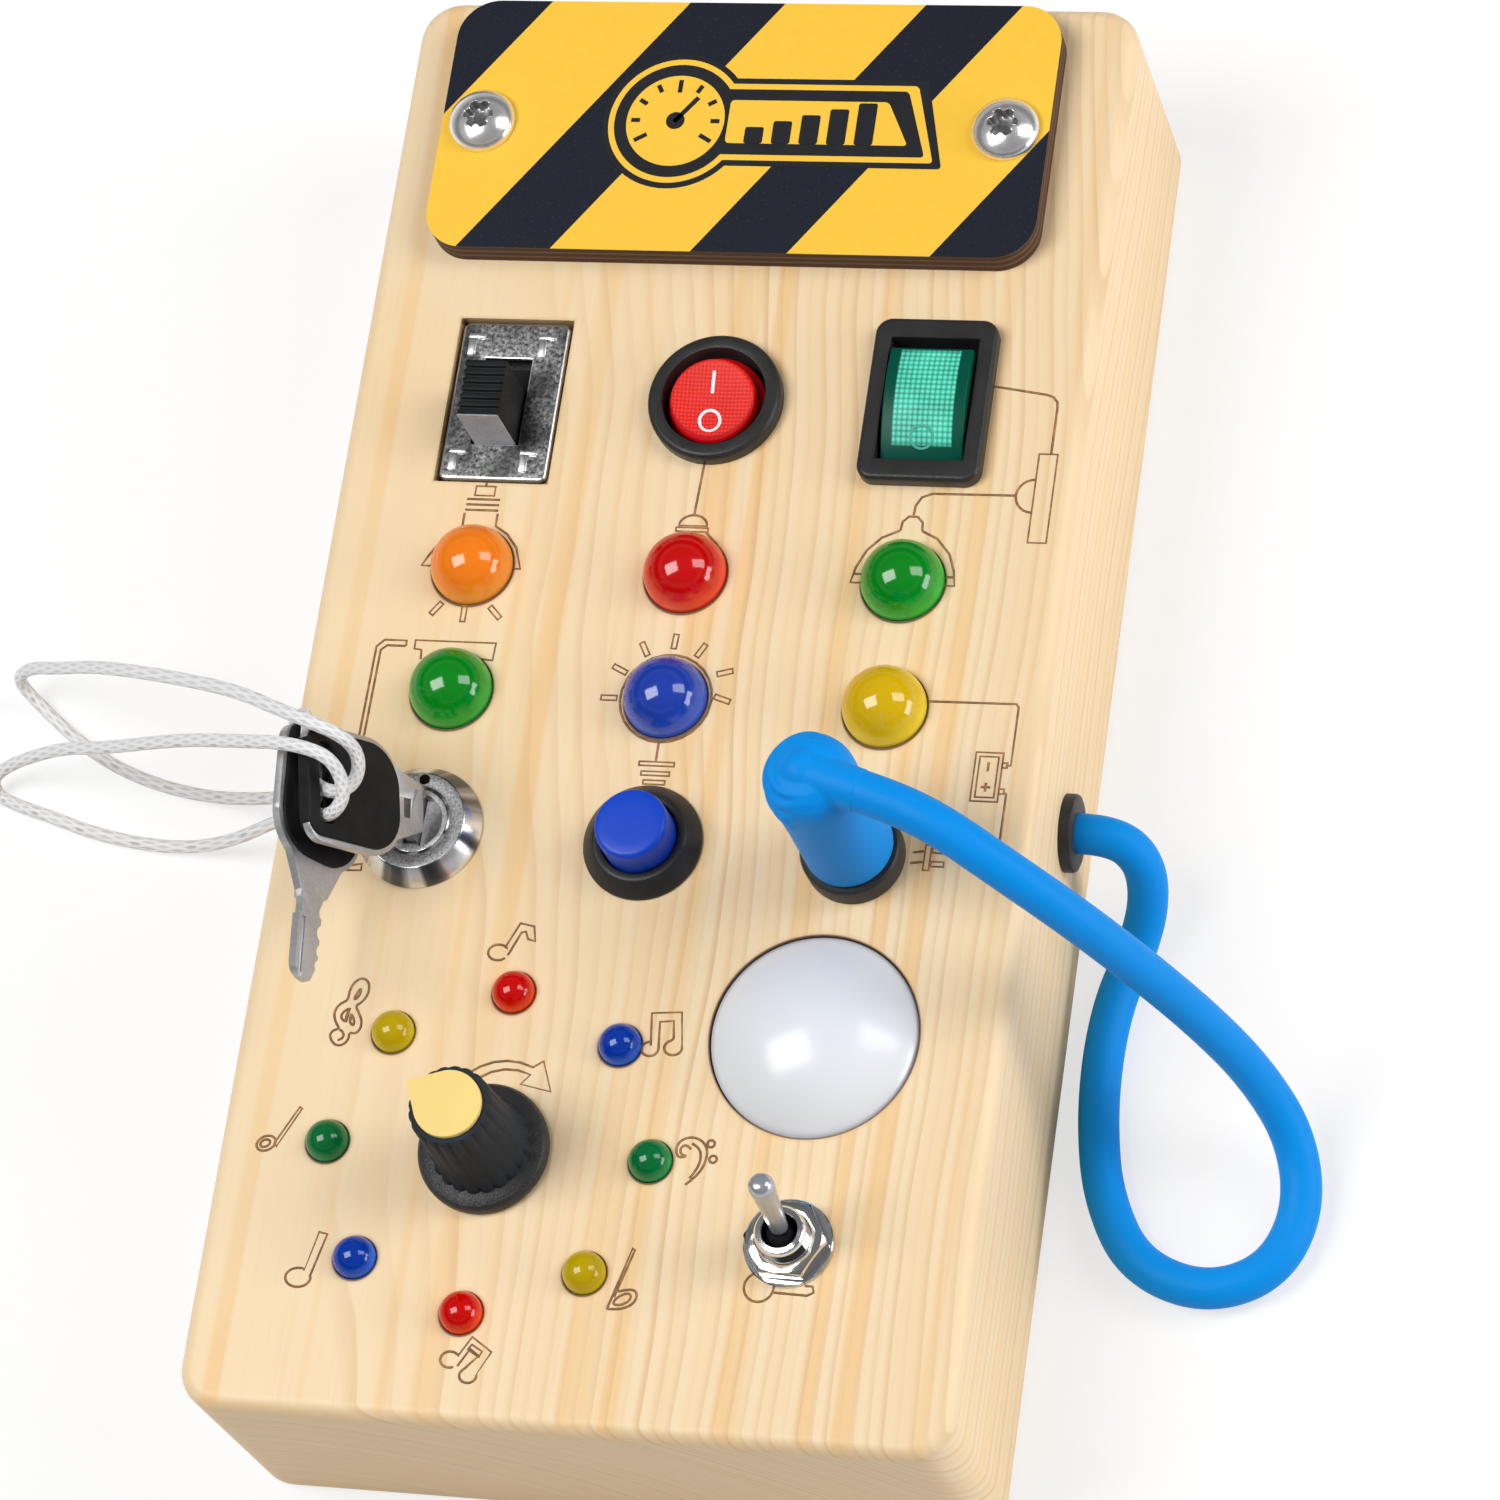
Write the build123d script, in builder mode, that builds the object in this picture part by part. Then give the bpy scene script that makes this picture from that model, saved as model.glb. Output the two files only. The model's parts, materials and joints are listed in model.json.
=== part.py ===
from build123d import *
import math
import os

# A wooden busy board: a thick wooden block, hollowed from the back, that carries a row of
# switches, lamps, a key lock, a push button, a plug and socket, a dome lamp and a selector dial.
# It lies on its back: +Z points out of its face, +Y runs up the board and the origin is the
# centre of its back.

os.makedirs("parts", exist_ok=True)

# ---------------------------------------------------------------- driving dimensions, in mm
BOARD_WIDTH = 90.0
BOARD_LENGTH = 180.0
BOARD_HEIGHT = 31.5
BOARD_CORNER = 5.0
FACE_ROUND = 1.8
FOOT_CHAMFER = 0.5
FACE_THICKNESS = 4.0
WALL = 7.0
POCKET_TOP = 47.0

FACE = BOARD_HEIGHT                 # heights of the controls are measured from here
UNDER = -FACE_THICKNESS             # underside of the face, from the face
FIT = 0.1                           # general play of a piece in its hole, on the radius
RUN = 0.05                          # running play of a shaft or pin, on the radius
SEAT = 0.3                          # air under a loose or soft piece

# back panel, its screws and posts
PANEL_THICKNESS = 3.0
PANEL_MARGIN = 3.0
PANEL_GAP = 0.3
PANEL_CORNER = 2.3
POST_SIZE = 9.0
MID_POST_DEPTH = 5.0
MID_POST_Y = 6.2
SCREW_INSET = 8.5
MID_SCREW_INSET = 9.0
SCREW_SHANK = 1.3
SCREW_HEAD = 2.5
SCREW_HEAD_DEPTH = 1.3
SCREW_LENGTH = 10.0

# battery bay, from the back
BAY_CENTRE = (-1.0, 68.0)
BAY_SIZE = (55.0, 38.0)
BAY_DEPTH = 19.0
CHANNEL_WIDTH = 10.0
CHANNEL_DEPTH = (3.0, 12.0)
HOLDER_SIZE = (52.0, 35.0)
HOLDER_BOTTOM = 4.5
HOLDER_WALL = 1.2
CELL_RADIUS = 5.25
CELL_LENGTH = 44.5
CELL_NUB = 1.0
CELL_PITCH = 10.85
CONTACT_THICKNESS = 0.4
DOOR_LENGTH = 59.4
DOOR_WIDTH = 32.4
DOOR_LEFT = -26.7
DOOR_TONGUE = 1.5
DOOR_TONGUE_WIDTH = 24.0
DOOR_SCREW_INSET = 3.2

# sign plate
SIGN_SIZE = (75.3, 33.6)
SIGN_CENTRE = (-1.0, 71.2)
SIGN_THICKNESS = 3.5
SIGN_CORNER = 5.0
SIGN_SCREWS = [(-33.45, 71.2), (31.45, 71.2)]
SIGN_SCREW_HEAD = 4.1
SIGN_SCREW_HEAD_HEIGHT = 2.6
SIGN_SCREW_SHANK = 1.75
SIGN_SCREW_LENGTH = 12.0

# slide switch
SLIDE_AT = (-26.0, 35.8)
SLIDE_COVER = (13.4, 20.8)
SLIDE_COVER_TOP = -0.2
SLIDE_SHEET = 0.6
SLIDE_WINDOW_GAP = 0.4
SLIDE_SLOT_SHIFT = -0.4
SLIDE_STEM = (5.1, 7.3)
SLIDE_TRAVEL = 3.9
SLIDE_SLOT = (5.9, SLIDE_STEM[1] + SLIDE_TRAVEL + 2 * RUN)
SLIDE_STEM_TOP = 7.5
SLIDE_FOOT = (7.6, 13.0)
SLIDE_GROOVE = 0.45
SLIDE_RIBS = 7
SLIDE_RIB_DEPTH = 0.5
SLIDE_FLANGE = (16.2, 22.2)
SLIDE_FLANGE_THICKNESS = 1.5
SLIDE_BODY = (14.0, 20.0)
SLIDE_BODY_DEPTH = 11.5
SLIDE_BLOCK_TOP = -2.6

# round rocker switch
ROUND_AT = (0.3, 36.3)
ROUND_BEZEL = 8.1
ROUND_BODY = 7.0
ROUND_WELL = 6.3
ROUND_BUTTON = 5.2
ROUND_SKIRT = 5.5
ROUND_PIVOT = -2.3
ROUND_BUTTON_TOP = 4.9
ROUND_TILT = 11.0

# rectangular rocker switch
RECT_AT = (26.1, 36.7)
RECT_BEZEL = (14.8, 20.9)
RECT_BODY = (12.8, 18.8)
RECT_WELL = (10.7, 15.7)
RECT_BUTTON_WIDTH = 9.9
RECT_BUTTON_HALF = 7.0
RECT_PIVOT = -2.9
RECT_CROWN = 6.0
RECT_SHOULDER = 4.4
RECT_TILT = 9.5

BEZEL_HEIGHT = 2.0
ROCKER_DEPTH = 14.5
ROCKER_WELL_DEPTH = 9.5
ROCKER_SKIRT = 3.2
TRUNNION = 0.75
TRUNNION_PLAY = 0.1
TERMINAL = (0.6, 3.0)
TERMINAL_LENGTH = 4.5

# lamps
COLUMNS = (-26.4, -0.3, 25.85)
ROWS = (14.15, -1.7)
LAMP_RADIUS = 4.95
LAMP_FLANGE = 5.5
LAMP_DEPTH = 8.5
LAMP_FLANGE_HEIGHT = 1.5
LEG_SPREAD = 1.27
LEG_SIZE = 0.5
LEG_LENGTH = 3.0
CIRCUIT_THICKNESS = 1.6
LAMP_BOARD_SIZE = (64.0, 29.5)
LAMP_BOARD_CENTRE_Y = 6.25

# key lock
LOCK_AT = (-27.2, -19.3)
LOCK_BEZEL = 7.45
LOCK_FACE = 6.0
LOCK_FACE_HEIGHT = 2.7
LOCK_BARREL = 5.8
LOCK_DEPTH = 15.5
LOCK_PLUG = 3.9
LOCK_RETAINER = 5.0
LOCK_RETAINER_THICKNESS = 1.5
LOCK_RECESS = 0.6
LOCK_DIMPLE = (0.4, 5.1)
LOCK_NUT_FLATS = 16.0
NUT_THICKNESS = 3.0

# keys: a straight blade stands in the lock, and the bow leans over from the bend
KEY_BEND = 5.0
KEY_LEAN = Vector(-0.40, -0.19, 0.895).normalized()
KEY_ACROSS = Vector(-0.115, 0.992, 0.037)
KEY_BLADE = (1.6, 5.4)
KEY_BLADE_DEPTH = 10.5
KEYWAY_PLAY = 0.15
KEY_THICKNESS = 1.8
KEY_NECK_WIDTH = 9.0
KEY_BOW = (13.9, 16.0)
KEY_BOW_START = 1.8
KEY_BOW_SHIFT = 0.55
KEY_SHOULDER_ROUND = 5.6
KEY_END_ROUND = 2.4
KEY_RIM = 0.8
KEY_INLAY = 0.5
KEY_SLOT = (9.5, 2.2)
KEY_SLOT_AT = 15.0
SPARE_OFFSET = 4.2
SPARE_BOW = (0.0, 10.8)             # centre of the spare bow, across and along the front key
SPARE_TURN = -99.3                  # degrees from the front key's own axis
SPARE_BLADE = (4.4, 13.0)

# push button
BUTTON_AT = (-0.25, -19.8)
BUTTON_BEZEL = 7.05
BUTTON_BEZEL_TOP = 5.5
BUTTON_BEZEL_HEIGHT = 2.3
BUTTON_BODY = 5.9
BUTTON_MOUTH = 4.6
BUTTON_BORE = 5.0
BUTTON_LIP = -0.5
BUTTON_CAP = 4.3
BUTTON_CAP_FOOT = 4.45
BUTTON_TRAVEL = 2.5
BUTTON_PRESSED_HEIGHT = 1.6
BUTTON_CAP_TOP = BUTTON_BEZEL_HEIGHT + BUTTON_TRAVEL + BUTTON_PRESSED_HEIGHT
BUTTON_FLANGE = 4.9
BUTTON_FLANGE_THICKNESS = 2.0
BUTTON_FLOOR = 1.2
BUTTON_DEPTH = 15.5
BUTTON_NUT_FLATS = 14.0
SPRING_RADIUS = 3.4
SPRING_WIRE = 0.3
SPRING_TURNS = 7

# socket and plug
SOCKET_AT = (24.9, -20.1)
SOCKET_COLLAR = 5.9
SOCKET_COLLAR_HEIGHT = 3.2
SOCKET_BARREL = 4.0
SOCKET_DEPTH = 16.5
SOCKET_NUT_FLATS = 12.0
PIN_RADIUS = 1.75
PIN_DEPTH = 10.5
PIN_ROOT = 4.0
PIN_PLAY = 0.1
BOOT_RADIUS = 5.25
BOOT_SHOULDER = 20.0
BOOT_TOP = 27.3
BOOT_GAP = 0.2
BOOT_CORD_HEIGHT = 24.5
BOOT_NECK_RADIUS = 3.1
BOOT_NECK_LENGTH = 6.25
BOOT_NECK_TURN = -16.0
CORD_RADIUS = 2.4

# side holes
SIDE_HOLE_Y = -9.6
SIDE_HOLE_Z = 15.0
GROMMET_FLANGE = 4.6
GROMMET_FLANGE_THICKNESS = 1.5
GROMMET_SLEEVE = 3.2
STRING_HOLE = 2.2
STRING_HOLE_Y = -9.8
STRING_RADIUS = 0.8
KNOT_RADIUS = 2.9
KNOT_LENGTH = 5.0
KNOT_ROUND = 1.1

# dome lamp
DOME_AT = (23.15, -42.0)
DOME_HOLE = 12.15
DOME_RADIUS = 11.8
DOME_EDGE = -1.0
DOME_RISE = 6.0
DOME_WALL = 1.6
DOME_FLANGE = 13.2
DOME_SKIRT_DEPTH = 7.5
CHIP_SIZE = 2.8
CHIP_THICKNESS = 0.8

# ring of small lamps around the selector
DIAL_AT = (-13.0, -57.9)
RING_AT = (-12.75, -57.9)
RING_RADIUS = 19.15
RING_COUNT = 8
SMALL_LAMP = 2.5
SMALL_LAMP_FLANGE = 2.9
SMALL_LAMP_GAP = 0.6               # from the face's underside to a small lamp's flange
SMALL_LAMP_DEPTH = FACE_THICKNESS + SMALL_LAMP_GAP + LAMP_FLANGE_HEIGHT
RING_BOARD = (14.3, 22.5)

# selector switch and knob
SELECTOR_BODY = 13.0
SELECTOR_DEPTH = 13.0
BUSHING_RADIUS = 4.2
BUSHING_TOP = 3.0
SHAFT_RADIUS = 2.97
SHAFT_TOP = 11.5
SHAFT_BORE = 3.0
SELECTOR_NUT_FLATS = 11.0
SELECTOR_NUT_THICKNESS = 1.9
KNOB_SKIRT = 7.65
KNOB_SKIRT_HEIGHT = (0.4, 2.0)
KNOB_BASE = 4.95
KNOB_BASE_HEIGHT = 4.6
KNOB_CROWN = 4.7
KNOB_TOP = 15.5
KNOB_RECESS = 6.7
KNOB_FLUTES = 20
KNOB_FLUTE = 0.55
POINTER_RADIUS = 3.9
POINTER_TIP = 5.8
POINTER_HEIGHT = 0.7
POINTER_ANGLE = 155.0

# toggle switch
TOGGLE_AT = (23.7, -66.5)
TOGGLE_BODY = (8.0, 13.0)
TOGGLE_DEPTH = 14.0
TOGGLE_BUSHING = 3.0
TOGGLE_BUSHING_TOP = 5.0
TOGGLE_PIVOT = 3.0
TOGGLE_BALL = 1.9
TOGGLE_LEVER_ROOT = 1.0
TOGGLE_LEVER_TIP = 1.45
TOGGLE_LEVER_LENGTH = 12.9
TOGGLE_TAIL = 3.0
TOGGLE_TILT = 9.0
TOGGLE_NUT_FLATS = 8.3
TOGGLE_NUT_THICKNESS = 2.0
TOGGLE_WASHER = 5.15
TOGGLE_WASHER_THICKNESS = 0.5

# route of the blue cord, from its grommet to the neck of the plug
CORD_ROUTE = [
    (46.5, -9.6, 15.0), (50.8, -9.6, 15.0), (53.8, -11.2, 11.4), (54.0, -14.4, 6.6),
    (52.4, -19.2, 3.0), (50.4, -25.4, 2.5), (49.8, -33.0, 2.5), (50.3, -41.2, 2.5),
    (52.0, -49.4, 2.5), (56.4, -57.2, 2.5), (64.8, -60.2, 2.5), (72.4, -57.2, 2.5),
    (75.4, -49.6, 2.5), (74.0, -41.6, 5.0), (70.0, -36.8, 12.6), (65.4, -34.5, 23.0),
    (59.8, -32.9, 35.2), (54.2, -31.4, 45.6), (47.4, -28.9, 52.8), (40.6, -25.4, 55.8),
    (35.0, -23.0, 56.0), (30.92, -21.83, 56.0),
]

# route of the white string: out of its hole, over the table, through both keys and back
STRING_ROUTE = [
    (-38.0, -8.95, 15.0), (-45.6, -8.95, 15.0), (-53.2, -8.2, 10.8), (-60.2, -6.2, 4.8),
    (-66.6, -4.6, 1.0), (-73.2, -3.3, 0.9), (-79.4, -1.0, 0.9), (-85.4, 2.6, 0.9),
    (-90.4, 6.6, 0.9), (-92.8, 8.6, 4.2), (-89.4, 8.4, 8.6), (-83.4, 6.0, 14.4),
    (-76.0, 2.9, 22.8), (-69.0, -0.6, 31.0), (-61.4, -3.8, 37.6), (-53.2, -7.2, 44.0),
    (-45.6, -10.4, 49.2), (-39.4, -13.6, 52.6), (-34.8, -15.6, 54.2), (-30.7, -16.8, 52.9),
    (-29.6, -17.6, 50.5), (-29.3, -19.4, 49.4), (-29.8, -21.4, 49.5), (-31.1, -22.8, 50.5),
    (-33.6, -22.0, 49.9), (-35.5, -20.1, 49.5), (-36.0, -17.3, 49.9), (-36.1, -14.2, 49.9),
    (-37.5, -12.3, 48.5), (-39.2, -12.6, 46.5), (-39.4, -14.5, 45.0), (-38.2, -16.7, 44.5),
    (-35.0, -16.5, 47.0), (-34.7, -18.8, 47.4), (-34.6, -21.7, 47.5), (-34.5, -24.4, 48.4),
    (-32.3, -25.4, 49.7), (-30.7, -24.9, 50.6), (-29.8, -23.4, 51.5), (-30.1, -21.5, 53.1),
    (-31.3, -20.2, 55.2), (-34.4, -19.4, 55.8), (-38.4, -18.5, 54.4), (-43.0, -17.2, 51.0),
    (-48.4, -15.4, 46.4), (-54.4, -13.2, 40.6), (-61.2, -10.8, 33.4), (-68.2, -8.0, 25.0),
    (-75.0, -5.4, 17.4), (-81.4, -3.4, 11.8), (-87.0, -2.9, 7.6), (-91.2, -3.2, 4.8),
    (-94.0, -4.2, 2.8), (-93.6, -5.8, 0.9), (-90.6, -7.0, 0.9), (-86.2, -8.2, 0.9),
    (-80.6, -10.0, 0.9), (-74.0, -11.2, 0.9), (-67.4, -11.6, 1.2), (-60.2, -11.7, 4.8),
    (-53.2, -11.3, 10.8), (-45.6, -10.65, 15.0), (-38.0, -10.65, 15.0),
]

# ---------------------------------------------------------------- places worked out from these
HALF_WIDTH = BOARD_WIDTH / 2
HALF_LENGTH = BOARD_LENGTH / 2
POCKET_HALF_WIDTH = HALF_WIDTH - WALL
POCKET_BOTTOM = WALL - HALF_LENGTH
CORNER_POSTS = [(side * POCKET_HALF_WIDTH, POCKET_BOTTOM) for side in (-1, 1)]
MID_POSTS = [(side * (POCKET_HALF_WIDTH - MID_POST_DEPTH / 2), MID_POST_Y) for side in (-1, 1)]
CORNER_SCREWS = [
    (x * (HALF_WIDTH - SCREW_INSET), y * (HALF_LENGTH - SCREW_INSET)) for x in (-1, 1) for y in (-1, 1)
]
MID_SCREWS = [(side * (HALF_WIDTH - MID_SCREW_INSET), MID_POST_Y) for side in (-1, 1)]
PANEL_SCREWS = CORNER_SCREWS + MID_SCREWS
PANEL_SIZE = (BOARD_WIDTH - 2 * PANEL_MARGIN, BOARD_LENGTH - 2 * PANEL_MARGIN)
DOOR_CENTRE = (DOOR_LEFT + DOOR_LENGTH / 2, BAY_CENTRE[1])
DOOR_SCREW = (DOOR_LEFT + DOOR_LENGTH - DOOR_SCREW_INSET, BAY_CENTRE[1])
CELL_ROWS = [(BAY_CENTRE[1] + step * CELL_PITCH, 1 if step else -1) for step in (-1, 0, 1)]
CELL_HEIGHT = HOLDER_BOTTOM + (BAY_DEPTH - SEAT - HOLDER_BOTTOM) - HOLDER_WALL - CELL_RADIUS - FIT
SLIDE_SLOT_AT = (SLIDE_AT[0] + SLIDE_SLOT_SHIFT, SLIDE_AT[1])
SLIDE_STEM_AT = (
    SLIDE_SLOT_AT[0],
    SLIDE_SLOT_AT[1] - SLIDE_SLOT[1] / 2 + SLIDE_STEM[1] / 2 + RUN,
)
ROUND_PLANE = Plane(origin=(*ROUND_AT, FACE + ROUND_PIVOT)).rotated((ROUND_TILT, 0, 0))
RECT_PLANE = Plane(origin=(*RECT_AT, FACE + RECT_PIVOT)).rotated((RECT_TILT, 0, 0))
TOGGLE_PLANE = Plane(origin=(*TOGGLE_AT, FACE + TOGGLE_PIVOT)).rotated((-TOGGLE_TILT, 0, 0))
LAMP_SPOTS = [(x, y) for y in ROWS for x in COLUMNS]
RING_SPOTS = [
    (
        RING_AT[0] + RING_RADIUS * math.cos(math.radians(90 - step * 360 / RING_COUNT)),
        RING_AT[1] + RING_RADIUS * math.sin(math.radians(90 - step * 360 / RING_COUNT)),
    )
    for step in range(RING_COUNT)
]
KEY_NORMAL = KEY_ACROSS.cross(KEY_LEAN).normalized()
KEY_SIDE = KEY_LEAN.cross(KEY_NORMAL)
KEY_PLANE = Plane(origin=(*LOCK_AT, FACE + KEY_BEND), x_dir=KEY_SIDE, z_dir=KEY_NORMAL)
SPARE_SIDE = KEY_SIDE.rotate(Axis((0, 0, 0), KEY_NORMAL), SPARE_TURN)
SPARE_AXIS = KEY_NORMAL.cross(SPARE_SIDE)
BOW_MIDDLE = KEY_BOW_START + KEY_BOW[1] / 2
SPARE_MIDDLE = KEY_PLANE.from_local_coords(Vector(*SPARE_BOW, -SPARE_OFFSET))
SPARE_PLANE = Plane(origin=SPARE_MIDDLE - SPARE_AXIS * BOW_MIDDLE, x_dir=SPARE_SIDE, z_dir=KEY_NORMAL)
CAP_FLANGE_TOP = BUTTON_LIP - RUN
SPRING_BOTTOM = BUTTON_FLOOR - BUTTON_DEPTH
UPWARD = (Align.CENTER, Align.CENTER, Align.MIN)


# ---------------------------------------------------------------- helpers
def post(spot, bottom, top, radius, mode=Mode.ADD):
    """Upright round post at spot, between two heights measured from the face."""
    with Locations((*spot, FACE + bottom)):
        Cylinder(radius, top - bottom, align=UPWARD, mode=mode)


def cone(spot, bottom, top, bottom_radius, top_radius, mode=Mode.ADD):
    """Upright cone at spot, between two heights measured from the face."""
    with Locations((*spot, FACE + bottom)):
        Cone(bottom_radius, top_radius, top - bottom, align=UPWARD, mode=mode)


def block(spot, bottom, top, size, mode=Mode.ADD):
    """Upright box at spot, between two heights measured from the face."""
    with Locations((*spot, FACE + bottom)):
        Box(size[0], size[1], top - bottom, align=UPWARD, mode=mode)


def upright(spot):
    """Plane through spot for a profile: x points along +X and y along +Z, from the face."""
    return Plane(origin=(*spot, FACE), x_dir=(1, 0, 0), z_dir=(0, -1, 0))


def hex_nut(spot, bottom, thickness, flats, bore):
    """Hexagonal nut with a plain bore and softened corners."""
    with BuildPart() as nut:
        with BuildSketch(Plane.XY.offset(FACE + bottom)):
            with Locations(spot):
                RegularPolygon(flats / 2, 6, major_radius=False)
                Circle(bore, mode=Mode.SUBTRACT)
        extrude(amount=thickness)
        with BuildSketch(upright(spot)):
            with BuildLine():
                Polyline(
                    (0, bottom - 1),
                    (0.57 * flats, bottom - 1),
                    (0.57 * flats, bottom + thickness - 0.3),
                    (0.5 * flats, bottom + thickness),
                    (0, bottom + thickness),
                    close=True,
                )
            make_face()
        revolve(axis=Axis((*spot, 0), (0, 0, 1)), mode=Mode.INTERSECT)
    return nut


def lamps(spots, radius, flange, depth):
    """Round-topped lamps with a flange and two legs, their domes centred at the face."""
    with BuildPart() as lamp_group:
        for spot in spots:
            with BuildSketch(upright(spot)):
                with BuildLine():
                    Polyline(
                        (0, radius),
                        (0, -depth),
                        (flange, -depth),
                        (flange, LAMP_FLANGE_HEIGHT - depth),
                        (radius, LAMP_FLANGE_HEIGHT - depth),
                        (radius, 0),
                    )
                    RadiusArc((radius, 0), (0, radius), -radius)
                make_face()
            revolve(axis=Axis((*spot, 0), (0, 0, 1)))
            for side in (-1, 1):
                leg = (spot[0] + side * LEG_SPREAD, spot[1])
                block(leg, -depth - LEG_LENGTH, -depth, (LEG_SIZE, LEG_SIZE))
    return lamp_group


def leg_holes(spots, depth):
    """Holes in a circuit board for the lamp legs."""
    for spot in spots:
        for side in (-1, 1):
            leg = (spot[0] + side * LEG_SPREAD, spot[1])
            post(leg, -depth - CIRCUIT_THICKNESS, -depth, LEG_SIZE, mode=Mode.SUBTRACT)


def corner_radii(route):
    """Radius of each corner of a cord's route: 0.45 of the shorter run over tan(half the turn)."""
    radii = []
    for before, here, after in zip(route, route[1:], route[2:]):
        first = Vector(*here) - Vector(*before)
        second = Vector(*after) - Vector(*here)
        half_turn = math.radians(first.get_angle(second)) / 2
        radii.append(0.45 * min(first.length, second.length) / math.tan(half_turn))
    return radii


def cord_tube(name, route, radius):
    """Round tube along straight runs joined by tangent arcs."""
    radii = corner_radii(route)
    with BuildPart() as tube:
        with BuildLine():
            path = FilletPolyline(*route, radius=radii)
        with BuildSketch(Plane(origin=path @ 0, z_dir=path % 0)):
            Circle(radius)
        sweep()
    expected = math.pi * radius**2 * path.length
    print(name, "radii", [round(value, 1) for value in radii])
    print(name, "length", round(path.length, 1), "volume ratio", round(tube.part.volume / expected, 4))
    return tube


def key_outline(blade_length, blade_width):
    """Outline of a key in its own plane: bow, tapering neck and an optional blade."""
    with BuildSketch() as outline:
        with Locations((0, BOW_MIDDLE)):
            Rectangle(*KEY_BOW)
        fillet(outline.vertices().group_by(Axis.Y)[0], KEY_SHOULDER_ROUND)
        fillet(outline.vertices().group_by(Axis.Y)[-1], KEY_END_ROUND)
        with BuildLine():
            Polyline(
                (-blade_width / 2, -1.5),
                (blade_width / 2, -1.5),
                (KEY_NECK_WIDTH / 2, KEY_BOW_START + 1.2),
                (-KEY_NECK_WIDTH / 2, KEY_BOW_START + 1.2),
                close=True,
            )
        make_face()
        if blade_length:
            with Locations((0, -blade_length / 2)):
                SlotOverall(blade_length + 2, blade_width * 0.98, rotation=90)
    return outline.sketch


def bow_inlay():
    """Black inlay of a key's bow, inside its metal rim and around its slot."""
    with BuildSketch() as inlay:
        with Locations((0, BOW_MIDDLE)):
            Rectangle(KEY_BOW[0] - 2 * KEY_RIM, KEY_BOW[1] - 2 * KEY_RIM)
        fillet(inlay.vertices().group_by(Axis.Y)[0], KEY_SHOULDER_ROUND - KEY_RIM / 2)
        fillet(inlay.vertices().group_by(Axis.Y)[-1], KEY_END_ROUND - KEY_RIM / 2)
        with Locations((0, KEY_SLOT_AT)):
            RectangleRounded(*KEY_SLOT, 0.6, mode=Mode.SUBTRACT)
    return inlay.sketch


def key_plate(plane, blade_length, blade_width):
    """Metal plate of a key, recessed on both sides for its inlays."""
    with BuildPart() as plate:
        with BuildSketch(plane):
            add(key_outline(blade_length, blade_width))
            with Locations((0, KEY_SLOT_AT)):
                RectangleRounded(*KEY_SLOT, 0.6, mode=Mode.SUBTRACT)
        extrude(amount=KEY_THICKNESS / 2, both=True)
        for level in (KEY_THICKNESS / 2 - KEY_INLAY, -KEY_THICKNESS / 2):
            with BuildSketch(plane.offset(level)):
                add(bow_inlay())
            extrude(amount=KEY_INLAY, mode=Mode.SUBTRACT)
    return plate


def key_inlays(plane):
    """The two black inlays of a key's bow."""
    with BuildPart() as inlays:
        for level in (KEY_THICKNESS / 2 - KEY_INLAY, -KEY_THICKNESS / 2):
            with BuildSketch(plane.offset(level)):
                add(bow_inlay())
            extrude(amount=KEY_INLAY)
    return inlays


def finish(name, piece):
    """Label a piece and write its file."""
    piece.part.label = name
    export_step(piece.part, f"parts/{name}.step")


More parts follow.
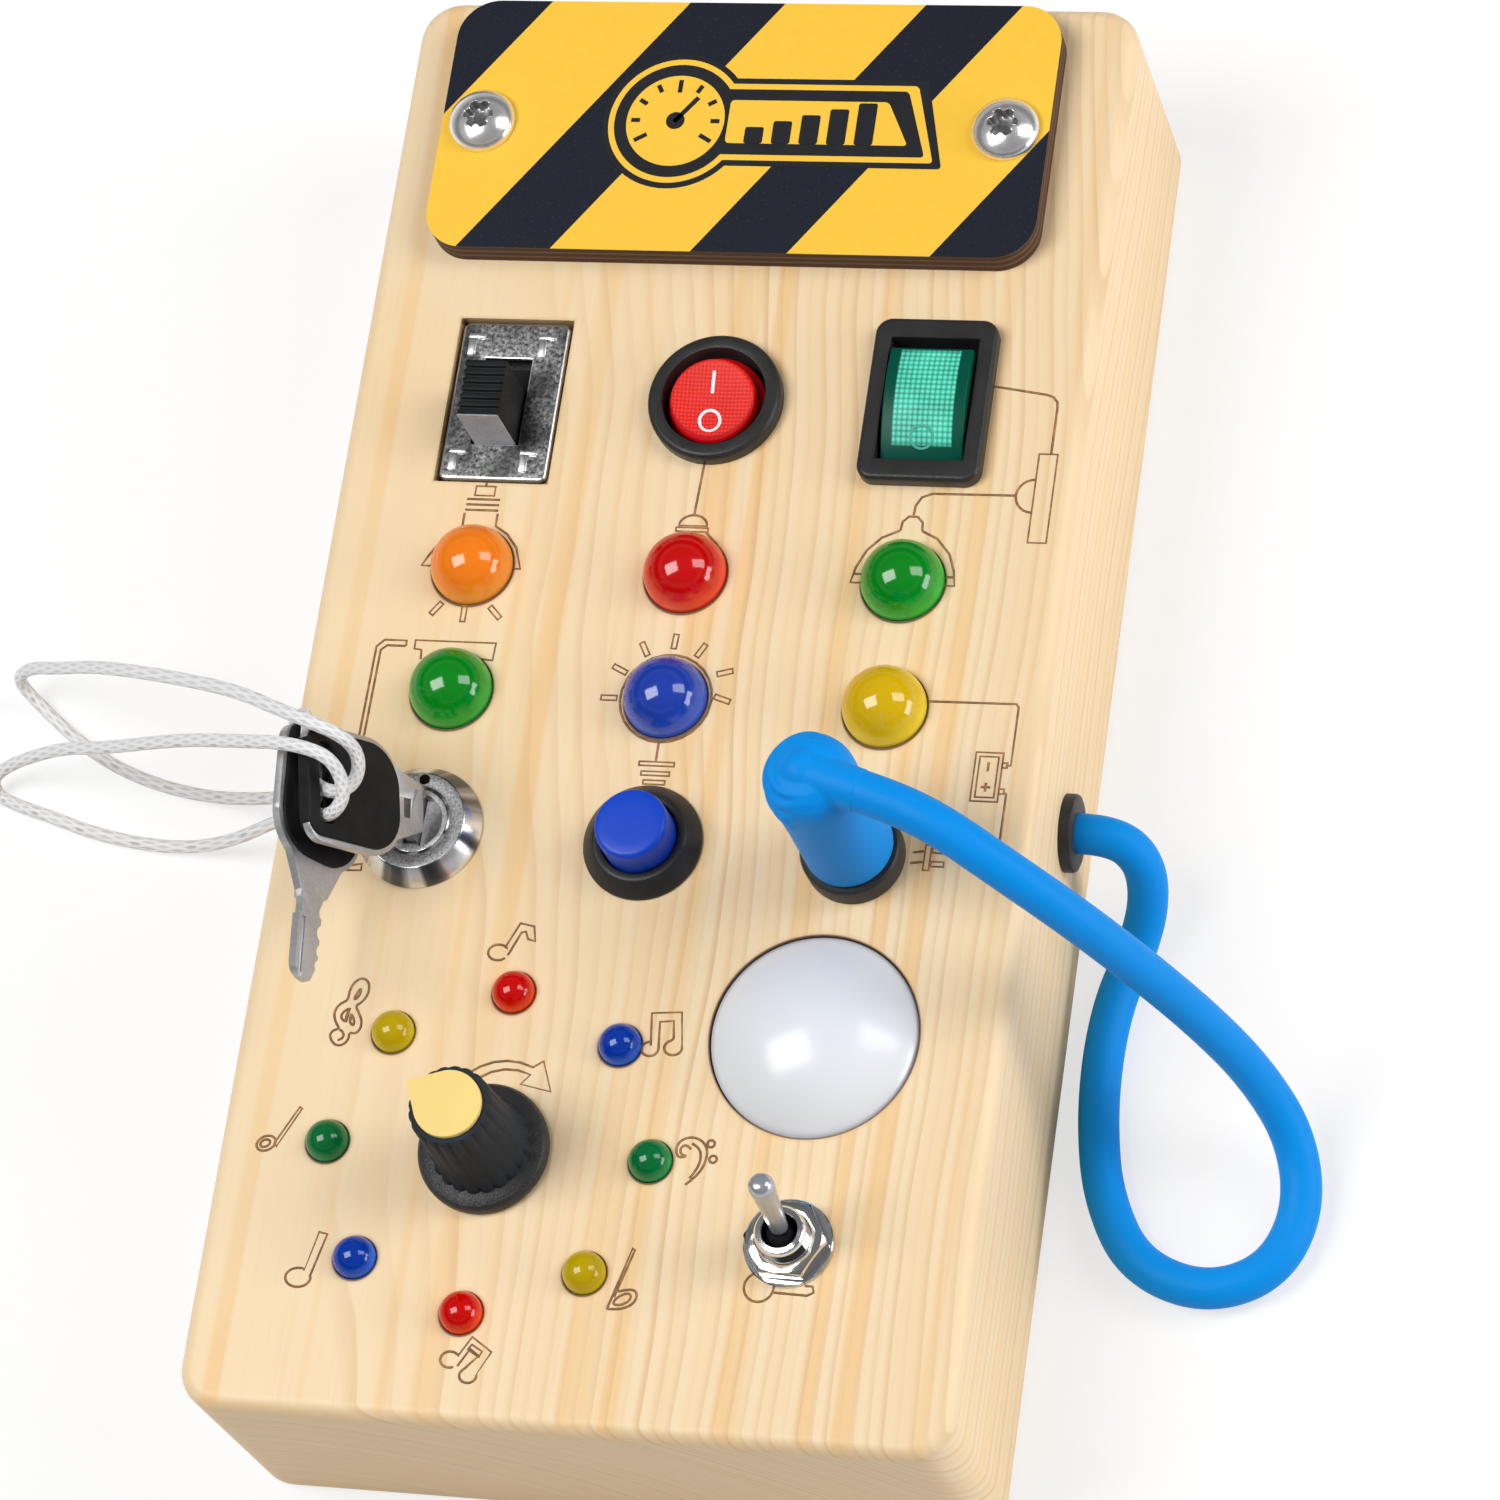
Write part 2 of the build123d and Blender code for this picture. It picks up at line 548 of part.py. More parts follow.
# ---------------------------------------------------------------- wooden body
with BuildPart() as body_block:
    with BuildSketch():
        RectangleRounded(BOARD_WIDTH, BOARD_LENGTH, BOARD_CORNER)
    extrude(amount=BOARD_HEIGHT)
    fillet(body_block.faces().sort_by(Axis.Z)[-1].edges(), FACE_ROUND)
    chamfer(body_block.faces().sort_by(Axis.Z)[0].edges(), FOOT_CHAMFER)
    # rebate for the back panel
    with BuildSketch():
        rebate = (PANEL_SIZE[0] + 2 * PANEL_GAP, PANEL_SIZE[1] + 2 * PANEL_GAP)
        RectangleRounded(*rebate, PANEL_CORNER + PANEL_GAP)
    extrude(amount=PANEL_THICKNESS, mode=Mode.SUBTRACT)
    # pocket for the switches, with its screw posts left standing
    with BuildSketch(Plane.XY.offset(PANEL_THICKNESS)):
        with Locations((0, (POCKET_TOP + POCKET_BOTTOM) / 2)):
            Rectangle(2 * POCKET_HALF_WIDTH, POCKET_TOP - POCKET_BOTTOM)
        with Locations(*CORNER_POSTS):
            Rectangle(2 * POST_SIZE, 2 * POST_SIZE, mode=Mode.SUBTRACT)
        with Locations(*MID_POSTS):
            Rectangle(MID_POST_DEPTH, POST_SIZE, mode=Mode.SUBTRACT)
    extrude(amount=FACE + UNDER - PANEL_THICKNESS, mode=Mode.SUBTRACT)
    # battery bay and the channel for its leads
    with BuildSketch():
        with Locations(BAY_CENTRE):
            Rectangle(*BAY_SIZE)
    extrude(amount=BAY_DEPTH, mode=Mode.SUBTRACT)
    with BuildSketch(Plane.XY.offset(CHANNEL_DEPTH[0])):
        with Locations((BAY_CENTRE[0], (POCKET_TOP + BAY_CENTRE[1] - BAY_SIZE[1] / 2) / 2)):
            Rectangle(CHANNEL_WIDTH, BAY_CENTRE[1] - BAY_SIZE[1] / 2 - POCKET_TOP + 2)
    extrude(amount=CHANNEL_DEPTH[1] - CHANNEL_DEPTH[0], mode=Mode.SUBTRACT)
    # openings of the face
    with BuildSketch(Plane.XY.offset(FACE + UNDER)):
        with Locations(SLIDE_AT):
            RectangleRounded(
                SLIDE_COVER[0] + 2 * SLIDE_WINDOW_GAP, SLIDE_COVER[1] + 2 * SLIDE_WINDOW_GAP, 0.8
            )
        with Locations(ROUND_AT):
            Circle(ROUND_BODY + FIT)
        with Locations(RECT_AT):
            Rectangle(RECT_BODY[0] + 2 * FIT, RECT_BODY[1] + 2 * FIT)
        with Locations(*LAMP_SPOTS):
            Circle(LAMP_RADIUS + FIT)
        with Locations(LOCK_AT):
            Circle(LOCK_BARREL + FIT)
        with Locations(BUTTON_AT):
            Circle(BUTTON_BODY + FIT)
        with Locations(SOCKET_AT):
            Circle(SOCKET_BARREL + FIT)
        with Locations(DOME_AT):
            Circle(DOME_HOLE)
        with Locations(*RING_SPOTS):
            Circle(SMALL_LAMP + FIT)
        with Locations(DIAL_AT):
            Circle(BUSHING_RADIUS + FIT)
        with Locations(TOGGLE_AT):
            Circle(TOGGLE_BUSHING + FIT)
    extrude(amount=FACE_THICKNESS, mode=Mode.SUBTRACT)
    # screw holes, from the back and from the face
    for spot in PANEL_SCREWS + [DOOR_SCREW]:
        with Locations((*spot, 0)):
            Cylinder(SCREW_SHANK + RUN, SCREW_LENGTH + SEAT, align=UPWARD, mode=Mode.SUBTRACT)
    for spot in SIGN_SCREWS:
        post(spot, SIGN_THICKNESS - SIGN_SCREW_LENGTH - SEAT, 0, SIGN_SCREW_SHANK + RUN, mode=Mode.SUBTRACT)
    # side holes for the blue cord and the string
    with BuildSketch(Plane.YZ.offset(HALF_WIDTH)):
        with Locations((SIDE_HOLE_Y, SIDE_HOLE_Z)):
            Circle(GROMMET_SLEEVE + FIT)
    extrude(amount=-WALL, mode=Mode.SUBTRACT)
    with BuildSketch(Plane.YZ.offset(-HALF_WIDTH)):
        with Locations((STRING_HOLE_Y, SIDE_HOLE_Z)):
            Circle(STRING_HOLE)
    extrude(amount=WALL, mode=Mode.SUBTRACT)
finish("body_block", body_block)

# ---------------------------------------------------------------- back panel and battery bay
with BuildPart() as back_panel:
    with BuildSketch():
        RectangleRounded(*PANEL_SIZE, PANEL_CORNER)
        with Locations(DOOR_CENTRE):
            Rectangle(DOOR_LENGTH + 2 * PANEL_GAP, DOOR_WIDTH + 2 * PANEL_GAP, mode=Mode.SUBTRACT)
    extrude(amount=PANEL_THICKNESS)
    with Locations(*[(x, y, 0) for x, y in PANEL_SCREWS]):
        Cylinder(SCREW_SHANK + RUN, PANEL_THICKNESS, align=UPWARD, mode=Mode.SUBTRACT)
        Cone(SCREW_HEAD + FIT, SCREW_SHANK + RUN, SCREW_HEAD_DEPTH, align=UPWARD, mode=Mode.SUBTRACT)
finish("back_panel", back_panel)


def countersunk_screws(spots):
    """Countersunk wood screws seen from the back, each with a cross recess."""
    with BuildPart() as screws:
        with Locations(*[(x, y, 0) for x, y in spots]):
            Cone(SCREW_HEAD, SCREW_SHANK, SCREW_HEAD_DEPTH, align=UPWARD)
            Cylinder(SCREW_SHANK, SCREW_LENGTH, align=UPWARD)
            Box(2.6, 0.6, 0.8, align=UPWARD, mode=Mode.SUBTRACT)
            Box(0.6, 2.6, 0.8, align=UPWARD, mode=Mode.SUBTRACT)
    return screws


finish("back_panel_screws", countersunk_screws(PANEL_SCREWS))
finish("battery_door_screw", countersunk_screws([DOOR_SCREW]))

with BuildPart() as battery_door:
    with Locations((*DOOR_CENTRE, 0)):
        Box(DOOR_LENGTH, DOOR_WIDTH, PANEL_THICKNESS, align=UPWARD)
    # tongue that hooks over the panel's edge
    with Locations((DOOR_LEFT, DOOR_CENTRE[1], PANEL_THICKNESS + FIT)):
        Box(2 * DOOR_TONGUE, DOOR_TONGUE_WIDTH, HOLDER_BOTTOM - PANEL_THICKNESS - 3 * FIT, align=UPWARD)
    with Locations((DOOR_LEFT + DOOR_TONGUE / 2, DOOR_CENTRE[1], PANEL_THICKNESS)):
        Box(DOOR_TONGUE, DOOR_TONGUE_WIDTH, 2 * FIT, align=UPWARD)
    # grip grooves and the screw's countersunk hole
    with GridLocations(2.0, 0, 5, 1):
        with Locations((DOOR_LEFT + 8, DOOR_CENTRE[1], 0)):
            Box(0.8, 16, 0.5, align=UPWARD, mode=Mode.SUBTRACT)
    with Locations((*DOOR_SCREW, 0)):
        Cylinder(SCREW_SHANK + RUN, PANEL_THICKNESS, align=UPWARD, mode=Mode.SUBTRACT)
        Cone(SCREW_HEAD + FIT, SCREW_SHANK + RUN, SCREW_HEAD_DEPTH, align=UPWARD, mode=Mode.SUBTRACT)
finish("battery_door", battery_door)

with BuildPart() as battery_holder:
    with Locations((*BAY_CENTRE, HOLDER_BOTTOM)):
        Box(*HOLDER_SIZE, BAY_DEPTH - HOLDER_BOTTOM, align=UPWARD)
        Box(
            HOLDER_SIZE[0] - 2 * HOLDER_WALL,
            HOLDER_SIZE[1] - 2 * HOLDER_WALL,
            BAY_DEPTH - HOLDER_BOTTOM - HOLDER_WALL,
            align=UPWARD,
            mode=Mode.SUBTRACT,
        )
finish("battery_holder", battery_holder)

PLATE_X = HOLDER_SIZE[0] / 2 - HOLDER_WALL
CELL_TIP_X = PLATE_X - CONTACT_THICKNESS
with BuildPart() as battery_contacts:
    for row, way in CELL_ROWS:
        for side in (-1, 1):
            with Locations((BAY_CENTRE[0] + side * (PLATE_X - CONTACT_THICKNESS / 2), row, CELL_HEIGHT)):
                Box(CONTACT_THICKNESS, 8.0, 9.0)
        spring_plane = Plane(
            origin=(BAY_CENTRE[0] - way * CELL_TIP_X, row, CELL_HEIGHT), x_dir=(0, 1, 0), z_dir=(way, 0, 0)
        )
        with BuildSketch(spring_plane):
            Circle(3.6)
            Circle(2.6, mode=Mode.SUBTRACT)
        extrude(amount=2 * CELL_TIP_X - CELL_LENGTH, taper=8)
finish("battery_contacts", battery_contacts)

with BuildPart() as battery_cells:
    for row, way in CELL_ROWS:
        tip = BAY_CENTRE[0] + way * CELL_TIP_X
        with BuildSketch(Plane(origin=(tip, row, CELL_HEIGHT), x_dir=(0, 1, 0), z_dir=(-way, 0, 0))):
            Circle(1.9)
        extrude(amount=CELL_NUB)
        shoulder = tip - way * CELL_NUB
        with BuildSketch(Plane(origin=(shoulder, row, CELL_HEIGHT), x_dir=(0, 1, 0), z_dir=(-way, 0, 0))):
            Circle(CELL_RADIUS)
        extrude(amount=CELL_LENGTH - CELL_NUB)
finish("battery_cells", battery_cells)

# ---------------------------------------------------------------- sign plate
with BuildPart() as sign_plate:
    with BuildSketch(Plane.XY.offset(FACE)):
        with Locations(SIGN_CENTRE):
            RectangleRounded(*SIGN_SIZE, SIGN_CORNER)
        with Locations(*SIGN_SCREWS):
            Circle(SIGN_SCREW_SHANK + FIT, mode=Mode.SUBTRACT)
    extrude(amount=SIGN_THICKNESS)
finish("sign_plate", sign_plate)

with BuildPart() as sign_plate_screws:
    for spot in SIGN_SCREWS:
        head_top = SIGN_THICKNESS + SIGN_SCREW_HEAD_HEIGHT
        with BuildSketch(upright(spot)):
            with BuildLine():
                Polyline(
                    (0, head_top),
                    (0, SIGN_THICKNESS),
                    (SIGN_SCREW_HEAD, SIGN_THICKNESS),
                    (SIGN_SCREW_HEAD, SIGN_THICKNESS + 0.9),
                )
                ThreePointArc(
                    (SIGN_SCREW_HEAD, SIGN_THICKNESS + 0.9),
                    (0.66 * SIGN_SCREW_HEAD, head_top - 0.55),
                    (0, head_top),
                )
            make_face()
        revolve(axis=Axis((*spot, 0), (0, 0, 1)))
        post(spot, SIGN_THICKNESS - SIGN_SCREW_LENGTH, SIGN_THICKNESS, SIGN_SCREW_SHANK)
        block(spot, head_top - 1.5, head_top + 1, (4.4, 0.8), mode=Mode.SUBTRACT)
        block(spot, head_top - 1.5, head_top + 1, (0.8, 4.4), mode=Mode.SUBTRACT)
finish("sign_plate_screws", sign_plate_screws)

# ---------------------------------------------------------------- slide switch
with BuildPart() as slide_switch_cover:
    block(SLIDE_AT, UNDER, SLIDE_COVER_TOP, SLIDE_COVER)
    fillet(slide_switch_cover.edges().filter_by(Axis.Z), 0.9)
    fillet(slide_switch_cover.faces().sort_by(Axis.Z)[-1].edges(), 0.5)
    inner = (SLIDE_COVER[0] - 2 * SLIDE_SHEET, SLIDE_COVER[1] - 2 * SLIDE_SHEET)
    block(SLIDE_AT, UNDER, SLIDE_COVER_TOP - SLIDE_SHEET, inner, mode=Mode.SUBTRACT)
    block(SLIDE_SLOT_AT, UNDER, SLIDE_COVER_TOP, SLIDE_SLOT, mode=Mode.SUBTRACT)
finish("slide_switch_cover", slide_switch_cover)

with BuildPart() as slide_switch_base:
    block(SLIDE_AT, UNDER - SLIDE_FLANGE_THICKNESS, UNDER, SLIDE_FLANGE)
    inner = (SLIDE_COVER[0] - 2 * SLIDE_SHEET - 2 * FIT, SLIDE_COVER[1] - 2 * SLIDE_SHEET - 2 * FIT)
    block(SLIDE_AT, UNDER, SLIDE_BLOCK_TOP, inner)
    block(SLIDE_AT, -SLIDE_BODY_DEPTH, UNDER - SLIDE_FLANGE_THICKNESS, SLIDE_BODY)
finish("slide_switch_base", slide_switch_base)

with BuildPart() as slide_switch_slider:
    foot_top = SLIDE_COVER_TOP - SLIDE_SHEET - 0.2
    block(SLIDE_STEM_AT, SLIDE_BLOCK_TOP + 0.2, foot_top, SLIDE_FOOT)
    block(SLIDE_STEM_AT, foot_top, SLIDE_STEM_TOP, SLIDE_STEM)
    groove_pitch = SLIDE_STEM[1] / SLIDE_RIBS
    for step in range(1, SLIDE_RIBS):
        groove = (SLIDE_STEM_AT[0], SLIDE_STEM_AT[1] - SLIDE_STEM[1] / 2 + step * groove_pitch)
        groove_size = (SLIDE_STEM[0], SLIDE_GROOVE)
        block(groove, SLIDE_STEM_TOP - SLIDE_RIB_DEPTH, SLIDE_STEM_TOP, groove_size, mode=Mode.SUBTRACT)
finish("slide_switch_slider", slide_switch_slider)

# ---------------------------------------------------------------- round rocker switch
with BuildPart() as round_rocker_housing:
    post(ROUND_AT, 0, BEZEL_HEIGHT, ROUND_BEZEL)
    fillet(round_rocker_housing.faces().sort_by(Axis.Z)[-1].edges(), 0.7)
    post(ROUND_AT, -ROCKER_DEPTH, 0, ROUND_BODY)
    post(ROUND_AT, -ROCKER_WELL_DEPTH, BEZEL_HEIGHT, ROUND_WELL, mode=Mode.SUBTRACT)
    with Locations((*ROUND_AT, FACE + ROUND_PIVOT)):
        Cylinder(TRUNNION + TRUNNION_PLAY, 2 * ROUND_BODY - 0.3, rotation=(0, 90, 0), mode=Mode.SUBTRACT)
finish("round_rocker_housing", round_rocker_housing)

with BuildPart(ROUND_PLANE) as round_rocker_button:
    with Locations((0, 0, -ROCKER_SKIRT)):
        Cylinder(ROUND_SKIRT, ROCKER_SKIRT + 1.2, align=UPWARD)
        Cylinder(ROUND_BUTTON, ROCKER_SKIRT + ROUND_BUTTON_TOP, align=UPWARD)
    fillet(round_rocker_button.edges().sort_by(Axis.Z)[-1], 0.6)
    Cylinder(TRUNNION, 2 * (ROUND_BODY - 0.3), rotation=(0, 90, 0))
finish("round_rocker_button", round_rocker_button)

# ---------------------------------------------------------------- rectangular rocker switch
with BuildPart() as rect_rocker_housing:
    with BuildSketch(Plane.XY.offset(FACE)):
        with Locations(RECT_AT):
            RectangleRounded(*RECT_BEZEL, 2.0)
    extrude(amount=BEZEL_HEIGHT)
    fillet(rect_rocker_housing.faces().sort_by(Axis.Z)[-1].edges(), 0.6)
    block(RECT_AT, -ROCKER_DEPTH, 0, RECT_BODY)
    block(RECT_AT, -ROCKER_WELL_DEPTH, BEZEL_HEIGHT, RECT_WELL, mode=Mode.SUBTRACT)
    with Locations((*RECT_AT, FACE + RECT_PIVOT)):
        Cylinder(TRUNNION + TRUNNION_PLAY, RECT_BODY[0] - 0.5, rotation=(0, 90, 0), mode=Mode.SUBTRACT)
finish("rect_rocker_housing", rect_rocker_housing)

rect_side = Plane(origin=RECT_PLANE.origin, x_dir=RECT_PLANE.y_dir, z_dir=RECT_PLANE.x_dir)
with BuildPart(RECT_PLANE) as rect_rocker_button:
    with BuildSketch(rect_side):
        with BuildLine():
            Polyline(
                (RECT_BUTTON_HALF, RECT_SHOULDER),
                (RECT_BUTTON_HALF - 0.3, -ROCKER_SKIRT),
                (0.3 - RECT_BUTTON_HALF, -ROCKER_SKIRT),
                (-RECT_BUTTON_HALF, RECT_SHOULDER),
            )
            ThreePointArc(
                (-RECT_BUTTON_HALF, RECT_SHOULDER), (0, RECT_CROWN), (RECT_BUTTON_HALF, RECT_SHOULDER)
            )
        make_face()
    extrude(amount=RECT_BUTTON_WIDTH / 2, both=True)
    Cylinder(TRUNNION, RECT_BODY[0] - 0.7, rotation=(0, 90, 0))
finish("rect_rocker_button", rect_rocker_button)

# solder tabs of the three switches, below their bodies
with BuildPart() as switch_terminals:
    for spot, depth, rows in (
        (SLIDE_AT, SLIDE_BODY_DEPTH, (-6.0, 0.0, 6.0)),
        (ROUND_AT, ROCKER_DEPTH, (-3.5, 3.5)),
        (RECT_AT, ROCKER_DEPTH, (-5.5, 5.5)),
        (TOGGLE_AT, TOGGLE_DEPTH, (-4.5, 0.0, 4.5)),
    ):
        for offset in rows:
            tab = (spot[0], spot[1] + offset)
            block(tab, -depth - TERMINAL_LENGTH, -depth, (TERMINAL[1], TERMINAL[0]))
finish("switch_terminals", switch_terminals)

# ---------------------------------------------------------------- big lamps and their board
LAMP_COLOURS = {
    "lamp_orange": [LAMP_SPOTS[0]],
    "lamp_red": [LAMP_SPOTS[1]],
    "lamps_green": [LAMP_SPOTS[2], LAMP_SPOTS[3]],
    "lamp_blue": [LAMP_SPOTS[4]],
    "lamp_yellow": [LAMP_SPOTS[5]],
}
for lamp_name, lamp_spots in LAMP_COLOURS.items():
    finish(lamp_name, lamps(lamp_spots, LAMP_RADIUS, LAMP_FLANGE, LAMP_DEPTH))

with BuildPart() as lamp_board:
    block((0, LAMP_BOARD_CENTRE_Y), -LAMP_DEPTH - CIRCUIT_THICKNESS, -LAMP_DEPTH, LAMP_BOARD_SIZE)
    leg_holes(LAMP_SPOTS, LAMP_DEPTH)
finish("lamp_board", lamp_board)

# ---------------------------------------------------------------- key lock
with BuildPart() as key_lock_barrel:
    cone(LOCK_AT, 0, LOCK_FACE_HEIGHT, LOCK_BEZEL, LOCK_FACE)
    post(LOCK_AT, -LOCK_DEPTH, 0, LOCK_BARREL)
    post(LOCK_AT, -LOCK_DEPTH, LOCK_FACE_HEIGHT, LOCK_PLUG + RUN, mode=Mode.SUBTRACT)
    dimple = (LOCK_AT[0] + LOCK_DIMPLE[0], LOCK_AT[1] + LOCK_DIMPLE[1])
    post(dimple, LOCK_FACE_HEIGHT - 0.5, LOCK_FACE_HEIGHT, 0.65, mode=Mode.SUBTRACT)
finish("key_lock_barrel", key_lock_barrel)

finish(
    "key_lock_nut",
    hex_nut(LOCK_AT, UNDER - NUT_THICKNESS, NUT_THICKNESS, LOCK_NUT_FLATS, LOCK_BARREL + FIT),
)

with BuildPart() as key_lock_plug:
    post(LOCK_AT, -LOCK_DEPTH - FIT - LOCK_RETAINER_THICKNESS, LOCK_FACE_HEIGHT - 0.1, LOCK_PLUG)
    post(LOCK_AT, -LOCK_DEPTH - FIT - LOCK_RETAINER_THICKNESS, -LOCK_DEPTH - FIT, LOCK_RETAINER)
    keyway = (KEY_BLADE[0] + 2 * KEYWAY_PLAY, KEY_BLADE[1] + 2 * KEYWAY_PLAY)
    block(LOCK_AT, -KEY_BLADE_DEPTH - SEAT, LOCK_FACE_HEIGHT, keyway, mode=Mode.SUBTRACT)
    with BuildSketch(Plane.XY.offset(FACE + LOCK_FACE_HEIGHT - 0.1 - LOCK_RECESS)) as recess:
        with Locations(LOCK_AT):
            Circle(LOCK_PLUG - 0.6)
            with Locations((-2.5, 0)):
                Rectangle(LOCK_PLUG * 2 - 1, LOCK_PLUG * 2, mode=Mode.SUBTRACT)
    extrude(amount=LOCK_RECESS, mode=Mode.SUBTRACT)
finish("key_lock_plug", key_lock_plug)

# ---------------------------------------------------------------- keys and their string
BOW_PLANE = Plane(origin=KEY_PLANE.origin + KEY_SIDE * KEY_BOW_SHIFT, x_dir=KEY_SIDE, z_dir=KEY_NORMAL)
front_plate = key_plate(BOW_PLANE, 0, KEY_BLADE[1])
with BuildPart() as key_metal:
    add(front_plate.part)
    block(LOCK_AT, -KEY_BLADE_DEPTH, KEY_BEND + 0.6, KEY_BLADE)
finish("key_metal", key_metal)
finish("key_cover", key_inlays(BOW_PLANE))
finish("spare_key_metal", key_plate(SPARE_PLANE, SPARE_BLADE[1], SPARE_BLADE[0]))
finish("spare_key_cover", key_inlays(SPARE_PLANE))

finish("key_string", cord_tube("key_string", STRING_ROUTE, STRING_RADIUS))

with BuildPart() as string_knot:
    with BuildSketch(Plane.YZ.offset(-POCKET_HALF_WIDTH)):
        with Locations((STRING_HOLE_Y, SIDE_HOLE_Z)):
            Circle(KNOT_RADIUS)
    extrude(amount=KNOT_LENGTH)
    fillet(string_knot.edges().filter_by(GeomType.CIRCLE), KNOT_ROUND)
finish("string_knot", string_knot)

# ---------------------------------------------------------------- push button
with BuildPart() as push_button_bezel:
    cone(BUTTON_AT, 0, BUTTON_BEZEL_HEIGHT, BUTTON_BEZEL, BUTTON_BEZEL_TOP)
    post(BUTTON_AT, -BUTTON_DEPTH, 0, BUTTON_BODY)
    post(BUTTON_AT, BUTTON_LIP, BUTTON_BEZEL_HEIGHT, BUTTON_MOUTH, mode=Mode.SUBTRACT)
    post(BUTTON_AT, SPRING_BOTTOM, BUTTON_LIP, BUTTON_BORE, mode=Mode.SUBTRACT)
finish("push_button_bezel", push_button_bezel)

with BuildPart() as push_button_cap:
    flange_bottom = CAP_FLANGE_TOP - BUTTON_FLANGE_THICKNESS
    post(BUTTON_AT, flange_bottom, CAP_FLANGE_TOP, BUTTON_FLANGE)
    cone(BUTTON_AT, CAP_FLANGE_TOP, BUTTON_CAP_TOP, BUTTON_CAP_FOOT, BUTTON_CAP)
    fillet(push_button_cap.edges().sort_by(Axis.Z)[-1], 0.7)
finish("push_button_cap", push_button_cap)

finish(
    "push_button_nut",
    hex_nut(BUTTON_AT, UNDER - NUT_THICKNESS, NUT_THICKNESS, BUTTON_NUT_FLATS, BUTTON_BODY + FIT),
)

spring_bottom = FACE + SPRING_BOTTOM + SPRING_WIRE + 0.02
spring_top = FACE + CAP_FLANGE_TOP - BUTTON_FLANGE_THICKNESS - SPRING_WIRE - 0.02
with BuildPart() as push_button_spring:
    with BuildLine():
        coil = Helix(
            pitch=(spring_top - spring_bottom) / SPRING_TURNS,
            height=spring_top - spring_bottom,
            radius=SPRING_RADIUS,
            center=(*BUTTON_AT, spring_bottom),
        )
    with BuildSketch(Plane(origin=coil @ 0, z_dir=coil % 0)):
        Circle(SPRING_WIRE)
    sweep(is_frenet=True)
finish("push_button_spring", push_button_spring)

# ---------------------------------------------------------------- socket, plug and blue cord
with BuildPart() as socket_barrel:
    post(SOCKET_AT, 0, SOCKET_COLLAR_HEIGHT, SOCKET_COLLAR)
    fillet(socket_barrel.faces().sort_by(Axis.Z)[-1].edges(), 0.4)
    post(SOCKET_AT, -SOCKET_DEPTH, 0, SOCKET_BARREL)
    post(SOCKET_AT, -PIN_DEPTH - SEAT, SOCKET_COLLAR_HEIGHT, PIN_RADIUS + PIN_PLAY, mode=Mode.SUBTRACT)
finish("socket_barrel", socket_barrel)

finish("socket_nut", hex_nut(SOCKET_AT, UNDER - 2, 2, SOCKET_NUT_FLATS, SOCKET_BARREL + FIT))

BOOT_BOTTOM = SOCKET_COLLAR_HEIGHT + BOOT_GAP
neck_turn = math.radians(BOOT_NECK_TURN)
neck_plane = Plane(
    origin=(*SOCKET_AT, FACE + BOOT_CORD_HEIGHT),
    x_dir=(-math.sin(neck_turn), math.cos(neck_turn), 0),
    z_dir=(math.cos(neck_turn), math.sin(neck_turn), 0),
)
with BuildPart() as plug_boot:
    with BuildSketch(upright(SOCKET_AT)):
        with BuildLine():
            Polyline((0, BOOT_TOP), (0, BOOT_BOTTOM), (BOOT_RADIUS, BOOT_BOTTOM), (BOOT_RADIUS, BOOT_SHOULDER))
            ThreePointArc(
                (BOOT_RADIUS, BOOT_SHOULDER),
                (0.72 * BOOT_RADIUS, 0.3 * BOOT_SHOULDER + 0.7 * BOOT_TOP),
                (0, BOOT_TOP),
            )
        make_face()
    revolve(axis=Axis((*SOCKET_AT, 0), (0, 0, 1)))
    with BuildSketch(neck_plane):
        Circle(BOOT_NECK_RADIUS)
    extrude(amount=BOOT_NECK_LENGTH)
    post(SOCKET_AT, BOOT_BOTTOM, BOOT_BOTTOM + PIN_ROOT, PIN_RADIUS + RUN, mode=Mode.SUBTRACT)
finish("plug_boot", plug_boot)

with BuildPart() as plug_pin:
    post(SOCKET_AT, -PIN_DEPTH, BOOT_BOTTOM + PIN_ROOT, PIN_RADIUS)
    fillet(plug_pin.faces().sort_by(Axis.Z)[0].edges(), 0.8)
finish("plug_pin", plug_pin)

finish("plug_cord", cord_tube("plug_cord", CORD_ROUTE, CORD_RADIUS))

with BuildPart() as cord_grommet:
    with BuildSketch(Plane.YZ.offset(HALF_WIDTH)):
        with Locations((SIDE_HOLE_Y, SIDE_HOLE_Z)):
            Circle(GROMMET_FLANGE)
    extrude(amount=GROMMET_FLANGE_THICKNESS)
    fillet(cord_grommet.faces().sort_by(Axis.X)[-1].edges(), 0.5)
    with BuildSketch(Plane.YZ.offset(HALF_WIDTH)):
        with Locations((SIDE_HOLE_Y, SIDE_HOLE_Z)):
            Circle(GROMMET_SLEEVE)
    extrude(amount=-WALL)
finish("cord_grommet", cord_grommet)

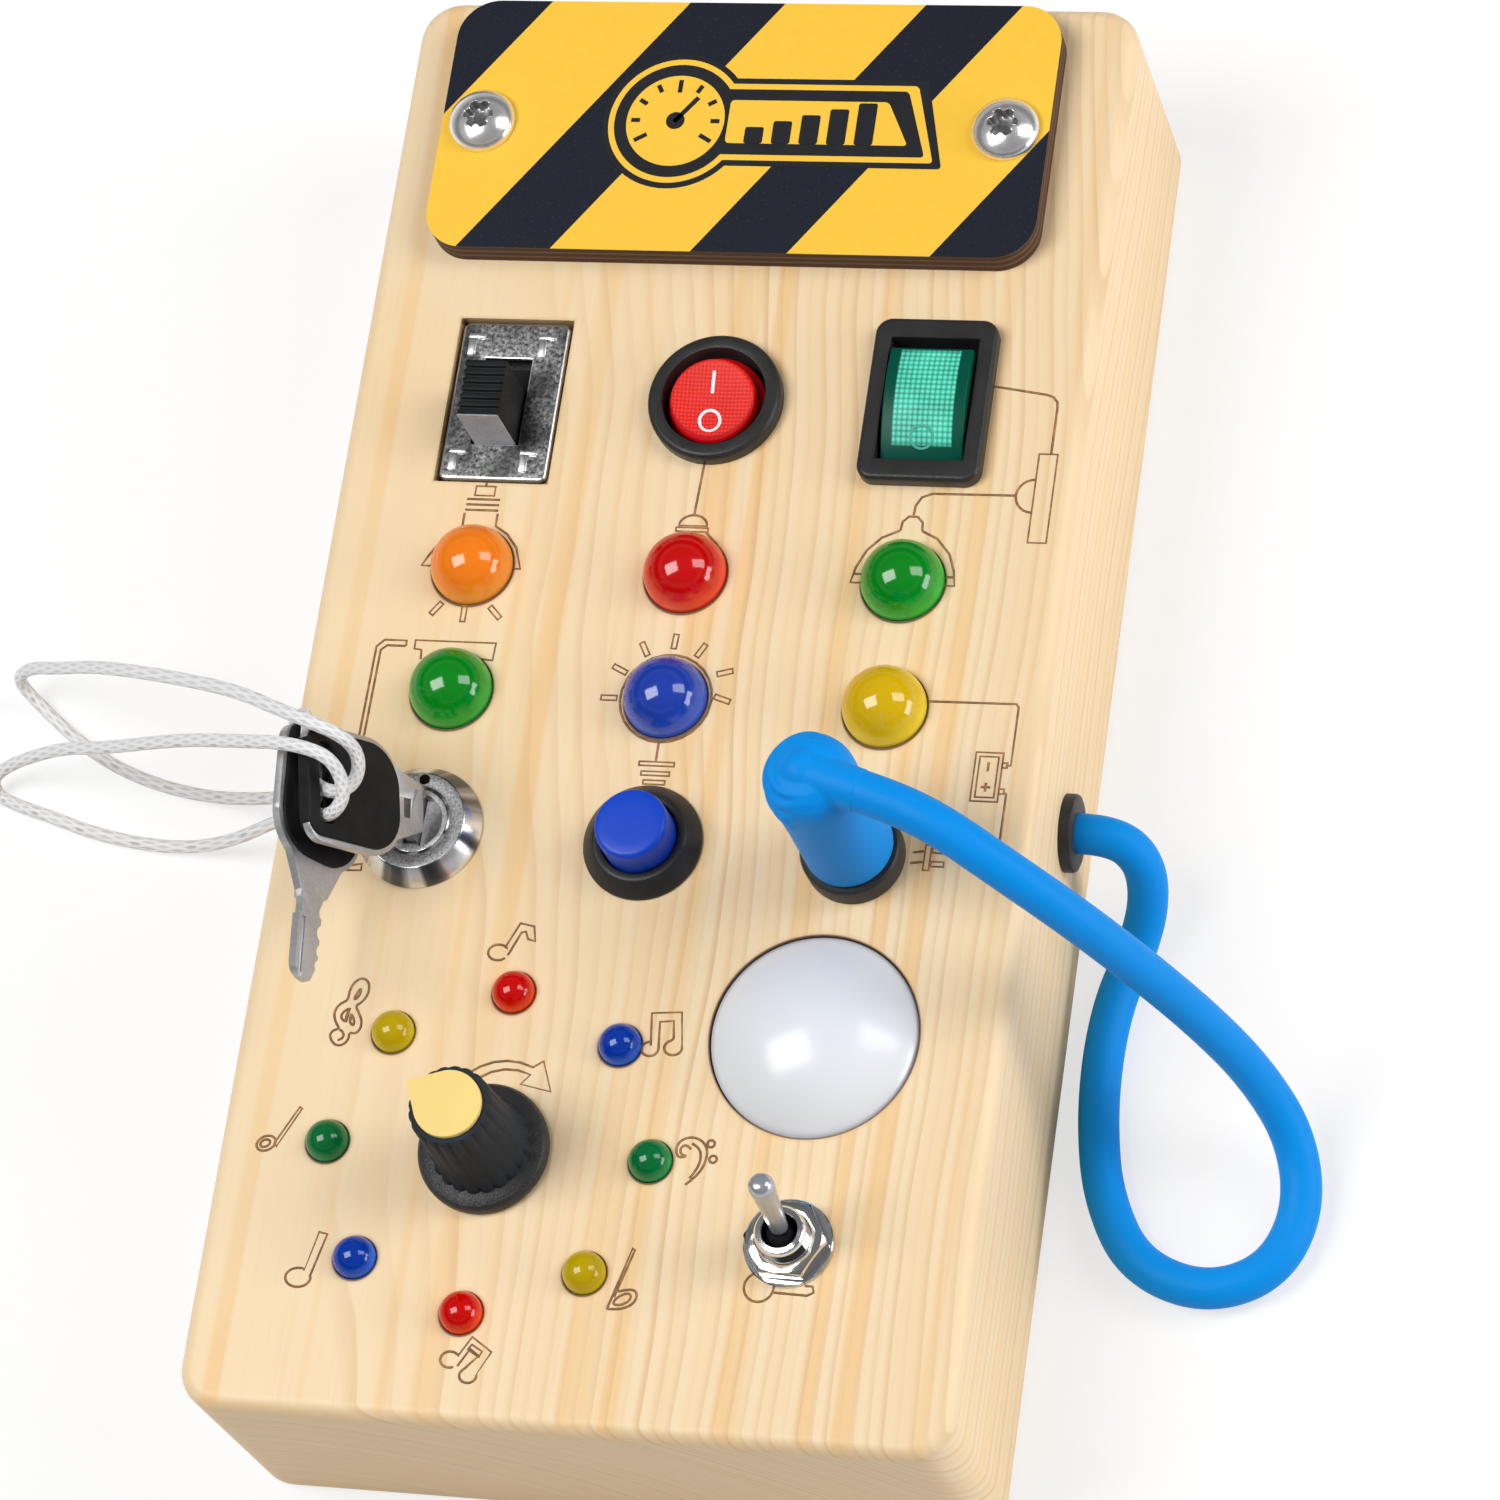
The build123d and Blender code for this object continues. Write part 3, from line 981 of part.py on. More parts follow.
# ---------------------------------------------------------------- dome lamp
dome_sphere = (DOME_RADIUS**2 + DOME_RISE**2) / (2 * DOME_RISE)
dome_mid = DOME_RADIUS * 0.6
dome_mid_rise = DOME_EDGE + DOME_RISE - dome_sphere + math.sqrt(dome_sphere**2 - dome_mid**2)
with BuildPart() as dome_lens:
    with BuildSketch(upright(DOME_AT)):
        with BuildLine():
            Polyline(
                (0, DOME_EDGE + DOME_RISE),
                (0, DOME_EDGE + DOME_RISE - DOME_WALL),
                (DOME_RADIUS - DOME_WALL, DOME_EDGE - DOME_WALL),
                (DOME_RADIUS - DOME_WALL, -DOME_SKIRT_DEPTH),
                (DOME_FLANGE, -DOME_SKIRT_DEPTH),
                (DOME_FLANGE, UNDER),
                (DOME_RADIUS, UNDER),
                (DOME_RADIUS, DOME_EDGE),
            )
            ThreePointArc((DOME_RADIUS, DOME_EDGE), (dome_mid, dome_mid_rise), (0, DOME_EDGE + DOME_RISE))
        make_face()
    revolve(axis=Axis((*DOME_AT, 0), (0, 0, 1)))
finish("dome_lens", dome_lens)

with BuildPart() as dome_lamp_board:
    post(DOME_AT, -DOME_SKIRT_DEPTH - CIRCUIT_THICKNESS, -DOME_SKIRT_DEPTH, DOME_FLANGE - 0.5)
    with Locations((*DOME_AT, FACE - DOME_SKIRT_DEPTH)):
        with PolarLocations(5.0, 3):
            Box(CHIP_SIZE, CHIP_SIZE, CHIP_THICKNESS, align=UPWARD)
finish("dome_lamp_board", dome_lamp_board)

# ---------------------------------------------------------------- ring of small lamps
RING_COLOURS = ("red", "blue", "green", "yellow")
for index, colour in enumerate(RING_COLOURS):
    colour_spots = RING_SPOTS[index :: len(RING_COLOURS)]
    finish(f"small_lamps_{colour}", lamps(colour_spots, SMALL_LAMP, SMALL_LAMP_FLANGE, SMALL_LAMP_DEPTH))

with BuildPart() as ring_lamp_board:
    post(RING_AT, -SMALL_LAMP_DEPTH - CIRCUIT_THICKNESS, -SMALL_LAMP_DEPTH, RING_BOARD[1])
    post(RING_AT, -SMALL_LAMP_DEPTH - CIRCUIT_THICKNESS, -SMALL_LAMP_DEPTH, RING_BOARD[0], mode=Mode.SUBTRACT)
    leg_holes(RING_SPOTS, SMALL_LAMP_DEPTH)
finish("ring_lamp_board", ring_lamp_board)

# ---------------------------------------------------------------- selector switch and knob
with BuildPart() as rotary_switch_body:
    post(DIAL_AT, -SELECTOR_DEPTH, UNDER, SELECTOR_BODY)
    post(DIAL_AT, UNDER, BUSHING_TOP, BUSHING_RADIUS)
    post(DIAL_AT, 1 - SELECTOR_DEPTH, BUSHING_TOP, SHAFT_BORE, mode=Mode.SUBTRACT)
finish("rotary_switch_body", rotary_switch_body)

finish(
    "rotary_switch_nut",
    hex_nut(DIAL_AT, 0, SELECTOR_NUT_THICKNESS, SELECTOR_NUT_FLATS, BUSHING_RADIUS + FIT),
)

with BuildPart() as rotary_switch_shaft:
    post(DIAL_AT, 1 + FIT - SELECTOR_DEPTH, SHAFT_TOP, SHAFT_RADIUS)
finish("rotary_switch_shaft", rotary_switch_shaft)

knob_slope = (KNOB_SKIRT_HEIGHT[1] + KNOB_BASE_HEIGHT) / 2
with BuildPart() as knob:
    with BuildSketch(upright(DIAL_AT)):
        with BuildLine():
            Polyline(
                (SHAFT_BORE, BUSHING_TOP + 2 * SEAT),
                (KNOB_RECESS, BUSHING_TOP - 2 * SEAT),
                (KNOB_RECESS, KNOB_SKIRT_HEIGHT[0]),
                (KNOB_SKIRT, KNOB_SKIRT_HEIGHT[0]),
                (KNOB_SKIRT, KNOB_SKIRT_HEIGHT[1]),
            )
            Spline(
                (KNOB_SKIRT, KNOB_SKIRT_HEIGHT[1]),
                (0.5 * (KNOB_SKIRT + KNOB_BASE) - 0.2, knob_slope + 0.35),
                (KNOB_BASE, KNOB_BASE_HEIGHT),
            )
            Polyline(
                (KNOB_BASE, KNOB_BASE_HEIGHT),
                (KNOB_CROWN, KNOB_TOP - 0.5),
                (KNOB_CROWN - 0.5, KNOB_TOP),
                (0, KNOB_TOP),
                (0, SHAFT_TOP + FIT),
                (SHAFT_BORE, SHAFT_TOP + FIT),
                (SHAFT_BORE, BUSHING_TOP + 2 * SEAT),
            )
        make_face()
    revolve(axis=Axis((*DIAL_AT, 0), (0, 0, 1)))
    with Locations((*DIAL_AT, FACE + KNOB_BASE_HEIGHT)):
        with PolarLocations(KNOB_BASE + 0.15, KNOB_FLUTES):
            Cylinder(KNOB_FLUTE, KNOB_TOP - KNOB_BASE_HEIGHT, align=UPWARD, mode=Mode.SUBTRACT)
finish("knob", knob)

pointer_turn = math.radians(POINTER_ANGLE)
pointer_plane = Plane(
    origin=(*DIAL_AT, FACE + KNOB_TOP),
    x_dir=(math.cos(pointer_turn), math.sin(pointer_turn), 0),
    z_dir=(0, 0, 1),
)
tangent = math.acos(POINTER_RADIUS / POINTER_TIP)
touch = (POINTER_RADIUS * math.cos(tangent), POINTER_RADIUS * math.sin(tangent))
with BuildPart() as knob_pointer_cap:
    with BuildSketch(pointer_plane):
        Circle(POINTER_RADIUS)
        with BuildLine():
            Polyline((0, 0), (touch[0], -touch[1]), (POINTER_TIP, 0), touch, close=True)
        make_face()
    extrude(amount=POINTER_HEIGHT)
finish("knob_pointer_cap", knob_pointer_cap)

# ---------------------------------------------------------------- toggle switch
with BuildPart() as toggle_body:
    block(TOGGLE_AT, -TOGGLE_DEPTH, UNDER, TOGGLE_BODY)
    post(TOGGLE_AT, UNDER, TOGGLE_BUSHING_TOP, TOGGLE_BUSHING)
    post(TOGGLE_AT, UNDER, TOGGLE_BUSHING_TOP, TOGGLE_BALL + RUN, mode=Mode.SUBTRACT)
finish("toggle_body", toggle_body)

toggle_side = Plane(origin=TOGGLE_PLANE.origin, x_dir=TOGGLE_PLANE.x_dir, z_dir=-TOGGLE_PLANE.y_dir)
with BuildPart(TOGGLE_PLANE) as toggle_lever:
    Sphere(TOGGLE_BALL)
    with BuildSketch(toggle_side):
        with BuildLine():
            Polyline(
                (0, -TOGGLE_TAIL),
                (TOGGLE_LEVER_ROOT * 0.8, -TOGGLE_TAIL),
                (TOGGLE_LEVER_ROOT, 1.5),
                (TOGGLE_LEVER_TIP, TOGGLE_LEVER_LENGTH - TOGGLE_LEVER_TIP),
            )
            RadiusArc(
                (TOGGLE_LEVER_TIP, TOGGLE_LEVER_LENGTH - TOGGLE_LEVER_TIP),
                (0, TOGGLE_LEVER_LENGTH),
                -TOGGLE_LEVER_TIP,
            )
            Line((0, TOGGLE_LEVER_LENGTH), (0, -TOGGLE_TAIL))
        make_face()
    revolve(axis=Axis(TOGGLE_PLANE.origin, TOGGLE_PLANE.z_dir))
finish("toggle_lever", toggle_lever)

with BuildPart() as toggle_washer:
    post(TOGGLE_AT, 0, TOGGLE_WASHER_THICKNESS, TOGGLE_WASHER)
    post(TOGGLE_AT, 0, TOGGLE_WASHER_THICKNESS, TOGGLE_BUSHING + FIT, mode=Mode.SUBTRACT)
finish("toggle_washer", toggle_washer)

finish(
    "toggle_nut",
    hex_nut(TOGGLE_AT, TOGGLE_WASHER_THICKNESS, TOGGLE_NUT_THICKNESS, TOGGLE_NUT_FLATS, TOGGLE_BUSHING + FIT),
)
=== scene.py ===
"""Looks of a wooden busy board with switches, lamps, a key lock, a plug and a selector dial.

The board lies on its back: Z points out of its face and Y runs up the board. Sizes are in
millimetres, and a piece is brought to metres when it is finished.
"""

import json
import logging
import math
from dataclasses import dataclass
from enum import Enum
from typing import Callable, Sequence, Union

import bmesh
import bpy
from mathutils import Euler, Matrix, Vector

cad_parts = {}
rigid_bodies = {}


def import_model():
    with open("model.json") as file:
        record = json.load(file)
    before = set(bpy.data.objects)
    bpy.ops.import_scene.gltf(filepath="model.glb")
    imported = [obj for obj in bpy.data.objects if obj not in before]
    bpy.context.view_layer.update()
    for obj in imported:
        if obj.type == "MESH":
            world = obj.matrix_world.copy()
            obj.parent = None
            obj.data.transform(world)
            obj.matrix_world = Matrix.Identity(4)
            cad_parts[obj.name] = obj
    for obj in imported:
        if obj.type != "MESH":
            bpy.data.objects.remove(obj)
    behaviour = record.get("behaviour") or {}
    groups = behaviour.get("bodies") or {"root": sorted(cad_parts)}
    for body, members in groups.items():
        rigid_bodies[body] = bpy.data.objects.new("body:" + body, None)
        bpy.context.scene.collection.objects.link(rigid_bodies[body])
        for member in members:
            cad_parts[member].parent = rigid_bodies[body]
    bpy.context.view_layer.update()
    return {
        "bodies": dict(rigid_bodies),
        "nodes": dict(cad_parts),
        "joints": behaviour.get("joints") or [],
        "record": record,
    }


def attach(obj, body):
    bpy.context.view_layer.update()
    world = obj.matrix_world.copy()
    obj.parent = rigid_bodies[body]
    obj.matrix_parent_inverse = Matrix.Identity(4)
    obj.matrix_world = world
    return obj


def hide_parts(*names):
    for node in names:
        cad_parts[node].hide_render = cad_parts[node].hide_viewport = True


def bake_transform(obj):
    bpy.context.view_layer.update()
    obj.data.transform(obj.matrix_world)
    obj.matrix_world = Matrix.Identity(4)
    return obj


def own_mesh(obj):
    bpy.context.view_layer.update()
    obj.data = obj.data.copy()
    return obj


LOG = logging.getLogger("busy_board")
MM = 0.001
TURN = 2 * math.pi
FACE, HALF_WIDTH = 31.5, 45.0
SHARP_ANGLE, ROUND_ANGLE = 40.0, 50.0

Colour = Point = tuple[float, float, float]
Spot = tuple[float, float]
Line = tuple[Sequence[Point], bool, bool]
Face = bpy.types.MeshPolygon


class Body(Enum):
    """The bodies that pieces ride on."""

    CASE = "case"
    SLIDER = "slider"
    ROUND_ROCKER = "round_rocker"
    RECT_ROCKER = "rect_rocker"
    LOCK_CORE = "lock_core"
    BUTTON = "push_button"
    PLUG = "plug"
    KNOB = "knob"
    TOGGLE = "toggle"


class Shape(Enum):
    """Primitives that a piece starts from."""

    CIRCLE = "circle"
    CUBE = "cube"
    CYLINDER = "cylinder"
    BALL = "uv_sphere"
    RING = "torus"


class Pick(Enum):
    """What a selection in edit mode is made of."""

    VERTS = "VERT"
    EDGES = "EDGE"
    FACES = "FACE"


# ------------------------------------------------------------------ shader expressions
def operator(operation: str, swapped: bool = False) -> Callable[..., "Wire"]:
    """Makes a method of Wire that adds one Math node.

    Args:
        operation: what the node works out.
        swapped: the wire comes last, as in a number minus a wire.

    Returns:
        The method.
    """

    def method(wire: "Wire", *others: "Value") -> "Wire":
        """Adds the node."""
        values = (*others, wire) if swapped else (wire, *others)
        return wire.sheet.node("ShaderNodeMath", {"operation": operation}, dict(enumerate(values)))

    return method


class Wire:
    """A socket of a sheet's nodes, worked on with Python's operators.

    A comparison gives 1 or 0. part is what is left after the whole turns, whole is the whole
    number below and size has no sign. least and most are the smaller and the larger of two.
    """

    __add__ = __radd__ = operator("ADD")
    __mul__ = __rmul__ = operator("MULTIPLY")
    __sub__, __rsub__ = operator("SUBTRACT"), operator("SUBTRACT", swapped=True)
    __truediv__, __pow__ = operator("DIVIDE"), operator("POWER")
    __lt__, __gt__ = operator("LESS_THAN"), operator("GREATER_THAN")
    part, whole, size = operator("FRACT"), operator("FLOOR"), operator("ABSOLUTE")
    least, most, sine = operator("MINIMUM"), operator("MAXIMUM"), operator("SINE")

    def __init__(self, sheet: "Sheet", socket: bpy.types.NodeSocket) -> None:
        """Keeps the sheet that the socket is on."""
        self.sheet, self.socket = sheet, socket

    def wave(self) -> "Wire":
        """Sine of this many turns."""
        return (self * TURN).sine()

    def ease(self, low: float, high: float) -> "Wire":
        """Rises smoothly from 0 at low to 1 at high."""
        settings = {"interpolation_type": "SMOOTHSTEP"}
        return self.sheet.node("ShaderNodeMapRange", settings, {0: self, 1: low, 2: high})


Value = Union[Wire, float]


class Sheet:
    """The nodes of one material or world."""

    def __init__(self, owner: Union[bpy.types.Material, bpy.types.World]) -> None:
        """Takes up the owner's nodes and its shader."""
        owner.use_nodes = True
        self.owner = owner
        self.nodes, self.links = owner.node_tree.nodes, owner.node_tree.links
        self.shader = self.nodes.get("Principled BSDF") or self.nodes["Background"]

    def put(self, socket: bpy.types.NodeSocket, value: object) -> None:
        """Links a wire to a socket, or sets the socket's own value.

        Args:
            socket: socket to feed.
            value: wire, number, colour or vector.
        """
        if isinstance(value, Wire):
            self.links.new(value.socket, socket)
        else:
            socket.default_value = (*value, 1.0) if socket.type == "RGBA" else value

    def node(self, kind: str, settings: dict, inputs: dict, output: Union[int, str] = 0) -> Wire:
        """Adds a node.

        Args:
            kind: type of the node.
            settings: its settings, which are set first; "stops" are a ramp's places and greys.
            inputs: values or wires by socket name or number.
            output: output that the wire starts from.

        Returns:
            A wire from the output.
        """
        made = self.nodes.new(kind)
        for key, value in settings.items():
            if key != "stops":
                setattr(made, key, value)
                continue
            ramp = made.color_ramp.elements
            for _ in value[2:]:
                ramp.new(0.5)
            for element, (place, grey) in zip(ramp, value):
                element.position, element.color = place, (grey, grey, grey, 1.0)
        for key, value in inputs.items():
            self.put(made.inputs[key], value)
        return Wire(self, made.outputs[output])

    def vector(self, operation: str, point: Wire, by: Point = (), output: str = "Vector") -> Wire:
        """Vector maths on a point.

        Args:
            operation: what is worked out.
            point: the point.
            by: factors, shift or other point that the operation takes.
            output: "Value" where the result is a number.

        Returns:
            The result.
        """
        inputs = {0: point, 1: by} if by else {0: point}
        return self.node("ShaderNodeVectorMath", {"operation": operation}, inputs, output)

    def coordinates(self, kind: str) -> Wire:
        """Texture coordinates of one kind."""
        return self.node("ShaderNodeTexCoord", {}, {}, kind)

    def place(self) -> Wire:
        """The point on the piece, in millimetres."""
        return self.stretch(self.coordinates("Object"), (1 / MM, 1 / MM, 1 / MM))

    def stretch(self, point: Wire, factors: Point) -> Wire:
        """The point scaled along each axis."""
        return self.vector("MULTIPLY", point, factors)

    def split(self, point: Wire) -> list[Wire]:
        """The three parts of a vector."""
        outputs = self.node("ShaderNodeSeparateXYZ", {}, {0: point}).socket.node.outputs
        return [Wire(self, output) for output in outputs]

    def noise(self, point: Wire, scale: float, detail: float = 2.0, rough: float = 0.5) -> Wire:
        """Noise from 0 to 1, about 0.5 on average.

        Args:
            point: where it is read.
            scale: waves per unit of the point.
            detail: octaves.
            rough: share of the finer octaves.

        Returns:
            The noise value.
        """
        inputs = {"Vector": point, "Scale": scale, "Detail": detail, "Roughness": rough}
        return self.node("ShaderNodeTexNoise", {}, inputs)

    def line_noise(self, value: Wire, scale: float) -> Wire:
        """Noise that depends on one value."""
        inputs = {"W": value, "Scale": scale, "Detail": 1.0}
        return self.node("ShaderNodeTexNoise", {"noise_dimensions": "1D"}, inputs)

    def seen(self) -> Wire:
        """1 for what the camera sees straight."""
        return self.node("ShaderNodeLightPath", {}, {}, "Is Camera Ray")

    def mix(self, factor: Value, first: object, second: object) -> Wire:
        """Colour between two colours."""
        inputs = {0: factor, 6: first, 7: second}
        return self.node("ShaderNodeMix", {"data_type": "RGBA"}, inputs, 2)

    def bump(self, height: Wire, depth: float) -> Wire:
        """Normal of a relief.

        Args:
            height: relief from 0 to 1.
            depth: depth of the relief in millimetres.

        Returns:
            The normal.
        """
        inputs = {"Height": height, "Distance": depth * MM, "Strength": 1.0}
        return self.node("ShaderNodeBump", {}, inputs)

    def shade(self, **values: object) -> None:
        """Sets or links the shader's own sockets, with _ for a space in their names."""
        for key, value in values.items():
            self.put(self.shader.inputs[key.replace("_", " ")], value)


def tint(colour: Colour, factor: float, lift: float = 0.0) -> Colour:
    """A colour with each part scaled, then lifted."""
    return tuple(part * factor + lift for part in colour)


# ------------------------------------------------------------------ finishes
@dataclass(frozen=True)
class Finish:
    """A finish, made into a material once. slot is the record's material slot; it is not used."""

    name: str
    slot: str

    def material(self) -> bpy.types.Material:
        """The material of this finish."""
        title = "finish_" + self.name
        found = bpy.data.materials.get(title)
        if found is None:
            found = bpy.data.materials.new(title)
            self.paint(Sheet(found))
        return found

    def paint(self, sheet: Sheet) -> None:
        """Sets the shader of this finish."""
        raise NotImplementedError


@dataclass(frozen=True)
class Timber(Finish):
    """Pale softwood sawn from a round trunk, with burnt edges and painted gap shade round its
    holes.
    """

    pale: Colour = (0.885, 0.690, 0.435)
    warm: Colour = (0.87, 0.585, 0.285)
    line: Colour = (0.70, 0.435, 0.200)
    burnt: Colour = (0.10, 0.042, 0.016)
    pith: Spot = (-41.0, -38.0)
    lean: float = 0.035
    ring: float = 1.15
    contrast: float = 0.50
    face_depth: float = 4.3
    holes: tuple[Point, ...] = ()
    windows: tuple[tuple[float, float, float, float], ...] = ()

    def paint(self, sheet: Sheet) -> None:
        """Rings about the pith, fibres along the board and burnt hole edges."""
        place = sheet.place()
        x, y, z = sheet.split(place)

        def waves(factors: Point, scale: float = 1.0, *detail: float) -> Wire:
            """Noise on the stretched point."""
            return sheet.noise(sheet.stretch(place, factors), scale, *detail)

        drift_x = (waves((0.012, 0.0065, 0.012)) - 0.5) * 12.0
        drift_z = (waves((0.010, 0.009, 0.014), 1.3) - 0.5) * 9.0
        wobble = (waves((0.10, 0.014, 0.10), 1.0, 3.0) - 0.5) * 0.9
        across = x - self.pith[0] + drift_x
        deep = z - self.pith[1] + y * self.lean + drift_z
        radius = (across * across + deep * deep) ** 0.5 + wobble
        turn = radius / self.ring
        late = turn.part().ease(0.42, 0.92) * (1.0 - turn.part().ease(0.93, 1.0))
        tangent = 1.0 - (across.size() / radius).ease(0.06, 0.42)
        late = late * (1.0 - z.ease(26.0, 31.0) * tangent)
        weight = sheet.line_noise(turn.whole(), 0.73) ** 2.0 * 2.6
        fibre = waves((3.0, 0.07, 3.0), 1.0, 3.0, 0.6)
        broad = sheet.line_noise(radius, 0.42).ease(0.40, 0.66)
        patch = waves((0.03, 0.012, 0.03)).ease(0.35, 0.65)
        at_end = y.size().ease(88.7, 89.9)
        streak = sheet.line_noise(x + drift_x * 0.4, 0.23).ease(0.50, 0.66) * (1.0 - at_end)
        warmth = (broad * 0.30 + streak * (patch * 0.7 + 0.50)).least(1.0)
        ground = sheet.mix(warmth, self.pale, self.warm)
        grown = sheet.mix((late * weight * self.contrast).least(1.0), ground, self.line)
        streaked = sheet.mix(fibre.ease(0.55, 0.85) * 0.22, grown, self.line)
        colour = sheet.mix(at_end * 0.30, streaked, self.line)
        sheet.shade(
            Base_Color=self.burn(sheet, place, colour) if self.holes else colour,
            Roughness=0.46 + fibre * 0.16,
            Normal=sheet.bump(fibre * 0.5 + late * 0.5, 0.035),
            Coat_Weight=0.12,
            Coat_Roughness=0.35,
        )

    def burn(self, sheet: Sheet, place: Wire, colour: Wire) -> Wire:
        """Darkens the wood round its holes and windows: laser burn, and painted shade of the gaps
        round the lamps.

        Args:
            sheet: the material's nodes.
            place: the point on the piece.
            colour: colour of the wood.

        Returns:
            The colour with its burnt edges.
        """
        x, y, z = sheet.split(place)
        flat, near = sheet.stretch(place, (1.0, 1.0, 0.0)), None
        for hole_x, hole_y, hole_radius in self.holes:
            gap = sheet.vector("DISTANCE", flat, (hole_x, hole_y, 0.0), "Value") - hole_radius
            near = gap if near is None else near.least(gap)
        for window_x, window_y, half_x, half_y in self.windows:
            side_x, side_y = (x - window_x).size() - half_x, (y - window_y).size() - half_y
            near = near.least(side_x.most(side_y))
        ragged = sheet.noise(place, 1.1, 3.0) * 0.35
        cut_through = z > FACE - self.face_depth
        halo = (1.0 - (near - ragged).ease(-0.1, 0.55)) * cut_through * 0.45
        # the dark edge is partly laser burn and partly painted shade of the gap between a lamp and
        # its hole
        edge = (1.0 - near.ease(0.02, 0.24)) * cut_through * 0.92
        return sheet.mix(edge, sheet.mix(halo, colour, self.line), self.burnt)


@dataclass(frozen=True)
class Scorch(Finish):
    """Laser-burnt lines."""

    colour: Colour = (0.25, 0.125, 0.052)

    def paint(self, sheet: Sheet) -> None:
        """Burnt brown that varies along the line."""
        grain = sheet.noise(sheet.place(), 0.9, 3.0).ease(0.35, 0.75)
        colour = sheet.mix(grain, self.colour, tint(self.colour, 1.9))
        sheet.shade(Base_Color=colour, Roughness=0.85)


@dataclass(frozen=True)
class Plastic(Finish):
    """Moulded plastic or rubber with a fine skin texture."""

    colour: Colour
    roughness: float = 0.4
    skin: float = 0.02
    pitch: float = 5.0
    wear: float = 0.12
    specular: float = 0.30

    def paint(self, sheet: Sheet) -> None:
        """Fine moulded skin, with slightly paler and duller patches."""
        place = sheet.place()
        fine, cloud = sheet.noise(place, self.pitch, 3.0), sheet.noise(place, 0.25, 2.0)
        fade = 0.10 * self.wear
        paler, darker = tint(self.colour, 1 - fade, fade), tint(self.colour, 1 - self.wear)
        sheet.shade(
            Base_Color=sheet.mix(cloud * 0.7 + fine * 0.3, darker, paler),
            Roughness=(self.roughness - 0.05) + fine * 0.06 + cloud * 0.05,
            Normal=sheet.bump(fine, self.skin),
            Specular_IOR_Level=self.specular,
        )


@dataclass(frozen=True)
class Metal(Finish):
    """Plated or pressed metal."""

    colour: Colour = (0.80, 0.80, 0.81)
    dark: float = 0.75
    roughness: float = 0.12
    spread: float = 0.10
    pitch: float = 1.4
    grain: float = 0.004
    metallic: float = 1.0
    axis: Spot = (0.0, 0.0)
    # share of the dark bands fanning from the axis, which are painted reflections
    reflection_streaks: float = 0.0
    # share of the dark cloud blotches, which are painted reflections
    reflection_blotches: float = 0.0

    def paint(self, sheet: Sheet) -> None:
        """Uneven polish with fine grain, painted reflection blotches, and painted reflection
        streaks that fan out from an axis.
        """
        place = sheet.place()
        fine, cloud = sheet.noise(place, self.pitch, 4.0, 0.65), sheet.noise(place, 0.2, 2.0)
        # the cloud blotches darken the steel as painted reflections of the surround
        polish_and_reflection = fine.ease(0.30, 0.68) * (1.0 - cloud.ease(0.42, 0.60) * self.reflection_blotches)
        colour = sheet.mix(polish_and_reflection, tint(self.colour, self.dark), self.colour)
        # dark bands fanning from the axis: painted reflections of the surround
        if self.reflection_streaks:
            spoke = sheet.vector("ADD", place, (-self.axis[0], -self.axis[1], 0.0))
            spoke = sheet.vector("NORMALIZE", sheet.stretch(spoke, (1.0, 1.0, 0.0)))
            band = sheet.noise(spoke, 1.9, 2.0).ease(0.38, 0.53)
            colour = sheet.mix(band, tint(self.colour, 1.0 - self.reflection_streaks), colour)
        sheet.shade(
            Base_Color=colour,
            Metallic=self.metallic,
            Roughness=self.roughness + (fine * 0.6 + cloud * 0.4) * self.spread,
            Normal=sheet.bump(fine, self.grain),
        )


@dataclass(frozen=True)
class ClearColour(Finish):
    """Tinted clear plastic of a lamp, deep at its crown, with painted light at its rim as if lit
    through.
    """

    deep: Colour
    painted_rim_light: Colour
    rise: float
    gloss: float

    def paint(self, sheet: Sheet) -> None:
        """Painted light at the rim, deepening up to the crown, with faint clouds inside."""
        place = sheet.place()
        height = (sheet.split(place)[2] - FACE) / self.rise
        cloud = sheet.noise(place, 0.45, 2.0)
        crown = (height + (cloud - 0.5) * 0.35).ease(0.02, 0.75)
        sheet.shade(
            Base_Color=sheet.mix(crown, self.painted_rim_light, self.deep),
            Roughness=0.08 + cloud * 0.05,
            Specular_IOR_Level=self.gloss,
            Normal=sheet.bump(cloud, 0.02),
        )


@dataclass(frozen=True)
class PrismColour(Finish):
    """Tinted rocker button with a grid of small prisms under its surface."""

    dark: Colour
    bright: Colour
    centre: Spot
    half: Spot
    cell: float
    round_edge: bool = False

    def paint(self, sheet: Sheet) -> None:
        """A grid of bright prisms inside a clear, darker edge."""
        place = sheet.place()
        x, y, _ = sheet.split(place)
        across, along = x - self.centre[0], y - self.centre[1]
        cell_x, cell_y = ((way / self.cell).part() - 0.5 for way in (across, along))
        prism = 1.0 - (cell_x * cell_x + cell_y * cell_y) ** 0.5 * 1.5
        if self.round_edge:
            reach = (across * across + along * along) ** 0.5 / self.half[0]
        else:
            reach = (across.size() / self.half[0]).most(along.size() / self.half[1])
        inside = 1.0 - reach.ease(0.93, 1.0)
        glow = inside * (prism.ease(0.05, 0.8) * 0.55 + sheet.noise(place, 0.3, 2.0) * 0.50)
        sheet.shade(
            Base_Color=sheet.mix(glow.least(1.0), self.dark, self.bright),
            Roughness=0.34,
            Specular_IOR_Level=0.14,
            Normal=sheet.bump(prism * inside, 0.03),
        )


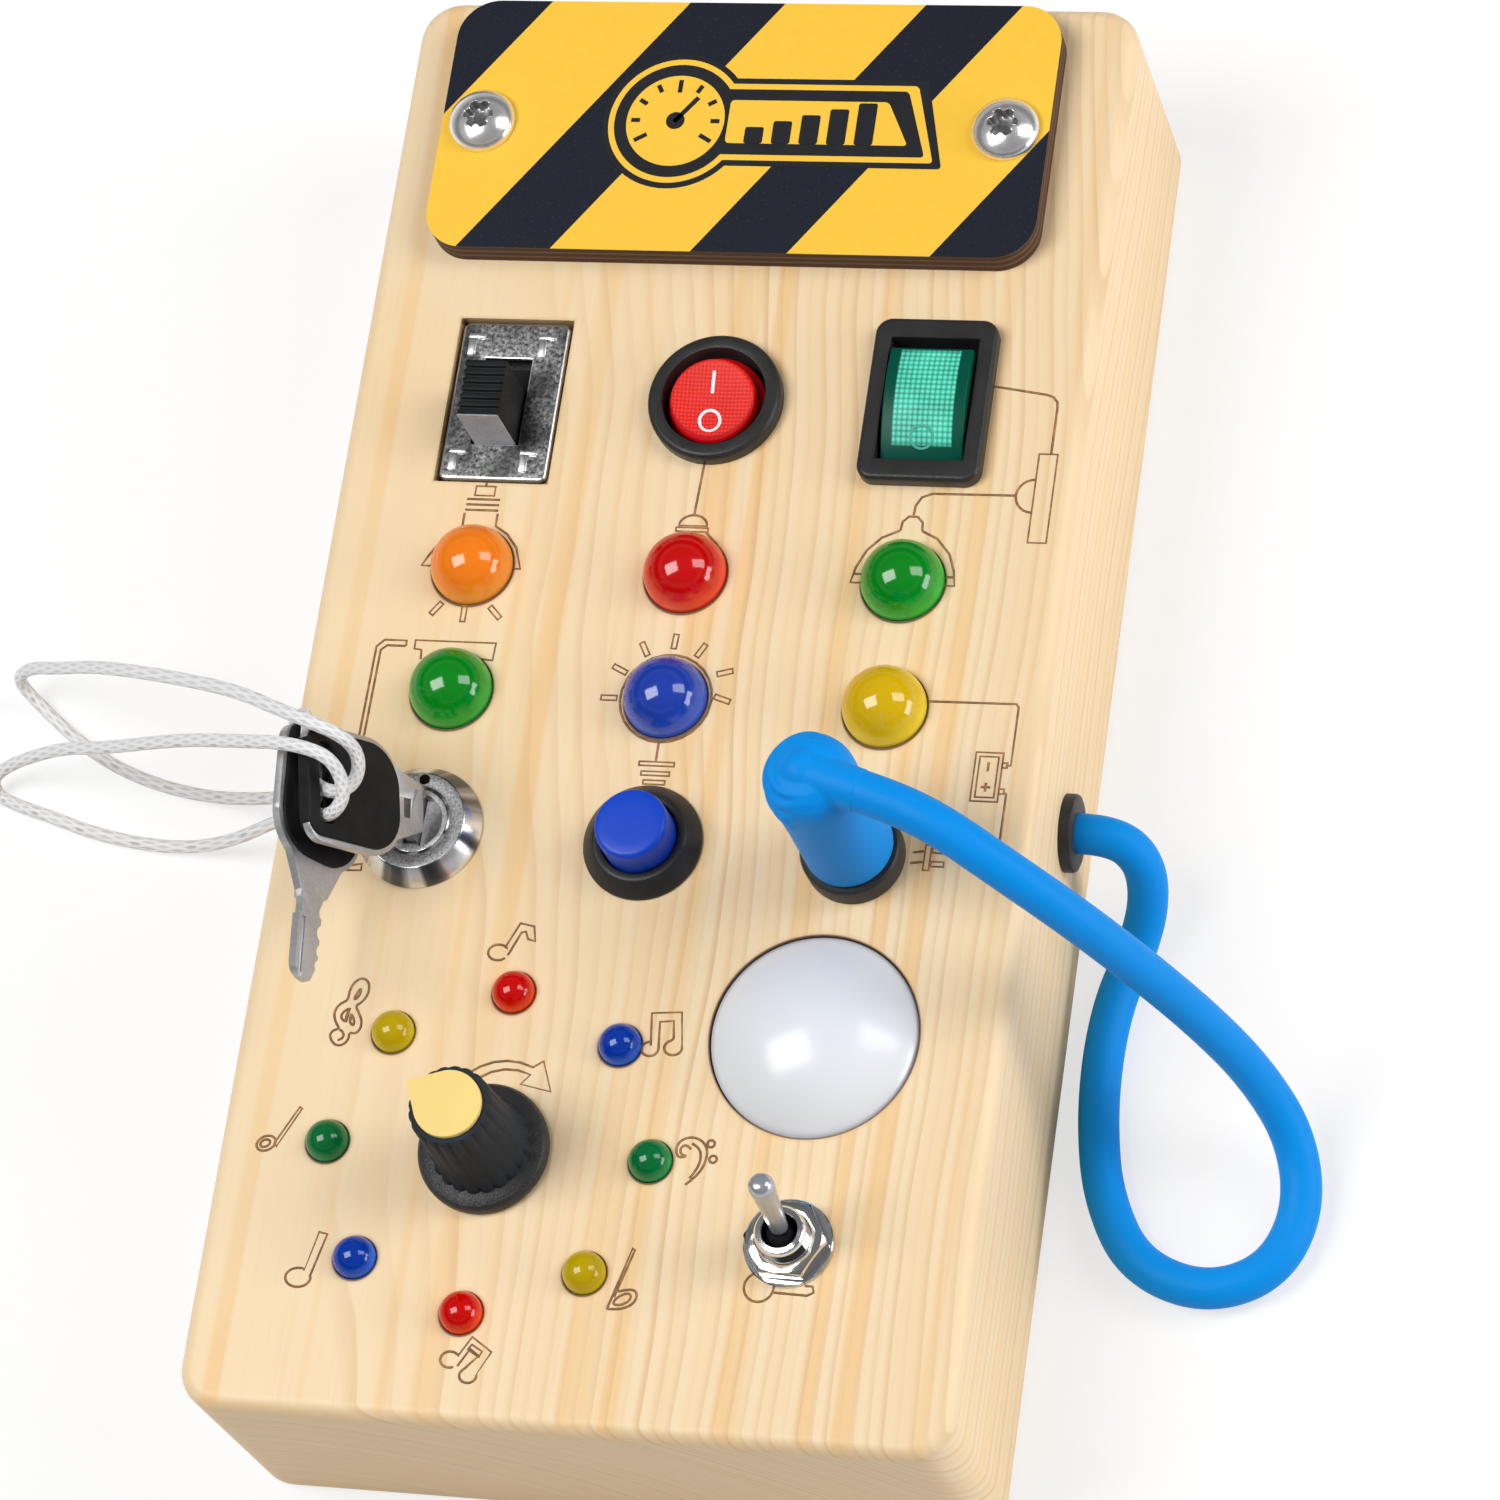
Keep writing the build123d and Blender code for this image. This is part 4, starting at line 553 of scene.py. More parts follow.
@dataclass(frozen=True)
class StripedPrint(Finish):
    """Printed thin board with slanting stripes and burnt, layered edges."""

    yellow: Colour = (1.0, 0.600, 0.055)
    navy: Colour = (0.007, 0.010, 0.020)
    burnt: Colour = (0.075, 0.040, 0.025)
    top: float = FACE + 3.5
    layer: float = 1.17
    period: float = 29.3
    dark_share: float = 0.406
    slope: float = 1.376
    start: Spot = (-9.8, 88.0)

    def paint(self, sheet: Sheet) -> None:
        """Stripes on top, layers on the sides."""
        place = sheet.place()
        x, y, z = sheet.split(place)
        along = (x - self.start[0] - (y - self.start[1]) / self.slope) / self.period
        dark = along.part() < self.dark_share
        speck = sheet.noise(place, 3.2, 2.0).ease(0.62, 0.72)
        ink = sheet.mix(speck * 0.6, self.navy, tint(self.navy, 3.2, 0.012))
        paint = sheet.mix(sheet.noise(place, 0.6, 3.0), self.yellow, tint(self.yellow, 0.93))
        seam = (((z - FACE) / self.layer).part() - 0.5).size().ease(0.28, 0.45)
        ply = sheet.mix(seam, self.burnt, tint(self.burnt, 2.6))
        on_top, fine = z > self.top - 0.06, sheet.noise(place, 4.0, 2.0)
        sheet.shade(
            Base_Color=sheet.mix(on_top, ply, sheet.mix(dark, paint, ink)),
            Roughness=0.62 - on_top * 0.10 + fine * 0.05,
            Specular_IOR_Level=0.25,
            Normal=sheet.bump(fine, 0.012),
        )


@dataclass(frozen=True)
class Braid(Finish):
    """White braided string, its pattern laid along the string's own UV map."""

    colour: Colour = (0.86, 0.86, 0.87)
    grey: Colour = (0.42, 0.42, 0.45)
    length: float = 349.0
    strands: float = 6.0
    pitch: float = 3.4

    def paint(self, sheet: Sheet) -> None:
        """Crossing strands with painted shade between them, and a sparse grey fleck."""
        along, around, _ = sheet.split(sheet.coordinates("UV"))
        turns = along * (self.length / self.pitch)
        left = (around * self.strands + turns).wave()
        over = left.most((around * self.strands - turns).wave())
        half = (turns * 0.5).part()
        side = (around * 2.0).wave() > 0.86
        fleck = half.ease(0.42, 0.5) * (1.0 - half.ease(0.56, 0.64)) * side
        # darker where the strands dip: painted shade between the crossing strands
        ground = sheet.mix(over.ease(-0.4, 0.6), tint(self.colour, 0.80), self.colour)
        sheet.shade(
            Base_Color=sheet.mix(fleck * 0.55, ground, self.grey),
            Roughness=0.55,
            Sheen_Weight=0.2,
            Normal=sheet.bump(over * 0.5 + 0.5, 0.12),
        )


@dataclass(frozen=True)
class Circuit(Finish):
    """Green circuit board with plated pads."""

    colour: Colour = (0.012, 0.13, 0.045)

    def paint(self, sheet: Sheet) -> None:
        """Solder mask with faint tracks."""
        place = sheet.place()
        x, y, _ = sheet.split(place)
        track = ((x * 0.35).part() < 0.2).most((y * 0.28).part() < 0.16)
        track = track * (sheet.noise(place, 0.25) > 0.5)
        sheet.shade(
            Base_Color=sheet.mix(track * 0.7, self.colour, tint(self.colour, 1.8, 0.01)),
            Roughness=0.35,
            Normal=sheet.bump(track, 0.03),
        )


@dataclass(frozen=True)
class CellWrap(Finish):
    """Two-colour sleeve of a battery cell with bare metal ends."""

    body: Colour = (0.025, 0.03, 0.04)
    band: Colour = (0.62, 0.33, 0.10)
    metal: Colour = (0.72, 0.72, 0.72)
    centre_x: float = -1.0
    half: float = 24.4

    def paint(self, sheet: Sheet) -> None:
        """Sleeve, band and metal ends along X."""
        place = sheet.place()
        reach = (sheet.split(place)[0] - self.centre_x) / self.half
        bare = reach.size() > 0.90
        sheet.shade(
            Base_Color=sheet.mix(bare, sheet.mix(reach > 0.45, self.body, self.band), self.metal),
            Metallic=bare,
            Roughness=0.22 + sheet.noise(place, 1.2, 3.0) * 0.12,
        )


BIG_RADIUS, SMALL_RADIUS = 4.95, 2.5
BIG_SPOTS = tuple((x, y) for y in (14.15, -1.7) for x in (-26.4, -0.3, 25.85))
# hole rings sit a little off the lamps' centres, so the burnt edge and painted gap shade show more
# on one side
BIG_HOLES = tuple((x + 0.05, y - 0.16, 5.05) for y in (14.15, -1.7) for x in (-26.4, -0.3, 25.85))
RING_CENTRE, RING_RADIUS, RING_COUNT = (-12.75, -57.9), 19.15, 8
RING_SPOTS = tuple(
    (RING_CENTRE[0] + RING_RADIUS * math.sin(angle), RING_CENTRE[1] + RING_RADIUS * math.cos(angle))
    for angle in (step * TURN / RING_COUNT for step in range(RING_COUNT))
)
SMALL_HOLES = tuple((x, y - 0.08, 2.6) for x, y in RING_SPOTS)
DOME_SPOT, DOME_HOLE_RADIUS = (23.15, -42.0), 12.15
DOME_HOLE = ((*DOME_SPOT, DOME_HOLE_RADIUS),)
SLIDE_WINDOW = ((-26.0, 35.8, 6.95, 10.65),)
LOCK_SPOT, ROUND_SPOT, RECT_SPOT = (-27.2, -19.3), (0.3, 36.3), (26.1, 36.7)

WOOD = Timber("pine", "wood", holes=BIG_HOLES + SMALL_HOLES + DOME_HOLE, windows=SLIDE_WINDOW)
BACK_PLY = Timber("back_ply", "ply", pith=(10.0, -90.0), lean=0.02, ring=2.1, contrast=0.3)
BURNT_LINE = Scorch("burnt_line", "wood")
STRIPES = StripedPrint("striped_print", "sign_yellow")
STRING = Braid("braided_string", "string")
CIRCUIT = Circuit("circuit", "circuit")
CELL = CellWrap("cell_wrap", "cell")

CHROME = Metal("chrome", "chrome", (0.86, 0.86, 0.87), 0.93, 0.07, 0.05, 1.0, 0.0015)
# lock bezel: its dark radial bands are painted reflections
BEVEL_CHROME = Metal(
    "bevel_chrome", "chrome", (0.92, 0.93, 0.96), 0.92, 0.18, 0.08, 1.6, 0.003, 0.75,
    axis=LOCK_SPOT, reflection_streaks=0.88,
)
LEVER_STEEL = Metal(
    "lever_steel", "chrome", (0.50, 0.53, 0.58), 0.92, 0.20, 0.06, 1.0, 0.0015, metallic=0.62
)
CAST_GREY = Metal("cast_grey", "chrome", (0.60, 0.60, 0.61), 0.34, 0.34, 0.20, 3.6, 0.05, 0.7)
PLUG_FACE = Metal("plug_face", "chrome", (0.78, 0.78, 0.79), 0.45, 0.30, 0.20, 3.6, 0.03, 0.7)
SCREW_STEEL = Metal("screw_steel", "steel", (0.93, 0.92, 0.92), 0.90, 0.15, 0.10, 1.2, 0.003, 0.8)
KEY_STEEL = Metal("key_steel", "steel", (0.56, 0.56, 0.57), 0.86, 0.34, 0.14, 2.4, 0.008, 0.8)
# slide cover: its deep dark speckle and blotches are painted reflections of the surround
ZINC = Metal("pressed_zinc", "steel", (0.95, 0.95, 0.96), 0.11, 0.20, 0.22, 2.2, 0.012, reflection_blotches=0.75)
# darker steel for the screw's star and the plug's recess: painted shade
RECESS_SHADE_STEEL = Metal("recess_painted_shade", "steel", (0.50, 0.49, 0.50), 0.60, 0.24, 0.12, 2.0, 0.01)
# bright steel of the lugs, also put on the slide cover's rounded edges as a painted highlight
LUG_STEEL_AND_RIM_HIGHLIGHT = Metal("lug_steel_and_painted_rim_highlight", "steel", (0.92, 0.92, 0.92), 0.85, 0.26, 0.10, 2.0, 0.004)
INNER_STEEL = Metal("inner_steel", "steel", (0.60, 0.60, 0.60), 0.70, 0.28, 0.15)
BRASS = Metal("brass", "brass", (0.78, 0.55, 0.24), 0.75, 0.25, 0.15)

SIGN_INK = Plastic("sign_ink", "sign_yellow", (0.008, 0.009, 0.013), 0.52, 0.01, specular=0.25)
SIGN_PAINT = Plastic("sign_paint", "sign_yellow", (1.0, 0.60, 0.055), 0.50, 0.01, 5.0, 0.05, 0.25)
BLACK_GLOSS = Plastic(
    "black_gloss", "black_gloss", (0.007, 0.007, 0.0085), 0.40, 0.01, 6.0, 0.2, specular=0.07
)
BLACK_SATIN = Plastic("black_satin", "black_matte", (0.017, 0.0165, 0.0165), 0.36, 0.03, 4.0, 0.2)
BLACK_MATTE = Plastic("black_matte", "black_matte", (0.022, 0.022, 0.023), 0.44, 0.07, 3.2, 0.25)
KNOB_GRIP = Plastic("knob_grip", "black_matte", (0.023, 0.029, 0.038), 0.50, 0.06, 3.2, 0.2, 0.05)
KNOB_SKIRT = Plastic("knob_skirt", "black_matte", (0.019, 0.019, 0.020), 0.36, 0.10, 3.6, 0.3)
# light grey for the black slider's front face: a painted reflection of the lamps
SLIDER_FRONT_SHEEN = Plastic("slider_front_painted_sheen", "black_matte", (0.56, 0.58, 0.63), 0.55, 0.10, 3.2, 0.75, 0.2)
SLIDER_BLACK = Plastic(
    "slider_black", "black_matte", (0.008, 0.009, 0.010), 0.40, 0.02, 4.0, 0.2, specular=0.07
)
BLUE_RUBBER = Plastic(
    "blue_rubber", "blue_rubber", (0.0005, 0.275, 0.80), 0.46, 0.02, 3.0, 0.04, specular=0.10
)
BLUE_CAP = Plastic("blue_cap", "blue_cap", (0.003, 0.060, 0.585), 0.34, 0.012, 4.0, 0.06)
YELLOW_CAP = Plastic("yellow_cap", "yellow_cap", (0.94, 0.70, 0.24), 0.55, 0.015, 4.0, 0.05, 0.2)
WHITE_MARK = Plastic("white_mark", "frosted_white", (0.92, 0.90, 0.92), 0.5, 0.01)
GREEN_MARK = Plastic("green_mark", "green_clear", (0.05, 0.40, 0.30), 0.4, 0.01)
FROSTED = Plastic("frosted", "frosted_white", (0.80, 0.82, 0.86), 0.22, 0.003, 2.0, 0.02, 0.5)
STRING_KNOT = Plastic("string_knot", "string", (0.80, 0.80, 0.81), 0.7, 0.15, 1.5, 0.2)
RED_PRISM = PrismColour(
    "red_prism", "red_clear", (0.52, 0.001, 0.004), (1.0, 0.036, 0.022), ROUND_SPOT, (5.2, 5.2),
    cell=0.46, round_edge=True,
)
GREEN_PRISM = PrismColour(
    "green_prism", "green_clear", (0.0, 0.075, 0.048), (0.16, 0.98, 0.72), RECT_SPOT, (3.7, 6.0),
    cell=0.62,
)

# crown and painted rim light of the big lamps, then of the small ones, which are purer
LAMP_COLOURS = {
    "orange": ((0.90, 0.210, 0.006), (1.0, 0.36, 0.03), (0.70, 0.15, 0.0), (1.0, 0.30, 0.01)),
    "red": ((0.56, 0.001, 0.001), (0.97, 0.055, 0.015), (0.58, 0.001, 0.0), (1.0, 0.060, 0.0)),
    "green": ((0.0, 0.225, 0.010), (0.010, 0.48, 0.035), (0.0, 0.145, 0.034), (0.0, 0.30, 0.080)),
    "blue": ((0.012, 0.046, 0.38), (0.03, 0.12, 0.70), (0.0, 0.036, 0.35), (0.0, 0.13, 0.80)),
    "yellow": ((0.66, 0.42, 0.0), (0.88, 0.66, 0.02), (0.50, 0.350, 0.0), (0.70, 0.53, 0.0)),
}
BIG_LAMP, SMALL_LAMP = (
    {
        name: ClearColour(f"{size}_{name}", f"{name}_clear", *tints[first : first + 2], rise, gloss)
        for name, tints in LAMP_COLOURS.items()
    }
    for size, first, rise, gloss in (("big", 0, BIG_RADIUS, 0.62), ("small", 2, SMALL_RADIUS, 0.45))
)


# ------------------------------------------------------------------ modelling
def rest() -> None:
    """Leaves edit mode and selects nothing."""
    if bpy.context.object is not None and bpy.context.object.mode != "OBJECT":
        bpy.ops.object.mode_set(mode="OBJECT")
    bpy.ops.object.select_all(action="DESELECT")


def take(piece: bpy.types.Object) -> bpy.types.Object:
    """Selects one object alone and makes it the active one."""
    rest()
    piece.select_set(True)
    bpy.context.view_layer.objects.active = piece
    return piece


def linked(name: str, data: bpy.types.ID) -> bpy.types.Object:
    """A new object in the scene."""
    made = bpy.data.objects.new(name, data)
    bpy.context.collection.objects.link(made)
    return made


def primitive(shape: Shape, sizes: dict) -> None:
    """Adds a primitive. A cube starts 1 mm wide, so that its scale is its size."""
    start = {"size": 1.0} if shape is Shape.CUBE else {}
    getattr(bpy.ops.mesh, f"primitive_{shape.value}_add")(**start, **sizes)


def shift(x: float, y: float, z: float) -> Matrix:
    """A move along the three axes."""
    return Matrix.Translation((x, y, z))


def spin(angle: float, axis: str) -> Matrix:
    """A turn in degrees about an axis."""
    return Matrix.Rotation(math.radians(angle), 4, axis)


def middle(part: object) -> Vector:
    """Middle of a vertex, edge or face."""
    if isinstance(part, bmesh.types.BMVert):
        return part.co
    if isinstance(part, bmesh.types.BMEdge):
        return (part.verts[0].co + part.verts[1].co) / 2
    return part.calc_center_median()


class Model:
    """A piece while it is modelled, in millimetres and in edit mode.

    Points closer than weld, or than node_weld in a node's mesh, become one. Faces of a node
    that meet within flat_angle degrees become one too.
    """

    weld, node_weld, flat_angle = 0.0008, 0.002, 0.6

    def __init__(self, name: str, shape: Shape, **sizes: object) -> None:
        """Adds a primitive and enters edit mode.

        Args:
            name: name of the piece.
            shape: primitive that it starts from.
            sizes: the primitive's sizes and place.
        """
        rest()
        primitive(shape, sizes)
        self.object = bpy.context.object
        self.object.name = self.object.data.name = name
        bpy.ops.object.transform_apply(location=True, rotation=True, scale=True)
        bpy.ops.object.mode_set(mode="EDIT")

    @classmethod
    def of_node(cls, name: str, node: str, frame: Matrix = Matrix()) -> "Model":
        """A merged copy of a node's mesh, with its flat faces made whole.

        Args:
            name: name of the new piece.
            node: name of the node.
            frame: frame in millimetres that the copy is modelled in.

        Returns:
            The copy, ready for edit mode's operators.
        """
        made = cls.__new__(cls)
        made.object = take(linked(name, bpy.data.objects[node].data.copy()))
        made.object.matrix_world = Matrix.Scale(1 / MM, 4)
        bpy.ops.object.transform_apply(location=False, rotation=False, scale=True)
        made.object.data.transform(frame.inverted())
        made.object.data.materials.clear()
        bpy.ops.object.mode_set(mode="EDIT")
        made.all()
        bpy.ops.mesh.customdata_custom_splitnormals_clear()
        bpy.ops.mesh.remove_doubles(threshold=cls.node_weld)
        bpy.ops.mesh.dissolve_limited(angle_limit=math.radians(cls.flat_angle))
        return made

    def add(self, shape: Shape, **sizes: object) -> "Model":
        """Adds another primitive to the piece, which is then all that is selected."""
        bpy.ops.mesh.select_all(action="DESELECT")
        primitive(shape, sizes)
        return self

    def pick(self, kind: Pick, test: Callable[[Vector, object], bool]) -> "Model":
        """Selects what passes a test and nothing else.

        Args:
            kind: vertices, edges or faces.
            test: takes the middle of the part and the part.

        Returns:
            The piece.
        """
        bpy.ops.mesh.select_all(action="DESELECT")
        bpy.context.tool_settings.mesh_select_mode = tuple(kind is other for other in Pick)
        mesh = bmesh.from_edit_mesh(self.object.data)
        parts = {Pick.VERTS: mesh.verts, Pick.EDGES: mesh.edges, Pick.FACES: mesh.faces}[kind]
        for part in parts:
            if test(middle(part), part):
                part.select_set(True)
        bmesh.update_edit_mesh(self.object.data)
        return self

    def upright(self, test: Callable[[Vector], bool] = lambda centre: True) -> "Model":
        """Selects the edges that stand along Z and whose middle passes a test."""

        def stands(centre: Vector, edge: bmesh.types.BMEdge) -> bool:
            """True where the edge's ends differ in height."""
            return abs(edge.verts[0].co.z - edge.verts[1].co.z) > 0.01 and test(centre)

        return self.pick(Pick.EDGES, stands)

    def all(self) -> "Model":
        """Selects everything."""
        bpy.ops.mesh.select_all(action="SELECT")
        return self

    def extrude(self, move: Point) -> "Model":
        """Extrudes what is selected."""
        bpy.ops.mesh.extrude_region_move(TRANSFORM_OT_translate={"value": move})
        return self

    def move(self, by: Point) -> "Model":
        """Moves what is selected."""
        bpy.ops.transform.translate(value=by)
        return self

    def resize(self, by: Point, about: Point = (0.0, 0.0, 0.0)) -> "Model":
        """Scales what is selected about a point."""
        bpy.ops.transform.resize(value=by, center_override=about)
        return self

    def bevel(self, width: float, segments: int) -> "Model":
        """Bevels the selected edges."""
        bpy.ops.mesh.bevel(offset=width, segments=segments, affect="EDGES")
        return self

    def modify(self, kind: str, **settings: object) -> "Model":
        """Adds a modifier and applies it.

        Args:
            kind: type of the modifier.
            settings: its settings.

        Returns:
            The piece.
        """
        bpy.ops.object.mode_set(mode="OBJECT")
        modifier = self.object.modifiers.new(kind.lower(), kind)
        for key, value in settings.items():
            setattr(modifier, key, value)
        bpy.context.view_layer.objects.active = self.object
        bpy.ops.object.modifier_apply(modifier=modifier.name)
        bpy.ops.object.mode_set(mode="EDIT")
        return self

    def soften(self, width: float, segments: int = 2, angle: float = SHARP_ANGLE) -> "Model":
        """Rounds every edge that is sharper than an angle."""
        limit = {"limit_method": "ANGLE", "angle_limit": math.radians(angle)}
        return self.modify("BEVEL", width=width, segments=segments, **limit)

    def cut(self, cutter: "Model", place: Matrix) -> "Model":
        """Cuts another solid, put in its place, out of the piece."""
        tool = cutter.loose(place)
        self.modify("BOOLEAN", operation="DIFFERENCE", solver="EXACT", object=tool)
        bpy.data.objects.remove(tool)
        return self

    def loose(self, place: Matrix) -> bpy.types.Object:
        """The piece as a closed solid in its place.

        Args:
            place: where the piece goes.

        Returns:
            The object.
        """
        bpy.context.tool_settings.mesh_select_mode = (True, False, False)
        self.all()
        bpy.ops.mesh.remove_doubles(threshold=self.weld)
        bpy.ops.mesh.normals_make_consistent(inside=False)
        bpy.ops.object.mode_set(mode="OBJECT")
        self.object.data.transform(place)
        return self.object

    def seal(self, place: Matrix = Matrix(), smooth: float = 34.0) -> bpy.types.Object:
        """Finishes the piece in metres, with its place in its mesh.

        Args:
            place: where the piece goes, in millimetres.
            smooth: edges that are blunter than this many degrees are shaded smooth.

        Returns:
            The object.
        """
        return smoothed(self.loose(Matrix.Scale(MM, 4) @ place), smooth)


def smoothed(piece: bpy.types.Object, angle: float) -> bpy.types.Object:
    """Shades the edges that are blunter than an angle smooth."""
    take(piece)
    bpy.ops.object.shade_smooth_by_angle(angle=math.radians(angle))
    rest()
    return piece


def at(x: float, y: float, height: float = 0.0, tilt: float = 0.0, turn: float = 0.0) -> Matrix:
    """Place of a piece on the face.

    Args:
        x: place across the board.
        y: place along the board.
        height: height over the face.
        tilt: turn about X in degrees.
        turn: turn about Z in degrees.

    Returns:
        The place, in millimetres.
    """
    angles = Euler((math.radians(tilt), 0.0, math.radians(turn)))
    return shift(x, y, FACE + height) @ angles.to_matrix().to_4x4()


def turned(name: str, profile: Sequence[Spot], steps: int = 64, ring: bool = False) -> Model:
    """A turned piece: a circle extruded from ring to ring of a profile.

    Args:
        name: name of the piece.
        profile: radius and height of each ring, from the first round to the last.
        steps: sides of the circle.
        ring: the profile closes on itself; otherwise both ends are closed with a disc, and a
            last radius of 0 ends in a pole.

    Returns:
        The piece, upright about Z.
    """
    radius, height = profile[0]
    fill = "NOTHING" if ring else "TRIFAN"
    sizes = {"vertices": steps, "radius": radius, "location": (0, 0, height)}
    made = Model(name, Shape.CIRCLE, fill_type=fill, **sizes).all()
    for next_radius, next_height in [*profile[1:], *(profile[:1] if ring else [])]:
        if next_radius == 0.0:
            pole = Vector((0.0, 0.0, height))
            made.pick(Pick.VERTS, lambda spot, _: (spot - pole).length < 1e-5)
            made.move((0.0, 0.0, next_height - height))
            break
        made.extrude((0.0, 0.0, next_height - height))
        factor = next_radius / radius
        if factor != 1.0:
            made.resize((factor, factor, 1.0), (0.0, 0.0, next_height))
        radius, height = next_radius, next_height
    return made


def blocks(name: str, parts: Sequence[tuple[Point, Point]]) -> Model:
    """A piece of several blocks, each with its size and place."""
    (size, place), *others = parts
    made = Model(name, Shape.CUBE, scale=size, location=place)
    for size, place in others:
        made.add(Shape.CUBE, scale=size, location=place)
    return made


def dome(radius: float, foot: float, rise: float, rings: int) -> list[Spot]:
    """Profile of a cap of a sphere, from its foot to its pole.

    Args:
        radius: radius of the cap's foot.
        foot: height of the foot.
        rise: height of the cap.
        rings: number of rings between foot and pole.

    Returns:
        Radius and height of each ring.
    """
    ball = (radius**2 + rise**2) / (2 * rise)
    widest = math.atan2(radius, ball - rise)
    angles = [widest * (1 - step / (rings + 0.35)) for step in range(1, rings + 1)]
    base = foot + rise - ball
    rounds = [(ball * math.sin(angle), base + ball * math.cos(angle)) for angle in angles]
    return [*rounds, (0.0, foot + rise)]


def copied(piece: bpy.types.Object, name: str, start: Spot, end: Spot) -> bpy.types.Object:
    """A copy of a finished piece with its own mesh.

    Args:
        piece: the finished piece.
        name: name of the copy.
        start: spot that the piece stands at.
        end: spot that the copy stands at.

    Returns:
        The copy.
    """
    made = piece.copy()
    made.data = piece.data.copy()
    made.name = made.data.name = name
    across, along = (there - here for here, there in zip(start, end))
    made.data.transform(shift(across * MM, along * MM, 0.0))
    bpy.context.collection.objects.link(made)
    return made


def joined(pieces: Sequence[bpy.types.Object]) -> bpy.types.Object:
    """Several finished objects made into the first one."""
    take(pieces[0])
    for piece in pieces:
        piece.select_set(True)
    bpy.ops.object.join()
    rest()
    return pieces[0]


def lines_curve(
    name: str, lines: Sequence[Line], radius: float, around: int, along: int
) -> bpy.types.Object:
    """Lines as a curve with a round section.

    Args:
        name: name of the curve.
        lines: points of each line, whether it is closed and whether it is smooth.
        radius: radius of the section, or 0 for bare lines.
        around: fineness of the section.
        along: steps between two points of a smooth line.

    Returns:
        The curve's object.
    """
    data = bpy.data.curves.new(name, "CURVE")
    data.dimensions, data.resolution_u = "3D", along
    data.bevel_depth, data.bevel_resolution, data.use_fill_caps = radius, around, radius > 0
    for points, closed, smooth in lines:
        line = data.splines.new("NURBS" if smooth else "POLY")
        line.points.add(len(points) - 1)
        for point, place in zip(line.points, points):
            point.co = (*place, 1.0)
        if smooth:
            line.order_u, line.use_endpoint_u = 3, not closed
        line.use_cyclic_u = closed
    return linked(name, data)


def meshed(curve: bpy.types.Object, name: str) -> bpy.types.Object:
    """A curve made into a mesh of this name."""
    take(curve)
    bpy.ops.object.convert(target="MESH")
    made = bpy.context.object
    made.name = made.data.name = name
    return made


def dress(piece: bpy.types.Object, finish: Finish) -> None:
    """Gives a piece one finish all over."""
    if not piece.material_slots:
        piece.data.materials.append(None)
    for slot in piece.material_slots:
        slot.material = finish.material()


def dress_part(piece: bpy.types.Object, finish: Finish, test: Callable[[Face], bool]) -> None:
    """Gives the faces that pass a test another finish.

    Args:
        piece: a dressed piece.
        finish: the finish of those faces.
        test: takes a face of the finished mesh, in metres.
    """
    piece.data.materials.append(finish.material())
    last = len(piece.data.materials) - 1
    for face in piece.data.polygons:
        if test(face):
            face.material_index = last


def from_axis(face: Face, axis: Spot) -> float:
    """How far a face of a finished mesh is from an upright axis, in millimetres."""
    return (face.center.xy - Vector(axis) * MM).length / MM


@dataclass
class Assembly:
    """A sub-assembly of the board. Each one builds its pieces and dresses them."""

    nodes: dict

    def carry(
        self, piece: bpy.types.Object, finish: Finish, *stands_for: str, body: Body = Body.CASE
    ) -> bpy.types.Object:
        """Dresses a piece, lets it ride and says what it stands for.

        Args:
            piece: the finished piece.
            finish: its finish.
            stands_for: nodes that it replaces.
            body: body that it rides on.

        Returns:
            The piece.
        """
        dress(piece, finish)
        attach(piece, body.value)
        if stands_for:
            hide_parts(*stands_for)
        faces = len(piece.data.polygons)
        LOG.info("%s: %d faces, finish %s, rides on %s", piece.name, faces, finish.name, body.value)
        return piece

    def rounded(
        self,
        name: str,
        node: str,
        width: float,
        finish: Finish,
        body: Body = Body.CASE,
        segments: int = 2,
    ) -> bpy.types.Object:
        """Carries a node's own shape with its sharp edges rounded.

        Args:
            name: name of the piece.
            node: node that it is taken from and stands for.
            width: width of the rounding.
            finish: its finish.
            body: body that it rides on.
            segments: steps of the rounding.

        Returns:
            The piece.
        """
        piece = Model.of_node(name, node).soften(width, segments).seal()
        return self.carry(piece, finish, node, body=body)

    def keep(self, finish: Finish, *names: str) -> None:
        """Gives nodes whose shape is right their finish."""
        for name in names:
            dress(self.nodes[name], finish)
            LOG.info("%s: kept, finish %s", name, finish.name)

    def build(self) -> None:
        """Builds and dresses the sub-assembly."""
        raise NotImplementedError


# ------------------------------------------------------------------ camera and cords
@dataclass(frozen=True)
class Softbox:
    """A rectangular soft lamp that faces the board: metres and watts."""

    name: str
    place: Point
    size: Spot
    power: float

    def build(self, aim: Point) -> None:
        """Adds the lamp, which faces a point."""
        data = bpy.data.lights.new(self.name, "AREA")
        data.shape, data.size, data.size_y = "RECTANGLE", *self.size
        data.energy = self.power
        made = linked(self.name, data)
        made.location = self.place
        made.rotation_euler = (Vector(self.place) - Vector(aim)).to_track_quat("Z", "Y").to_euler()
        made.visible_camera = False


